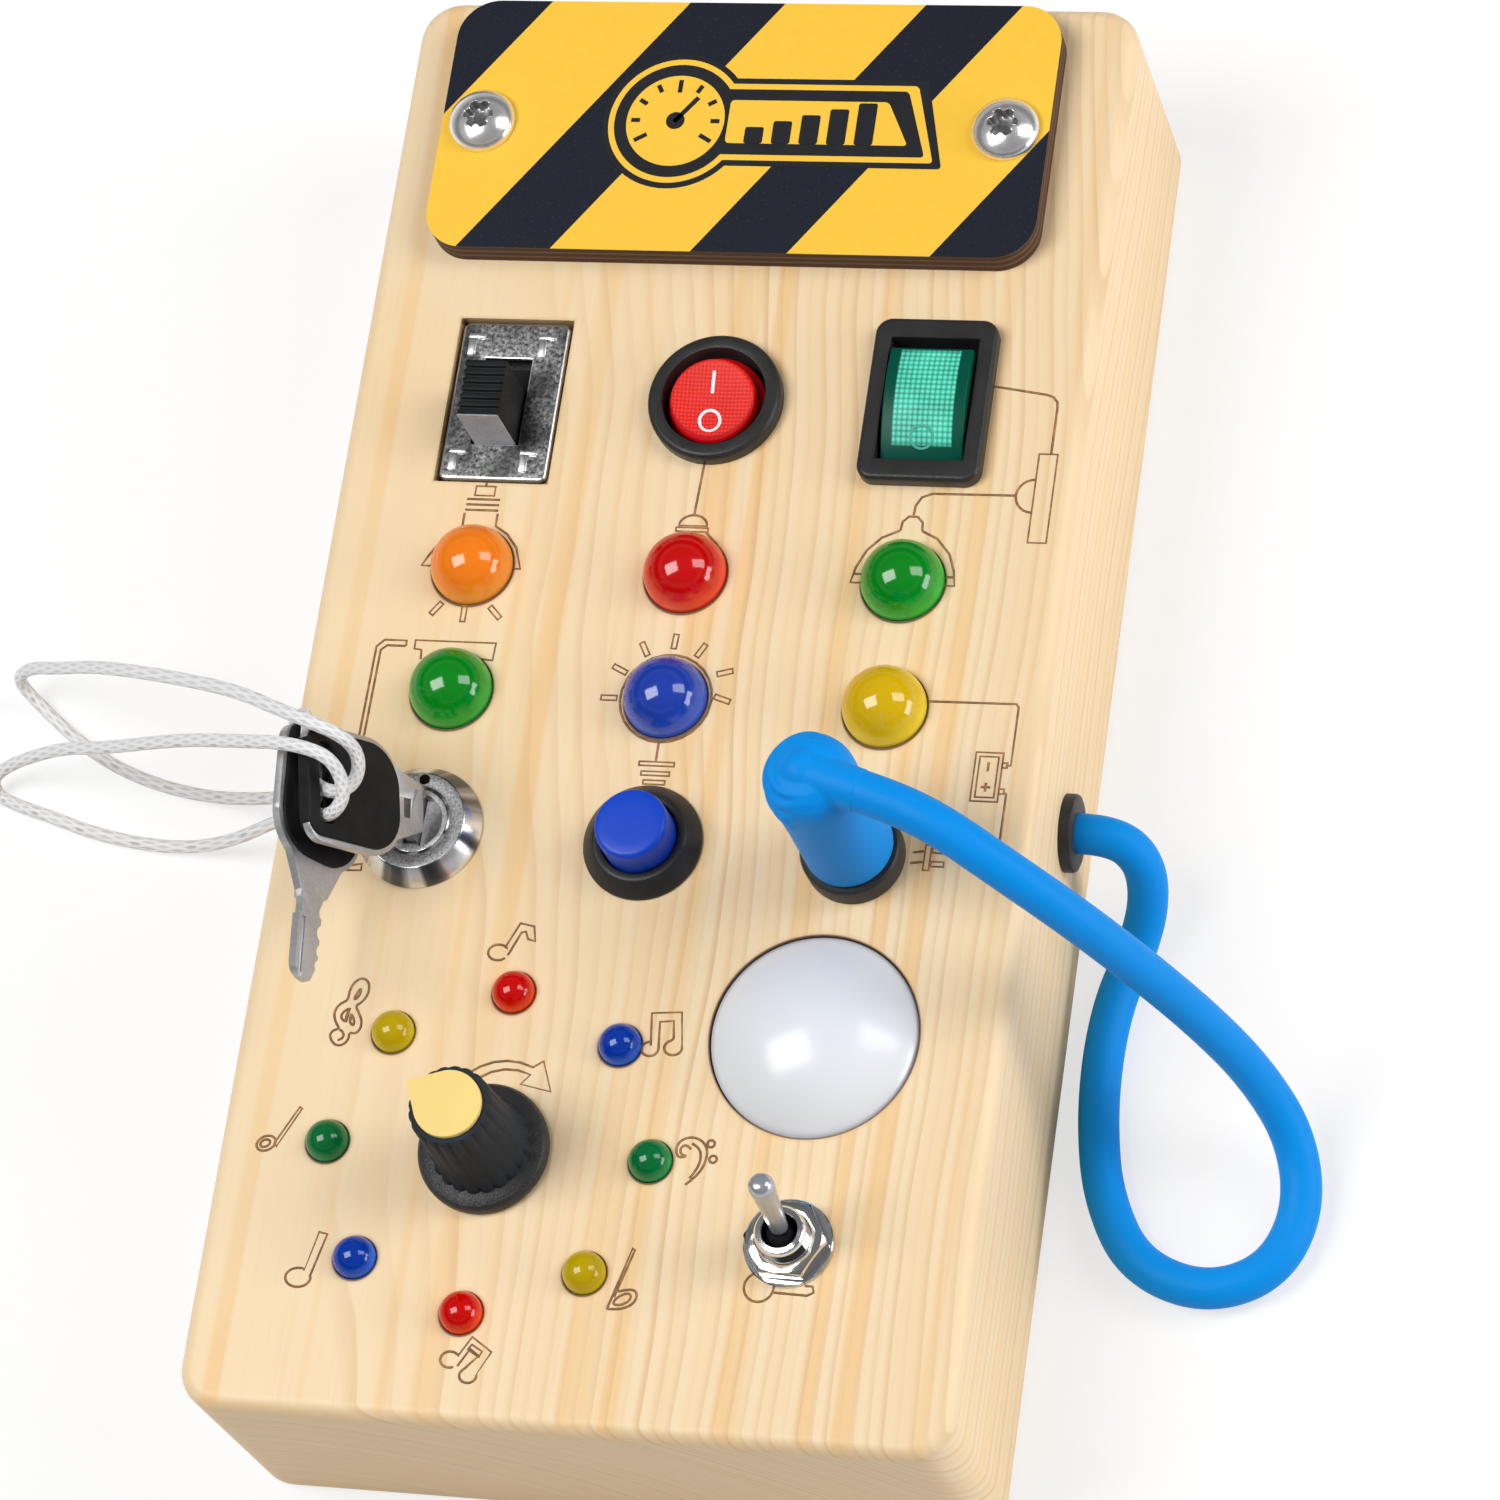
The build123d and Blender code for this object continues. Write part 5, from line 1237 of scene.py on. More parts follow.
@dataclass
class Studio:
    """Camera, pale floor and soft lamps."""

    camera_at: Point = (0.197567, -0.263219, 0.661924)
    camera_turn: Point = (23.36466, 13.22896, 8.26594)
    lens: float = 147.385
    aim: Point = (0.0, 0.0, 0.03)
    boxes: tuple[Softbox, ...] = (
        Softbox("softbox_left", (-0.366, -0.12, 0.843), (0.42, 0.55), 6.1),
        Softbox("softbox_right", (0.644, 0.212, 0.622), (0.34, 0.50), 2.8),
        Softbox("softbox_low", (0.86, -0.02, 0.17), (0.50, 0.24), 2.6),
    )
    floor_size: float = 8.0
    floor_drop: float = 0.0002
    floor_glow: float = 1.04
    glow_share: float = 0.64
    # place from straight down to straight up, and how bright it is there
    surround: tuple[Spot, ...] = (
        (0.0, 0.95), (0.14, 0.85), (0.20, 0.05), (0.40, 0.08), (0.50, 0.75), (0.66, 0.30),
        (1.0, 0.42),
    )
    surround_power: float = 0.42
    backdrop: Colour = (2.4, 2.4, 2.4)

    def build(self) -> None:
        """Builds the studio."""
        self.add_camera()
        self.add_floor()
        for box in self.boxes:
            box.build(self.aim)
        self.add_world()

    def add_camera(self) -> None:
        """Adds the camera."""
        data = bpy.data.cameras.new("camera")
        data.lens, data.sensor_width = self.lens, 36.0
        data.clip_start, data.clip_end = 0.02, 50.0
        camera = linked("camera", data)
        camera.location = self.camera_at
        camera.rotation_euler = [math.radians(angle) for angle in self.camera_turn]
        bpy.context.scene.camera = camera

    def add_floor(self) -> None:
        """Adds a pale floor that shows white to the camera and keeps the shadow."""
        rest()
        drop = (0.0, 0.0, -self.floor_drop)
        bpy.ops.mesh.primitive_plane_add(size=self.floor_size, location=drop)
        floor = bpy.context.object
        floor.name = "floor"
        sheet = Sheet(bpy.data.materials.new("pale_floor"))
        sheet.shade(Base_Color=(0.95, 0.95, 0.95), Roughness=0.9, Specular_IOR_Level=0.1)
        light = {"Color": (1.0, 1.0, 1.0), "Strength": self.floor_glow}
        glow = sheet.node("ShaderNodeEmission", {}, light)
        plain = Wire(sheet, sheet.shader.outputs[0])
        mixed = {0: sheet.seen() * self.glow_share, 1: plain, 2: glow}
        both = sheet.node("ShaderNodeMixShader", {}, mixed)
        sheet.put(sheet.nodes["Material Output"].inputs[0], both)
        floor.data.materials.append(sheet.owner)

    def add_world(self) -> None:
        """Adds a soft surround that is brightest below and level, and white to the camera."""
        bpy.context.scene.world = bpy.data.worlds.new("surround")
        sheet = Sheet(bpy.context.scene.world)
        height = sheet.split(sheet.coordinates("Generated"))[2]
        light = sheet.node("ShaderNodeValToRGB", {"stops": self.surround}, {0: height})
        colour = sheet.mix(sheet.seen(), light, self.backdrop)
        sheet.shade(Color=colour, Strength=self.surround_power)
        bpy.context.scene.view_settings.view_transform = "Standard"


@dataclass(frozen=True)
class Cord:
    """A free cord that follows a smooth line through given points.

    start marks where it would leave the board and end where it would meet the body, both in
    millimetres, and length is its real length in metres; none of them is used, and the tube is
    neither bent nor carried by a body.
    """

    name: str
    node: str
    finish: Finish
    body: Body
    radius: float
    length: float
    far_end: str
    stiffness: str
    start: Point
    end: Point
    around: int
    along: int
    route: tuple[Point, ...]
    carries: tuple[str, ...] = ()

    def curve(self, radius: float) -> bpy.types.Object:
        """The route as a smooth open curve, in metres, with the radius of its tube."""
        points = [[part * MM for part in place] for place in self.route]
        line = (points, False, True)
        return lines_curve(self.name, [line], radius * MM, self.around, self.along)

    def path(self) -> list[Point]:
        """Points along the bare line."""
        bare = self.curve(0.0)
        points = [tuple(vertex.co) for vertex in bpy.data.meshes.new_from_object(bare).vertices]
        bpy.data.objects.remove(bare)
        return points

    def tube(self) -> bpy.types.Object:
        """The cord as a smooth mesh tube with a UV map along it."""
        return smoothed(meshed(self.curve(self.radius), self.name), SHARP_ANGLE)


BLUE_CORD = Cord(
    "plug_cord_tube", "plug_cord", BLUE_RUBBER, Body.PLUG, 2.4, 0.1676, "plug", "medium",
    start=(50.0, -31.0, 40.0),
    end=(31.0, -22.0, 56.0),
    carries=("plug_boot_body", "plug_pin"),
    around=10,
    along=14,
    route=(
        (46.5, -9.6, 15.0), (50.8, -9.6, 15.0), (53.8, -11.2, 11.4), (54.0, -14.4, 6.6),
        (52.4, -19.2, 3.0), (50.4, -25.4, 2.5), (49.8, -33.0, 2.5), (50.3, -41.2, 2.5),
        (52.0, -49.4, 2.5), (56.4, -57.2, 2.5), (64.8, -60.2, 2.5), (72.4, -57.2, 2.5),
        (75.4, -49.6, 2.5), (74.0, -41.6, 5.0), (70.0, -36.8, 12.6), (65.4, -34.5, 23.0),
        (59.8, -32.9, 35.2), (54.2, -31.4, 45.6), (47.4, -28.9, 52.8), (40.6, -25.4, 55.8),
        (35.0, -23.0, 56.0), (30.92, -21.83, 56.0),
    ),
)
KEY_STRING = Cord(
    "key_string_tube", "key_string", STRING, Body.LOCK_CORE, 0.8, 0.3493, "object", "limp",
    start=(-38.0, -15.0, 15.0),
    end=(-31.06, -15.0, 42.76),
    around=4,
    along=9,
    route=(
        (-38.0, -8.95, 15.0), (-45.6, -8.95, 15.0), (-53.2, -8.2, 10.8), (-60.2, -6.2, 4.8),
        (-66.6, -4.6, 1.0), (-73.2, -3.3, 0.9), (-79.4, -1.0, 0.9), (-85.4, 2.6, 0.9),
        (-90.4, 6.6, 0.9), (-92.8, 8.6, 4.2), (-89.4, 8.4, 8.6), (-83.4, 6.0, 14.4),
        (-76.0, 2.9, 22.8), (-69.0, -0.6, 31.0), (-61.4, -3.8, 37.6), (-53.2, -7.2, 44.0),
        (-45.6, -10.4, 49.2), (-39.4, -13.6, 52.6), (-34.8, -15.6, 54.2), (-30.7, -16.8, 52.9),
        (-29.6, -17.6, 50.5), (-29.3, -19.4, 49.4), (-29.8, -21.4, 49.5), (-31.1, -22.8, 50.5),
        (-33.6, -22.0, 49.9), (-35.5, -20.1, 49.5), (-36.0, -17.3, 49.9), (-36.1, -14.2, 49.9),
        (-37.5, -12.3, 48.5), (-39.2, -12.6, 46.5), (-39.4, -14.5, 45.0), (-38.2, -16.7, 44.5),
        (-35.0, -16.5, 47.0), (-34.7, -18.8, 47.4), (-34.6, -21.7, 47.5), (-34.5, -24.4, 48.4),
        (-32.3, -25.4, 49.7), (-30.7, -24.9, 50.6), (-29.8, -23.4, 51.5), (-30.1, -21.5, 53.1),
        (-31.3, -20.2, 55.2), (-34.4, -19.4, 55.8), (-38.4, -18.5, 54.4), (-43.0, -17.2, 51.0),
        (-48.4, -15.4, 46.4), (-54.4, -13.2, 40.6), (-61.2, -10.8, 33.4), (-68.2, -8.0, 25.0),
        (-75.0, -5.4, 17.4), (-81.4, -3.4, 11.8), (-87.0, -2.9, 7.6), (-91.2, -3.2, 4.8),
        (-94.0, -4.2, 2.8), (-93.6, -5.8, 0.9), (-90.6, -7.0, 0.9), (-86.2, -8.2, 0.9),
        (-80.6, -10.0, 0.9), (-74.0, -11.2, 0.9), (-67.4, -11.6, 1.2), (-60.2, -11.7, 4.8),
        (-53.2, -11.3, 10.8), (-45.6, -10.65, 15.0), (-38.0, -10.65, 15.0),
    ),
)


@dataclass
class Cords(Assembly):
    """The blue cord of the plug and the white string of the keys."""

    cords: tuple[Cord, ...] = (BLUE_CORD, KEY_STRING)

    def build(self) -> None:
        for cord in self.cords:
            path = cord.path()
            tube = cord.tube()
            dress(tube, cord.finish)
            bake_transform(tube)
            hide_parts(cord.node)
            LOG.info("%s: %d points, carries %d pieces", tube.name, len(path), len(cord.carries))


# ------------------------------------------------------------------ wooden body
class Pen:
    """Collects burnt lines as points on the face, in millimetres."""

    arc_step, rod_width = 14.0, 0.6

    def __init__(self) -> None:
        """Starts with no lines."""
        self.lines: list[Line] = []

    def line(self, *points: Spot, closed: bool = False, smooth: bool = False) -> None:
        """Draws through points, straight unless it is smooth."""
        self.lines.append(([(*point, 0.0) for point in points], closed, smooth))

    def flow(self, *points: Spot, closed: bool = False) -> None:
        """Draws a smooth line along points."""
        self.line(*points, closed=closed, smooth=True)

    def arc(
        self,
        centre: Spot,
        radius: float,
        start: float,
        end: float,
        flat: float = 1.0,
        turn: float = 0.0,
    ) -> list[Spot]:
        """Points of an arc.

        Args:
            centre: its centre.
            radius: its radius.
            start: first angle in degrees, anticlockwise from +X.
            end: last angle in degrees.
            flat: share of the radius left across it.
            turn: how far the arc's own axes are turned, in degrees.

        Returns:
            The points.
        """
        steps = max(4, round(abs(end - start) / self.arc_step))
        angles = [math.radians(start + (end - start) * step / steps) for step in range(steps + 1)]
        oval = [(radius * math.cos(angle), radius * flat * math.sin(angle)) for angle in angles]
        x, y = centre
        cos, sin = math.cos(math.radians(turn)), math.sin(math.radians(turn))
        return [(x + u * cos - v * sin, y + u * sin + v * cos) for u, v in oval]

    def loop(self, centre: Spot, radius: float, flat: float = 1.0, turn: float = 0.0) -> None:
        """Draws a closed oval."""
        self.line(*self.arc(centre, radius, 0.0, 342.0, flat, turn), closed=True)

    def rod(self, start: Spot, end: Spot, width: float = rod_width) -> None:
        """Draws the outline of a thin rod."""
        first, last = Vector(start), Vector(end)
        along = (last - first).normalized()
        side = Vector((-along.y, along.x)) * (width / 2)
        self.line(first + side, last + side, last - side, first - side, closed=True)

    def rods(self, *ends: tuple[Spot, Spot]) -> None:
        """Draws a thin rod between each two ends."""
        for start, end in ends:
            self.rod(start, end)


@dataclass
class WoodenBlock(Assembly):
    """Hollowed wooden block, its back panel and door, and the lines burnt into its face."""

    line_radius: float = 0.15
    line_flatness: float = 0.25
    line_height: float = 0.012

    def build(self) -> None:
        """Dresses the block and burns the lines."""
        self.keep(WOOD, "body_block")
        self.keep(BACK_PLY, "back_panel", "battery_door")
        self.keep(SCREW_STEEL, "back_panel_screws", "battery_door_screw")
        lamps = (self.orange_lamp, self.red_lamp, self.green_lamp, self.blue_lamp, self.spout)
        wiring = (self.battery, self.plug_mark, self.dial_arrow, self.toggle_mark)
        drawings = {"lamps": lamps, "wiring": wiring, "notes": (self.notes, self.clefs)}
        for name, marks in drawings.items():
            pen = Pen()
            for mark in marks:
                mark(pen)
            self.carry(self.burn(f"burnt_lines_{name}", pen), BURNT_LINE)

    def burn(self, name: str, pen: Pen) -> bpy.types.Object:
        """Makes drawn lines into flat ridges just over the face.

        Args:
            name: name of the piece.
            pen: the drawn lines.

        Returns:
            The piece.
        """
        made = meshed(lines_curve(name, pen.lines, self.line_radius, 0, 5), name)
        made.data.transform(Matrix.Diagonal((1.0, 1.0, self.line_flatness, 1.0)))
        made.data.transform(Matrix.Scale(MM, 4) @ shift(0.0, 0.0, FACE + self.line_height))
        rest()
        return made

    def orange_lamp(self, pen: Pen) -> None:
        """Bulb holder, shade and rays round the orange lamp."""
        pen.line((-27.6, 23.3), (-27.6, 24.5), (-25.2, 24.5), (-25.2, 23.3), closed=True)
        pen.line((-26.4, 25.1), (-26.4, 24.5))
        for level in (22.8, 22.1, 21.4):
            pen.line((-28.5, level), (-24.4, level))
        pen.line((-28.5, 21.0), (-28.5, 19.0))
        pen.line(
            (-24.4, 21.0), (-24.4, 19.4), (-22.8, 18.4), (-21.4, 16.7), (-20.5, 14.0), (-21.9, 14.0)
        )
        pen.line((-31.3, 16.5), (-32.1, 15.2), (-32.7, 14.0), (-31.4, 14.0))
        pen.rods(
            ((-29.4, 9.3), (-30.5, 7.8)), ((-26.5, 9.0), (-26.5, 7.0)), ((-23.4, 9.0), (-22.0, 7.6))
        )

    def red_lamp(self, pen: Pen) -> None:
        """Cord and socket of the red lamp."""
        pen.line((-0.1, 28.2), (-0.35, 21.7))
        pen.line(*pen.arc((-0.3, 20.3), 1.7, 0.0, 180.0, 0.8), closed=True)
        pen.rod((-2.3, 19.8), (1.6, 19.8), 0.5)
        pen.line((1.4, 19.5), (2.9, 18.1), (4.2, 16.0))

    def green_lamp(self, pen: Pen) -> None:
        """Cable, wall plate and shade of the right green lamp."""
        pen.line((33.5, 39.4), (39.9, 38.5), (40.7, 38.2), (41.2, 37.6), (41.3, 36.8), (41.3, 31.0))
        pen.line((39.9, 30.9), (42.1, 30.9), (42.1, 19.6), (39.9, 19.6), closed=True)
        pen.line(*pen.arc((39.9, 25.5), 2.1, 90.0, 270.0))
        pen.line((37.8, 25.5), (27.9, 25.4), (26.7, 24.9), (26.1, 23.8), (26.0, 22.6))
        pen.line((24.7, 20.6), (24.8, 21.7), (25.5, 22.4), (26.5, 22.4), (27.2, 21.7), (27.3, 20.6))
        pen.line((24.7, 20.6), (22.6, 19.6), (21.0, 17.9), (20.0, 15.7), (19.6, 13.8), (21.0, 13.8))
        pen.line((27.3, 20.6), (29.2, 19.7), (30.9, 17.8), (31.7, 15.7), (32.0, 13.8), (30.6, 13.8))
        pen.line((19.8, 14.9), (20.8, 14.9))
        pen.line((31.8, 14.9), (30.8, 14.9))

    def blue_lamp(self, pen: Pen) -> None:
        """Glass, rays and screw cap of the blue lamp."""
        pen.loop((-0.3, -1.7), 5.5)
        pen.rods(
            ((-0.3, 4.6), (-0.2, 6.4)), ((2.6, 3.7), (3.5, 5.3)), ((-3.3, 3.6), (-4.2, 5.2)),
            ((-5.5, 1.3), (-7.2, 2.1)), ((5.4, 1.6), (7.2, 2.1)), ((-6.2, -1.9), (-8.1, -1.9)),
            ((5.5, -1.2), (7.4, -1.8)),
        )
        pen.line((-0.3, -7.3), (-0.3, -9.6))
        for half, level in ((2.1, -9.9), (1.7, -11.1), (1.3, -12.2)):
            pen.rod((-0.15 - half, level), (-0.15 + half, level), 0.5)

    def spout(self, pen: Pen) -> None:
        """Tap with its bent pipe by the left green lamp."""
        pen.line(
            (-30.8, 2.0), (-30.9, 3.2), (-31.8, 3.3), (-31.8, 4.4), (-21.9, 4.4), (-22.0, 2.2),
            (-24.3, 2.4),
        )
        pen.line((-32.9, 3.6), (-32.9, 4.3), (-35.6, 4.3), (-36.5, 3.4), (-36.7, -8.0))
        pen.line((-32.9, 3.6), (-35.2, 3.6), (-35.9, 3.0), (-36.1, -8.0))
        pen.line((-36.4, -24.2), (-34.6, -24.2), (-33.6, -24.0), (-33.6, -24.8), (-36.2, -24.9))

    def battery(self, pen: Pen) -> None:
        """Cable and battery by the yellow lamp."""
        pen.line((30.9, -0.7), (41.2, -0.6), (41.5, -1.0), (41.5, -8.2), (40.9, -8.2))
        pen.line((37.3, -6.7), (40.5, -6.7), (40.5, -12.7), (37.3, -12.7), closed=True)
        pen.line((37.8, -7.2), (40.0, -7.2), (40.0, -12.2), (37.8, -12.2), closed=True)
        pen.line((38.9, -7.9), (38.9, -9.0))
        pen.line((38.9, -10.4), (38.9, -11.5))
        pen.line((38.35, -10.95), (39.45, -10.95))
        for level in (-8.2, -11.4):
            pen.rod((40.5, level), (41.1, level))
        pen.line((41.1, -11.5), (41.4, -11.7), (41.4, -17.5))

    def plug_mark(self, pen: Pen) -> None:
        """Small plug beside the socket."""
        pen.rod((33.3, -18.3), (33.3, -21.4), 0.7)
        pen.rods(((33.8, -18.9), (35.3, -19.0)), ((33.8, -20.6), (35.3, -20.6)))
        pen.line((32.8, -19.1), (31.6, -19.3))
        pen.line((32.8, -20.4), (31.4, -20.6))

    def dial_arrow(self, pen: Pen) -> None:
        """Turning arrow over the selector."""
        outer = pen.arc((-11.9, -54.0), 7.0, 132.0, 66.0)
        inner = pen.arc((-11.6, -53.9), 5.9, 128.0, 66.0)
        pen.line(*outer, (-7.9, -46.8), (-6.5, -50.4), (-10.2, -49.7), *reversed(inner))

    def toggle_mark(self, pen: Pen) -> None:
        """Lever mark under the toggle switch."""
        pen.loop((21.0, -71.7), 1.7)
        pen.line((22.7, -72.2), (26.6, -72.3), (27.3, -71.9), (27.1, -71.2), (26.2, -71.2))

    def notes(self, pen: Pen) -> None:
        """Outlined notes round the ring of lamps."""
        # two beamed notes, upper right
        pen.line(
            (4.35, -44.2), (3.9, -40.3), (7.4, -40.0), (8.0, -44.0),
            *pen.arc((7.0, -44.3), 1.05, 20.0, -250.0, 0.85),
            (6.9, -43.2), (6.6, -41.1), (5.0, -41.3), (5.3, -44.4),
            *pen.arc((4.3, -44.6), 1.0, -10.0, -270.0, 0.85),
        )
        # flagged note over the top lamp
        pen.line(
            *pen.arc((-15.4, -34.0), 1.2, -40.0, -330.0, 0.8),
            (-14.6, -33.2), (-13.3, -30.3), (-11.6, -30.6), (-11.2, -32.4), (-12.1, -32.2),
            (-12.5, -31.3), (-13.0, -31.4), (-14.2, -34.3),
        )
        # beamed short notes under the bottom lamp
        pen.line(
            *pen.arc((-13.2, -82.5), 1.1, -60.0, -330.0, 0.85),
            (-12.3, -82.0), (-11.0, -79.7), (-8.5, -81.3), (-9.9, -84.1),
            *pen.arc((-10.8, -84.2), 1.0, 10.0, -220.0, 0.85),
            (-11.2, -83.3), (-9.9, -81.8), (-11.0, -81.1), (-12.2, -83.2),
        )
        pen.line((-10.9, -80.6), (-9.6, -81.3), (-9.9, -82.0), (-11.3, -81.2), closed=True)
        # long note, lower left
        pen.line(
            (-32.0, -73.3), (-31.0, -68.7), (-30.0, -68.9), (-31.2, -73.9),
            *pen.arc((-32.6, -74.2), 1.5, 0.0, -290.0, 0.75), closed=True,
        )
        # slim note, left
        pen.loop((-39.2, -58.6), 1.15, 0.75, 25.0)
        pen.loop((-39.3, -58.6), 0.6, 0.7, 25.0)
        pen.line((-38.2, -58.5), (-35.9, -54.0), (-35.6, -54.2), (-37.9, -58.9), closed=True)

    def clefs(self, pen: Pen) -> None:
        """Two clefs and a flat sign."""
        # treble clef
        pen.flow(
            (-31.4, -41.4), (-30.7, -41.0), (-30.1, -40.0), (-30.1, -38.9), (-30.5, -38.2),
            (-31.3, -38.0), (-32.1, -38.7), (-32.4, -39.7), (-32.4, -40.8), (-33.0, -41.1),
            (-33.6, -41.7), (-33.8, -42.6), (-33.4, -43.6), (-32.8, -44.3), (-33.5, -44.5),
            (-33.9, -45.1), (-33.5, -45.9), (-32.8, -46.4), (-32.0, -46.2), (-31.5, -45.5),
            (-31.6, -44.7), (-30.8, -44.8), (-30.3, -44.2), (-30.3, -43.2), (-30.8, -42.3),
            closed=True,
        )
        pen.flow((-32.8, -44.4), (-32.2, -44.7), (-32.2, -45.5), (-32.8, -45.7))
        pen.flow(
            (-31.1, -39.2), (-31.5, -40.0), (-31.7, -40.7), (-31.3, -40.5), (-31.0, -39.8),
            closed=True,
        )
        for leaf in (
            ((-32.0, -41.7), (-32.8, -42.3), (-32.9, -43.0), (-32.2, -43.5), (-32.3, -42.8)),
            ((-31.7, -42.4), (-31.2, -43.2), (-31.2, -43.9), (-31.7, -43.5), (-31.8, -43.0)),
        ):
            pen.flow(*leaf, closed=True)
            pen.line(leaf[0], leaf[3])
        # bass clef
        pen.flow(
            (10.9, -56.2), (10.3, -55.6), (9.6, -56.1), (9.8, -56.9), (10.6, -57.0), (9.6, -57.3),
            (9.1, -56.4), (9.4, -55.3), (10.6, -54.7), (12.0, -55.0), (12.9, -56.2), (12.7, -58.0),
            (11.9, -59.4), (10.8, -60.4),
        )
        pen.flow((11.2, -59.6), (12.0, -58.4), (12.2, -57.0), (11.8, -55.9), (10.9, -55.5))
        pen.loop((13.1, -55.4), 0.42)
        pen.loop((13.6, -57.2), 0.42)
        # flat sign
        pen.line((4.0, -75.4), (5.9, -68.2), (6.2, -68.4), (4.6, -74.0))
        pen.flow((4.0, -75.4), (5.6, -75.4), (7.0, -74.6), (7.3, -73.5), (6.6, -72.8), (5.0, -73.3))
        pen.flow((4.5, -74.9), (5.9, -74.8), (6.7, -73.9), (6.2, -73.3), (4.9, -74.0), closed=True)


# ------------------------------------------------------------------ sign plate
@dataclass
class SignPlate(Assembly):
    """Striped plate with a gauge-and-level emblem and two chromed screws."""

    top: float = 3.5
    gauge: Spot = (-9.3, 71.8)
    gauge_radius: float = 7.6
    banner: tuple[float, float, float, float] = (-3.5, 67.4, 19.0, 76.2)
    banner_tip: float = 22.0
    # how far each layer of the emblem's print stands outside its outline
    layers: tuple[float, ...] = (1.5, 0.75, 0.0, -1.5)
    layer_height: float = 0.03
    print_height: float = 0.18
    screws: tuple[Spot, ...] = ((-33.45, 71.2), (31.45, 71.2))

    def build(self) -> None:
        """Dresses the plate, prints the emblem and drives the screws."""
        self.keep(STRIPES, "sign_plate")
        for number, grow in enumerate(self.layers, 1):
            layer = self.silhouette(f"emblem_layer_{number}", grow, self.layer_height * number)
            self.carry(layer, SIGN_INK if number % 2 else SIGN_PAINT)
        self.carry(self.gauge_marks(), SIGN_INK)
        self.carry(self.level_bars(), SIGN_INK)
        screw = self.carry(self.screw("sign_screw_left"), SCREW_STEEL, "sign_plate_screws")
        rim, reach = (FACE + self.top + 2.15) * MM, 2.21

        def in_recess(face: Face) -> bool:
            """True inside the star."""
            return face.center.z < rim and from_axis(face, self.screws[0]) < reach

        # the star recess is darkened: painted shade
        dress_part(screw, RECESS_SHADE_STEEL, in_recess)
        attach(copied(screw, "sign_screw_right", *self.screws), Body.CASE.value)

    def silhouette(self, name: str, grow: float, height: float) -> bpy.types.Object:
        """The emblem's outline, grown or shrunk, as a thin layer of print.

        Args:
            name: name of the layer.
            grow: how far its edge stands outside the emblem's.
            height: height of the layer over the plate.

        Returns:
            The layer.
        """
        left, low, right, high = self.banner
        middle_height = self.top + height / 2
        round_sizes = {"vertices": 72, "radius": self.gauge_radius + grow, "depth": height}
        disc = Model(name, Shape.CYLINDER, **round_sizes).soften(0.012, 1)
        disc_piece = disc.seal(at(*self.gauge, middle_height))
        box = Model("banner", Shape.CUBE)
        box.resize((right - left + grow, high - low + 2 * grow, height))
        box.pick(Pick.FACES, lambda _, face: face.normal.x > 0.9).move((grow, 0.0, 0.0))
        box.pick(Pick.VERTS, lambda spot, _: spot.x > 0 > spot.y)
        box.move((self.banner_tip - right, 0.0, 0.0))
        box.upright().bevel(0.5, 3)
        place = at((left + right) / 2, (low + high) / 2, middle_height + 0.004)
        return joined([disc_piece, box.seal(place)])

    def gauge_marks(self) -> bpy.types.Object:
        """Ticks, needle and hub of the round gauge."""
        tall = self.print_height
        marks = Model("emblem_gauge", Shape.CYLINDER, vertices=24, radius=1.15, depth=tall)
        edge = self.gauge_radius - 2.1
        ticks = [(210 - step * 30, 1.1 if step % 4 else 1.7) for step in range(9)]
        # angle, length, width and middle's distance from the hub, with the needle last
        strokes = [(degrees, long, 0.55, edge - long / 2) for degrees, long in ticks]
        for degrees, long, wide, reach in (*strokes, (52, 4.2, 0.6, 1.9)):
            angle = math.radians(degrees)
            spot = (reach * math.cos(angle), reach * math.sin(angle), 0)
            marks.add(Shape.CUBE, scale=(long, wide, tall), rotation=(0, 0, angle), location=spot)
        return marks.seal(at(*self.gauge, self.top + 0.06))

    def level_bars(self) -> bpy.types.Object:
        """Five rising level bars on the banner."""
        left, foot = self.banner[0] + 4.2, self.banner[1] + 1.5
        bars = []
        for step in range(5):
            tall = 2.2 + 0.85 * step
            size = (2.3, tall, self.print_height)
            bars.append((size, (left + 3.4 * step, foot + tall / 2, 0.0)))
        made = blocks("emblem_bars", bars).upright().bevel(0.25, 2)
        return made.seal(at(0.0, 0.0, self.top + 0.06))

    def screw(self, name: str) -> bpy.types.Object:
        """Chromed pan-head screw with a six-lobed recess and its shank."""
        head = [(1.75, -8.5), (1.75, -0.02), (4.1, 0.0), (4.1, 0.55), (4.02, 0.85)]
        made = turned(name, [*head, *dome(3.95, 0.95, 1.65, 8)], 72)
        star = Model("star", Shape.CYLINDER, vertices=48, radius=2.2, depth=2.4)

        def between_lobes(spot: Vector, _: object) -> bool:
            """True for the middle three of each eight columns."""
            return round(math.atan2(spot.y, spot.x) / TURN * 48) % 8 in (3, 4, 5)

        star.pick(Pick.VERTS, between_lobes).resize((0.74, 0.74, 1.0))
        star.pick(Pick.FACES, lambda _, face: face.normal.z < -0.9).resize((0.66, 0.66, 1.0))
        made.cut(star, shift(0.0, 0.0, 2.1)).soften(0.07)
        return made.seal(at(*self.screws[0], self.top))


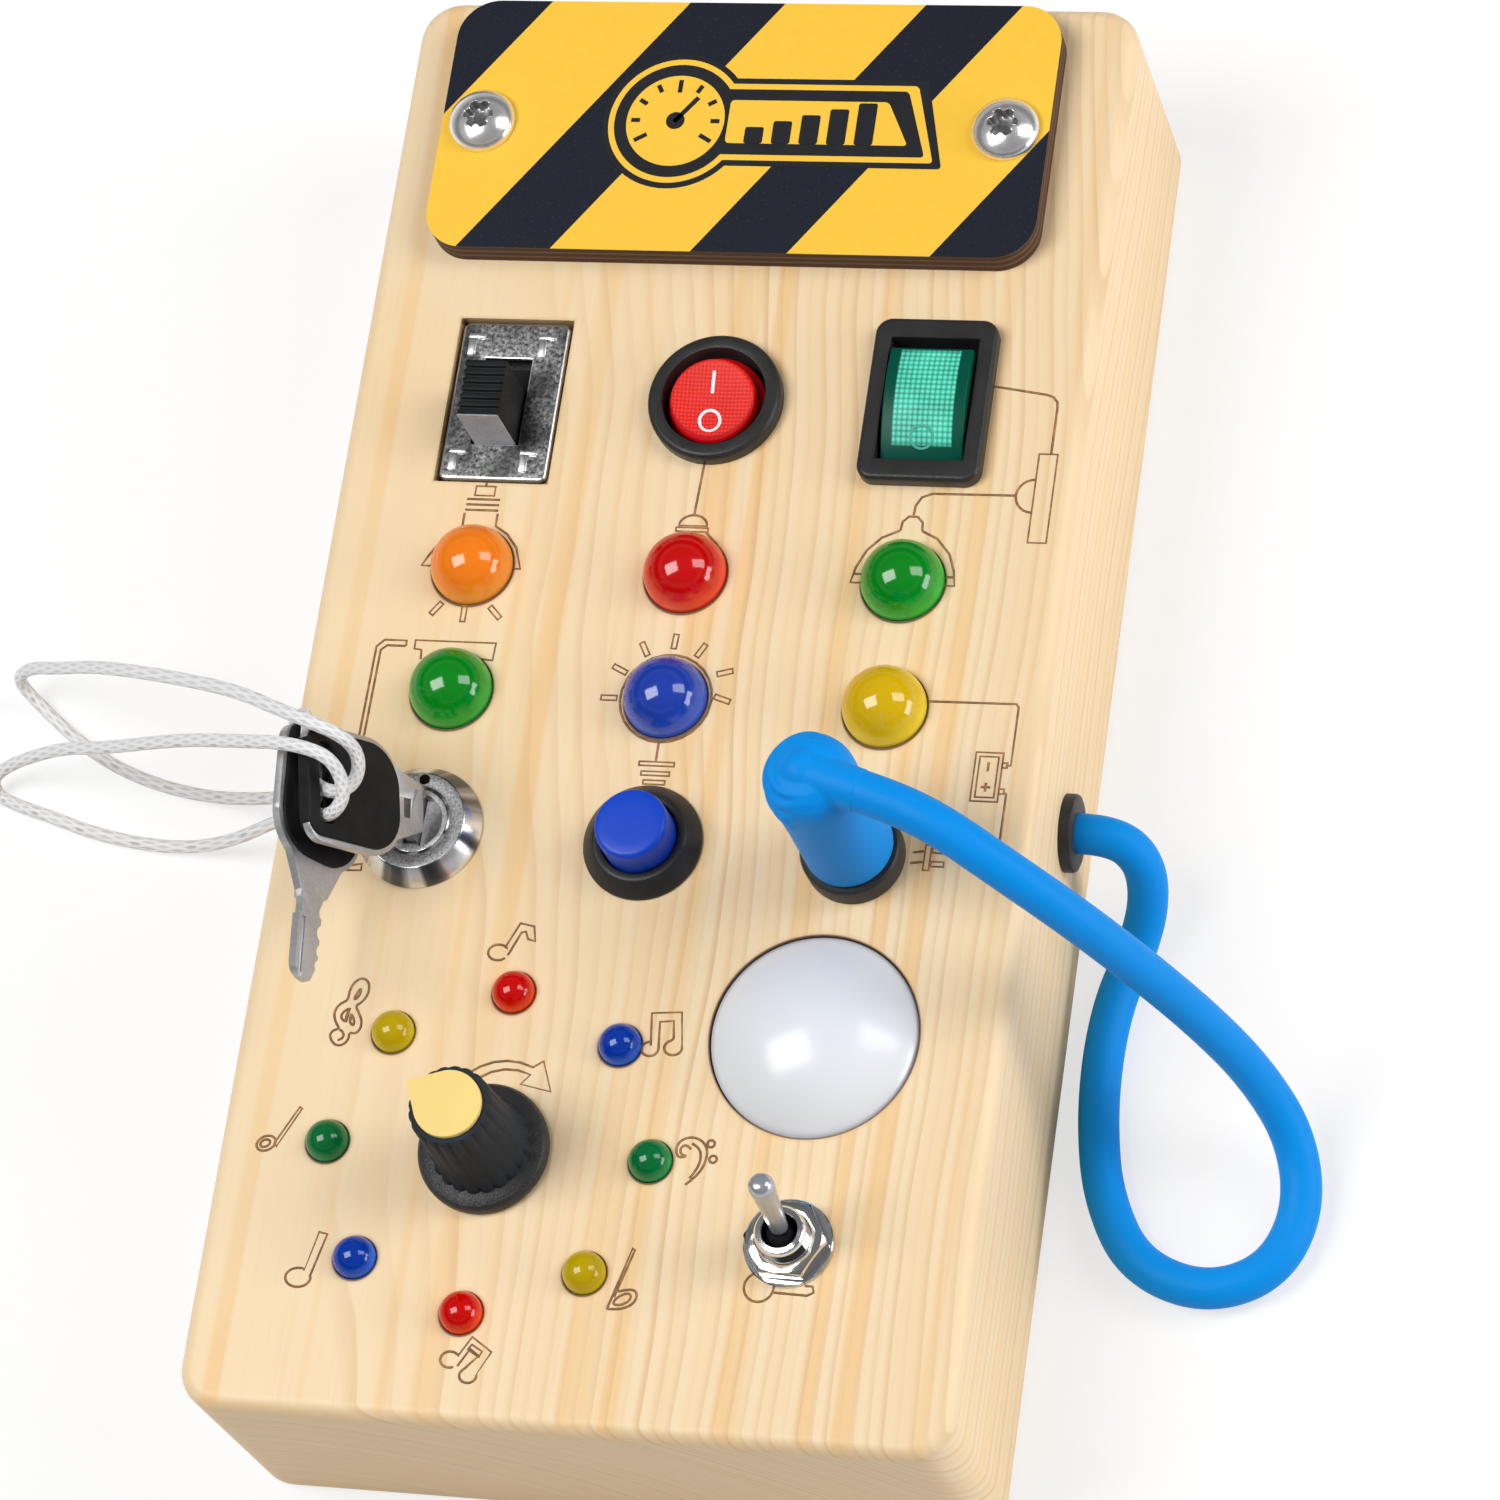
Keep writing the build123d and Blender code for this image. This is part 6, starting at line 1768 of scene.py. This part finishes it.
# ------------------------------------------------------------------ switches of the top row
@dataclass
class SlideSwitch(Assembly):
    """Slide switch in a pressed steel cover."""

    lugs: tuple[Spot, ...] = ((-30.7, 43.5), (-21.9, 43.5), (-30.7, 28.3), (-21.9, 28.3))

    def build(self) -> None:
        """Softens the cover, adds its pressed lugs and softens the ribbed slider."""
        cover = self.rounded("slide_cover", "slide_switch_cover", 0.16, ZINC)
        # the cover's rounded edges take the brighter steel: a painted highlight
        dress_part(cover, LUG_STEEL_AND_RIM_HIGHLIGHT, lambda face: 0.15 < face.normal.z < 0.96)
        self.carry(self.lug_row(), LUG_STEEL_AND_RIM_HIGHLIGHT)
        knob, node = "slide_knob", "slide_switch_slider"
        slider = self.rounded(knob, node, 0.14, SLIDER_BLACK, Body.SLIDER)
        spots = (vertex.co for vertex in slider.data.vertices)
        front = min(spot.y for spot in spots if spot.z > (FACE + 1.0) * MM) + 0.2 * MM
        # the slider's front face is painted light grey: a painted reflection on the black plastic
        dress_part(slider, SLIDER_FRONT_SHEEN, lambda face: face.center.y < front)
        self.keep(BLACK_MATTE, "slide_switch_base")
        self.keep(BRASS, "switch_terminals")

    def lug_row(self) -> bpy.types.Object:
        """Four pressed lugs, each a tab with a bar across its top."""
        parts = [
            (size, (x + right, y + up, 0.0))
            for x, y in self.lugs
            for size, right, up in (((0.95, 2.5, 0.5), -0.5, -0.4), ((2.1, 0.6, 0.56), 0.0, 0.8))
        ]
        made = blocks("slide_cover_lugs", parts)
        return made.soften(0.12, 2, 25.0).seal(at(0.0, 0.0, -0.2))


def mark_ring(name: str, radius: float, thickness: float, flat: float) -> Model:
    """A flattened ring as a mark on a rocker.

    Args:
        name: name of the mark.
        radius: radius of its middle line.
        thickness: radius of its section.
        flat: share of its height that is left.

    Returns:
        The mark.
    """
    sizes = {"major_radius": radius, "minor_radius": thickness}
    made = Model(name, Shape.RING, major_segments=40, minor_segments=8, **sizes)
    return made.all().resize((1.0, 1.0, flat))


@dataclass
class RoundRocker(Assembly):
    """Round rocker switch with a red prism button marked I and O."""

    pivot: float = -2.3
    tilt: float = 11.0

    def on_button(self, y: float, height: float) -> Matrix:
        """Place of a piece on the tilted button."""
        return at(*ROUND_SPOT, self.pivot, self.tilt) @ shift(0.0, y, height)

    def build(self) -> None:
        """Builds bezel, button and marks."""
        self.rounded("round_bezel", "round_rocker_housing", 0.12, BLACK_SATIN)
        profile = [
            (6.0, -3.2), (6.0, 1.6), (5.92, 1.85), (5.70, 1.98), (5.24, 2.10), (5.2, 4.35),
            (5.1, 4.72), (4.85, 4.9), (4.5, 4.86), (2.5, 4.72), (0.0, 4.68),
        ]
        button = turned("round_button", profile, 72)
        axle = {"radius": 0.75, "depth": 13.4, "rotation": (0, math.pi / 2, 0)}
        button.add(Shape.CYLINDER, vertices=24, **axle)
        ride = {"body": Body.ROUND_ROCKER}
        self.carry(button.seal(self.on_button(0.0, 0.0)), RED_PRISM, "round_rocker_button", **ride)
        stroke = Model("mark_i", Shape.CUBE, scale=(0.42, 2.8, 0.14)).soften(0.05, 1)
        self.carry(stroke.seal(self.on_button(2.3, 4.76)), WHITE_MARK, **ride)
        ring = mark_ring("mark_o", 1.25, 0.20, 0.4)
        self.carry(ring.seal(self.on_button(-2.4, 4.75)), WHITE_MARK, **ride)


@dataclass
class RectRocker(Assembly):
    """Rectangular rocker switch with a green prism button."""

    pivot: float = -2.9
    tilt: float = 9.5
    mark_place: Point = (0.0, -4.1, 5.47)
    mark_tilt: float = 13.5

    def build(self) -> None:
        """Builds bezel, button and mark."""
        body = Body.RECT_ROCKER
        self.rounded("rect_bezel", "rect_rocker_housing", 0.12, BLACK_SATIN)
        self.rounded("rect_button", "rect_rocker_button", 0.30, GREEN_PRISM, body, 3)
        place = at(*RECT_SPOT, self.pivot, self.tilt) @ shift(*self.mark_place)
        ring = mark_ring("mark_ring", 1.35, 0.16, 0.5).seal(place @ spin(self.mark_tilt, "X"))
        self.carry(ring, GREEN_MARK, body=body)


# ------------------------------------------------------------------ lamps
def lamp(name: str, radius: float, flange: float, depth: float, spot: Spot) -> bpy.types.Object:
    """Round-topped lamp with its flange and two legs.

    Args:
        name: name of the lamp.
        radius: radius of its body and dome.
        flange: radius of its flange.
        depth: depth of its foot under the face.
        spot: its place on the face.

    Returns:
        The lamp.
    """
    seat = 1.5 - depth
    foot = [(flange, -depth), (flange, seat), (radius, seat), (radius, 0.0)]
    made = turned(name, [*foot, *dome(radius, 0.0, radius, 14)], 56)
    for side in (-1.27, 1.27):
        made.add(Shape.CUBE, scale=(0.5, 0.5, 3.0), location=(side, 0.0, -depth - 1.5))
    return made.seal(at(*spot), ROUND_ANGLE)


@dataclass
class Lamps(Assembly):
    """The six big lamps and the ring of eight small ones."""

    big_colours: tuple[str, ...] = ("orange", "red", "green", "green", "blue", "yellow")
    big_nodes: tuple[str, ...] = (
        "lamp_orange", "lamp_red", "lamps_green", "", "lamp_blue", "lamp_yellow",
    )
    ring_colours: tuple[str, ...] = ("red", "blue", "green", "yellow") * 2
    ring_nodes: tuple[str, ...] = (
        "small_lamps_red", "small_lamps_blue", "small_lamps_green", "small_lamps_yellow", *[""] * 4,
    )

    def build(self) -> None:
        """Builds one lamp of each size and copies it round."""
        first = lamp("big_lamp_1", BIG_RADIUS, 5.5, 8.5, BIG_SPOTS[0])
        self.spread(first, "big_lamp", BIG_SPOTS, BIG_LAMP, self.big_colours, self.big_nodes)
        first = lamp("small_lamp_1", SMALL_RADIUS, 2.9, 6.1, RING_SPOTS[0])
        self.spread(first, "small_lamp", RING_SPOTS, SMALL_LAMP, self.ring_colours, self.ring_nodes)
        self.keep(CIRCUIT, "lamp_board", "ring_lamp_board")

    def spread(
        self,
        first: bpy.types.Object,
        name: str,
        spots: Sequence[Spot],
        finishes: dict[str, Finish],
        colours: Sequence[str],
        nodes: Sequence[str],
    ) -> None:
        """Copies a lamp to every spot.

        Args:
            first: lamp at the first spot.
            name: start of the lamps' names.
            spots: where they stand.
            finishes: finish of each colour.
            colours: colour of each lamp.
            nodes: node that each one stands for, or nothing where another does.
        """
        for index, (spot, colour, node) in enumerate(zip(spots, colours, nodes)):
            piece = copied(first, f"{name}_{index + 1}", spots[0], spot) if index else first
            self.carry(piece, finishes[colour], *([node] if node else []))


@dataclass
class DomeLamp(Assembly):
    """Frosted dome over its small board."""

    def build(self) -> None:
        """Builds the lens."""
        foot = [
            (10.2, -2.6), (10.2, -7.5), (13.2, -7.5), (13.2, -4.02), (12.03, -4.02),
            (12.03, -0.45), (11.95, -0.25),
        ]
        lens = turned("dome_lens_shell", [*foot, *dome(11.85, -0.15, 5.15, 16)], 96)
        self.carry(lens.seal(at(*DOME_SPOT), ROUND_ANGLE), FROSTED, "dome_lens")
        self.keep(CIRCUIT, "dome_lamp_board")


# ------------------------------------------------------------------ key lock and keys
@dataclass
class KeyLock(Assembly):
    """Chromed key lock, the key in it and the spare key on its string."""

    bend: float = 5.0
    lean: Point = (-0.40, -0.19, 0.895)
    across: Point = (-0.115, 0.992, 0.037)
    spare_offset: float = 4.2
    spare_middle: float = 10.8
    spare_turn: float = -99.3
    bow_middle: float = 9.8
    bow_start: float = 1.8
    bow_length: float = 16.0
    bow_width: float = 13.9
    bow_shift: float = 0.55
    shoulder: float = 4.9
    rim: float = 0.62
    slot_at: float = 15.0
    plate_share: float = 0.56
    blade_share: float = 0.83
    blade_edge: float = 1.55
    # place along the blade, depth and width of each notch of the bitting
    bitting: tuple[Point, ...] = (
        (-3.3, 0.42, 2.4), (-5.8, 0.50, 2.0), (-8.0, 0.35, 1.8), (-9.8, 0.45, 1.5),
    )
    plug_top: float = 2.6
    recess_depth: float = 0.6

    def key_frame(self) -> Matrix:
        """Frame of the front key: X across its bow, Y along it and Z out of it."""
        along = Vector(self.lean).normalized()
        out = Vector(self.across).cross(along).normalized()
        turn = Matrix((along.cross(out), along, out)).transposed().to_4x4()
        return shift(*LOCK_SPOT, FACE + self.bend) @ turn

    def spare_frame(self) -> Matrix:
        """Frame of the spare key."""
        place = self.key_frame() @ shift(0.0, self.spare_middle, -self.spare_offset)
        return place @ spin(self.spare_turn, "Z") @ shift(0.0, -self.bow_middle, 0.0)

    def build(self) -> None:
        """Builds the lock, then the keys."""
        self.build_lock()
        front, spare = self.key_frame() @ shift(self.bow_shift, 0.0, 0.0), self.spare_frame()
        for piece, finish, node in (
            (self.front_key(front), KEY_STEEL, "key_metal"),
            (self.spare_key(spare), KEY_STEEL, "spare_key_metal"),
            (self.cover("front_key_cover").seal(front), BLACK_GLOSS, "key_cover"),
            (self.cover("spare_key_inlay").seal(spare), BLACK_GLOSS, "spare_key_cover"),
        ):
            self.carry(piece, finish, node, body=Body.LOCK_CORE)
        self.keep(STRING_KNOT, "string_knot")

    def build_lock(self) -> None:
        """Bezel with its cast ring face, nut and plug."""
        profile = [
            (5.8, -15.5), (5.8, -0.02), (7.38, 0.0), (7.45, 0.08), (7.45, 0.42), (7.38, 0.55),
            (6.05, 2.58), (5.97, 2.66), (5.86, 2.70), (4.42, 2.70), (4.30, 2.62), (3.95, 2.45),
            (3.95, -15.5),
        ]
        bezel = turned("lock_bezel", profile, 96, ring=True)
        dimple = Model("dimple", Shape.CYLINDER, vertices=24, radius=0.65, depth=1.0)
        bezel = bezel.cut(dimple, shift(0.4, 5.1, 2.7)).seal(at(*LOCK_SPOT))
        self.carry(bezel, BEVEL_CHROME, "key_lock_barrel")
        top, recess = (FACE + 1.9) * MM, FACE + self.plug_top - self.recess_depth

        def on_ring_face(face: Face) -> bool:
            """True for the flat ring and its dimple."""
            return face.center.z > top and 4.35 < from_axis(face, LOCK_SPOT) < 5.9

        def on_plug_face(face: Face) -> bool:
            """True for the plug's flat top."""
            return face.normal.z > 0.98 and face.center.z / MM > recess + 0.05

        def in_recess(face: Face) -> bool:
            """True for the floor of the plug's recess."""
            return face.normal.z > 0.9 and abs(face.center.z / MM - recess) < 0.05

        dress_part(bezel, CAST_GREY, on_ring_face)
        plug = self.rounded("lock_plug", "key_lock_plug", 0.10, CHROME, Body.LOCK_CORE)
        dress_part(plug, PLUG_FACE, on_plug_face)
        # the recess floor is darkened: painted shade
        dress_part(plug, RECESS_SHADE_STEEL, in_recess)
        self.keep(INNER_STEEL, "key_lock_nut")

    def thinned(self, name: str, node: str, frame: Matrix) -> Model:
        """A key's metal, with its bow filed down to a thin plate.

        Args:
            name: name of the piece.
            node: node that it is taken from.
            frame: the key's frame.

        Returns:
            The piece in the key's frame.
        """
        made = Model.of_node(name, node, frame).pick(Pick.VERTS, lambda spot, _: spot.y > 0.3)
        return made.resize((1.0, 1.0, self.plate_share))

    def front_key(self, frame: Matrix) -> bpy.types.Object:
        """Metal of the key in the lock, with a window in its neck."""
        key = self.thinned("front_key", "key_metal", frame)
        window = Model("window", Shape.CUBE, scale=(2.3, 1.1, 4.0))
        return key.cut(window, shift(-0.3, 0.9, 0.0)).soften(0.10).seal(frame)

    def spare_key(self, frame: Matrix) -> bpy.types.Object:
        """Metal of the spare key, with its bitting, step and groove."""
        key = self.thinned("spare_key", "spare_key_metal", frame)
        key.pick(Pick.VERTS, lambda spot, _: spot.y <= 0.3).resize((1.0, 1.0, self.plate_share))
        key.pick(Pick.VERTS, lambda spot, _: spot.y < -2.0)
        key.resize((1.0, self.blade_share, 1.0), (0.0, -2.0, 0.0))
        blank = Model("blank", Shape.CUBE, scale=(3.0, 13.6, 4.0))
        key.cut(blank, shift(self.blade_edge + 1.5, -8.4, 0.0))
        for along, deep, wide in self.bitting:
            notch = Model("notch", Shape.CYLINDER, vertices=32, radius=wide / 2, depth=4.0)
            key.cut(notch, shift(self.blade_edge + wide / 2 - deep, along, 0.0))
        step = Model("step", Shape.CUBE, scale=(1.0, 1.9, 4.0))
        step.upright(lambda centre: centre.x > 0.4).bevel(0.35, 3)
        key.cut(step, shift(-2.25, -3.4, 0.0))
        tip = Model("tip", Shape.CUBE, scale=(3.0, 6.0, 4.0))
        key.cut(tip, shift(2.15, -12.0, 0.0) @ spin(-24, "Z"))
        groove = Model("groove", Shape.CUBE, scale=(0.55, 7.6, 0.5))
        return key.cut(groove, shift(-1.25, -8.4, 0.55)).soften(0.08).seal(frame)

    def cover(self, name: str) -> Model:
        """Black cover that wraps a key's bow up to its metal rim, slotted for the string."""
        low, high = self.bow_start + self.rim, self.bow_start + self.bow_length + 0.12
        edge = self.bow_width / 2
        made = Model(name, Shape.CUBE, scale=(self.bow_width - 2 * self.rim, high - low, 1.8))
        made.upright(lambda centre: centre.y < -1.0).bevel(self.shoulder, 10)
        made.upright(lambda centre: centre.y > 7.0 and abs(centre.x) > edge - 2.0).bevel(2.1, 7)
        made.all().move((0.0, (low + high) / 2, 0.0))
        opening = Model("slot", Shape.CUBE, scale=(9.5, 2.2, 4.0)).upright().bevel(0.6, 3)
        return made.cut(opening, shift(0.0, self.slot_at, 0.0)).soften(0.22, 3)


# ------------------------------------------------------------------ push button
@dataclass
class PushButton(Assembly):
    """Blue push button in a black bezel."""

    centre: Spot = (-0.25, -19.8)
    travel: float = 2.5
    slack: float = 0.1

    def build(self) -> None:
        """Builds bezel and cap, and copies the spring that the cap presses together."""
        profile = [
            (5.9, -15.5), (5.9, -0.02), (6.95, 0.0), (7.05, 0.10), (7.05, 0.40), (6.96, 0.56),
            (5.62, 2.16), (5.48, 2.26), (5.30, 2.30), (4.78, 2.30), (4.65, 2.24), (4.60, 2.10),
            (4.60, -0.5), (5.0, -0.5), (5.0, -14.3),
        ]
        bezel = turned("button_bezel", profile, 80).seal(at(*self.centre))
        self.carry(bezel, BLACK_SATIN, "push_button_bezel")
        profile = [
            (4.90, -2.55), (4.90, -0.55), (4.45, -0.55), (4.42, 0.0), (4.32, 5.50), (4.27, 5.90),
            (4.12, 6.18), (3.88, 6.34), (3.60, 6.40), (2.40, 6.43), (0.0, 6.44),
        ]
        cap = turned("button_cap", profile, 80).seal(at(*self.centre), ROUND_ANGLE)
        self.carry(cap, BLUE_CAP, "push_button_cap", body=Body.BUTTON)
        self.keep(INNER_STEEL, "push_button_nut")
        spring = Model.of_node("button_spring", "push_button_spring").seal()
        self.carry(spring, INNER_STEEL, "push_button_spring")
        foot, top = (end(vertex.co.z for vertex in spring.data.vertices) for end in (min, max))
        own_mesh(spring)


# ------------------------------------------------------------------ socket and plug
def share(value: float) -> float:
    """A value kept between 0 and 1."""
    return min(1.0, max(0.0, value))


@dataclass
class PlugAndSocket(Assembly):
    """Black socket, and a blue rubber plug whose cord leaves sideways from a round head."""

    centre: Spot = (24.9, -20.1)
    neck_height: float = 24.5
    neck_turn: float = -16.0
    root: float = -0.7
    ridge_pitch: float = 1.15
    ridge_height: float = 0.21
    cord_exit: Spot = (-9.6, 15.0)

    def build(self) -> None:
        """Builds socket, boot and grommet."""
        profile = [
            (4.0, -16.5), (4.0, -0.02), (5.78, 0.0), (5.90, 0.12), (5.90, 2.75), (5.80, 3.02),
            (5.55, 3.20), (2.05, 3.20), (1.88, 3.10), (1.85, 2.9), (1.85, -10.8),
        ]
        collar = turned("socket_collar", profile, 72).seal(at(*self.centre))
        self.carry(collar, BLACK_MATTE, "socket_barrel")
        self.carry(self.boot(), BLUE_RUBBER, "plug_boot", body=Body.PLUG)
        self.keep(CHROME, "plug_pin")
        self.keep(INNER_STEEL, "socket_nut")
        profile = [
            (3.2, -7.0), (3.2, 0.0), (4.6, 0.0), (4.6, 1.0), (4.46, 1.34), (4.1, 1.5), (2.2, 1.5),
            (0.0, 1.5),
        ]
        sideways = shift(HALF_WIDTH, *self.cord_exit) @ spin(90, "Y")
        flange = turned("cord_grommet_ring", profile, 64).seal(sideways)
        self.carry(flange, BLACK_MATTE, "cord_grommet")

    def boot(self) -> bpy.types.Object:
        """Boot and neck melted into one, with ridges round the cord's root."""
        profile = [
            (5.02, 3.42), (5.20, 3.50), (5.25, 3.75), (5.20, 8.0), (5.15, 14.0), (5.22, 18.5),
            (5.30, 21.5), (5.28, 23.2), (4.95, 24.4), (4.25, 25.4), (3.20, 26.1), (1.60, 26.4),
            (0.0, 26.45),
        ]
        boot = turned("plug_boot_body", profile, 72)
        turn = math.radians(self.neck_turn)
        way = Vector((math.cos(turn), math.sin(turn), 0.0))
        neck = Vector((0.0, 0.0, self.neck_height))
        ball = {"segments": 32, "ring_count": 16, "radius": 2.78}
        boot.add(Shape.BALL, location=way * self.root + neck, **ball)
        stem = {"vertices": 48, "radius": 2.5, "depth": 7.3, "rotation": (0.0, math.pi / 2, turn)}
        boot.add(Shape.CYLINDER, location=way * 2.95 + neck, **stem)
        boot.modify("REMESH", mode="VOXEL", voxel_size=0.2, use_smooth_shade=True)
        boot.modify("SMOOTH", factor=0.5, iterations=5)
        bpy.ops.object.mode_set(mode="OBJECT")
        self.ridge(boot.object.data, way)
        bpy.ops.object.mode_set(mode="EDIT")
        return boot.seal(at(*self.centre), 60.0)

    def ridge(self, mesh: bpy.types.Mesh, way: Vector) -> None:
        """Raises rounded ridges in rings round the root of the cord.

        Args:
            mesh: mesh of the boot, upright about Z.
            way: direction in which the cord leaves.
        """
        root = way * self.root + Vector((0.0, 0.0, self.neck_height + 0.8))
        normals = [vertex.normal.copy() for vertex in mesh.vertices]
        for vertex, normal in zip(mesh.vertices, normals):
            arm = vertex.co - root
            reach = arm.length
            fade = share((1.2 - arm.dot(way)) / 1.5)
            fade *= share((8.2 - reach) / 1.5) * share((reach - 2.9) / 0.8)
            height = self.ridge_height * fade * math.cos(TURN * reach / self.ridge_pitch)
            vertex.co = vertex.co + normal * height


# ------------------------------------------------------------------ selector knob
@dataclass
class SelectorKnob(Assembly):
    """Fluted black knob on a rotary switch, with a yellow pointer cap."""

    centre: Spot = (-13.0, -57.9)
    flutes: int = 20
    grip: Spot = (2.06, 15.47)
    pointer_angle: float = 155.0

    def build(self) -> None:
        """Builds knob and cap."""
        knob = self.carry(self.knob(), KNOB_GRIP, "knob", body=Body.KNOB)
        dress_part(knob, KNOB_SKIRT, lambda face: face.center.z < (FACE + 2.1) * MM)
        self.carry(self.cap(), YELLOW_CAP, "knob_pointer_cap", body=Body.KNOB)
        self.keep(INNER_STEEL, "rotary_switch_nut", "rotary_switch_shaft")
        self.keep(BLACK_MATTE, "rotary_switch_body")

    def knob(self) -> bpy.types.Object:
        """Skirt, fluted grip and crown."""
        steps = self.flutes * 6
        profile = [
            (6.9, 1.2), (6.9, 0.46), (6.96, 0.40), (7.58, 0.40), (7.65, 0.48), (7.65, 1.25),
            (7.52, 1.55), (7.30, 1.85), (7.18, 1.96), (6.00, 2.04), (5.84, 2.12), (5.76, 2.40),
            (5.52, 3.4), (5.30, 4.5), (5.14, 5.8), (4.98, 9.0), (4.83, 14.2), (4.79, 14.9),
            (4.69, 15.28), (4.46, 15.48), (4.10, 15.50),
        ]
        made = turned("selector_knob", profile, steps)
        low, high = self.grip

        def in_flute(columns: tuple[int, ...], at_ends: bool) -> Callable[[Vector, object], bool]:
            """Test for the columns of vertices that lie in a flute, or in its scalloped ends."""

            def test(spot: Vector, _: object) -> bool:
                """True for the vertices of these columns."""
                column = round(math.atan2(spot.y, spot.x) / TURN * steps) % 6
                end = not low + 1.0 < spot.z < high - 1.4
                inside = low < spot.z < high and 4.0 < math.hypot(spot.x, spot.y) < 6.2
                return column in columns and inside and (end or not at_ends)

            return test

        for columns, *parts in (
            ((1, 5), 0.9995, 0.998), ((2, 4), 0.996, 0.987), ((3,), 0.985, 0.955),
        ):
            for at_ends, part in enumerate(parts):
                made.pick(Pick.VERTS, in_flute(columns, bool(at_ends))).resize((part, part, 1.0))
        return made.seal(at(*self.centre), SHARP_ANGLE)

    def cap(self) -> bpy.types.Object:
        """Flat teardrop: a disc and a tip, wrapped."""
        disc = {"vertices": 64, "radius": 3.9, "depth": 0.7, "end_fill_type": "NGON"}
        made = Model("pointer_cap", Shape.CYLINDER, **disc)
        made.upright(lambda centre: centre.x > 3.89 and abs(centre.y) < 0.01)
        made.extrude((1.75, 0.0, 0.0)).all()
        bpy.ops.mesh.convex_hull()
        place = at(*self.centre, 15.5 + 0.35, turn=self.pointer_angle)
        return made.soften(0.22, 3, ROUND_ANGLE).seal(place, 30.0)


# ------------------------------------------------------------------ toggle switch
@dataclass
class ToggleSwitch(Assembly):
    """Chromed toggle switch with a threaded bushing, hexagonal nut and washer."""

    centre: Spot = (23.7, -66.5)
    tilt: float = 9.0
    pivot: float = 3.0

    def build(self) -> None:
        """Builds washer, nut, bushing and lever."""
        profile = [(3.1, 0.0), (5.05, 0.0), (5.15, 0.08), (5.15, 0.42), (5.05, 0.5), (3.1, 0.5)]
        washer = turned("toggle_washer_ring", profile, 72, ring=True).seal(at(*self.centre))
        self.carry(washer, CHROME, "toggle_washer")
        self.rounded("toggle_nut_body", "toggle_nut", 0.14, CHROME)
        bushing = self.carry(self.bushing(), CHROME, "toggle_body")
        below = (FACE - 3.9) * MM

        def body_or_shaded_bore(face: Face) -> bool:
            """True for the switch's body and the bore of the bushing."""
            return from_axis(face, self.centre) < 2.04 or face.center.z < below

        # the bore of the chrome bushing is black gloss: painted shade
        dress_part(bushing, BLACK_GLOSS, body_or_shaded_bore)
        lever = self.carry(self.lever(), LEVER_STEEL, "toggle_lever", body=Body.TOGGLE)
        pivot = Vector((*self.centre, FACE + self.pivot)) * MM
        # the lever's ball is black gloss: painted shade and dark reflection in the bushing's mouth
        dress_part(lever, BLACK_GLOSS, lambda face: (face.center - pivot).length < 2.3 * MM)

    def bushing(self) -> bpy.types.Object:
        """Threaded bushing on the switch's black body."""
        thread = [
            spot
            for low in (2.3 + step * 0.48 for step in range(5))
            for spot in ((2.78, low), (3.0, low + 0.24))
        ]
        profile = [
            (1.95, -4.0), (3.0, -4.0), (3.0, 2.2), *thread, (2.86, 4.78), (2.68, 4.98), (2.14, 5.0),
            (2.03, 4.9), (1.98, 4.6),
        ]
        made = turned("toggle_bushing", profile, 64, ring=True)
        made.add(Shape.CUBE, scale=(8.0, 13.0, 9.9), location=(0.0, 0.0, -9.0))
        return made.seal(at(*self.centre), 25.0)

    def lever(self) -> bpy.types.Object:
        """Tapered lever with a round tip, on its ball."""
        angles = (-1.05, -0.6, -0.2, 0.2, 0.6, 0.9)
        ball = [(1.9 * math.cos(angle), 1.9 * math.sin(angle)) for angle in angles]
        profile = [
            (0.78, -3.0), (0.84, -1.9), *ball, (1.02, 1.62), (1.04, 2.2), (1.30, 8.5),
            (1.46, 11.1), (1.47, 11.6), (1.40, 12.1), (1.18, 12.55), (0.80, 12.82), (0.38, 12.9),
            (0.0, 12.92),
        ]
        place = at(*self.centre, self.pivot, -self.tilt)
        return turned("toggle_stick", profile, 48).seal(place, ROUND_ANGLE)


# ------------------------------------------------------------------ battery bay
@dataclass
class BatteryBay(Assembly):
    """Holder, cells and contacts behind the sign plate."""

    def build(self) -> None:
        """Dresses the pieces."""
        self.keep(BLACK_MATTE, "battery_holder")
        self.keep(BRASS, "battery_contacts")
        self.keep(CELL, "battery_cells")


def main() -> None:
    """Builds the studio and every sub-assembly."""
    logging.basicConfig(level=logging.INFO, format="%(name)s %(message)s")
    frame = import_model()
    rest()
    nodes = frame["nodes"]
    Studio().build()
    for assembly in (
        WoodenBlock, SignPlate, SlideSwitch, RoundRocker, RectRocker, Lamps, DomeLamp, KeyLock,
        PushButton, PlugAndSocket, SelectorKnob, ToggleSwitch, BatteryBay, Cords,
    ):
        assembly(nodes).build()


if __name__ == "__main__":
    main()
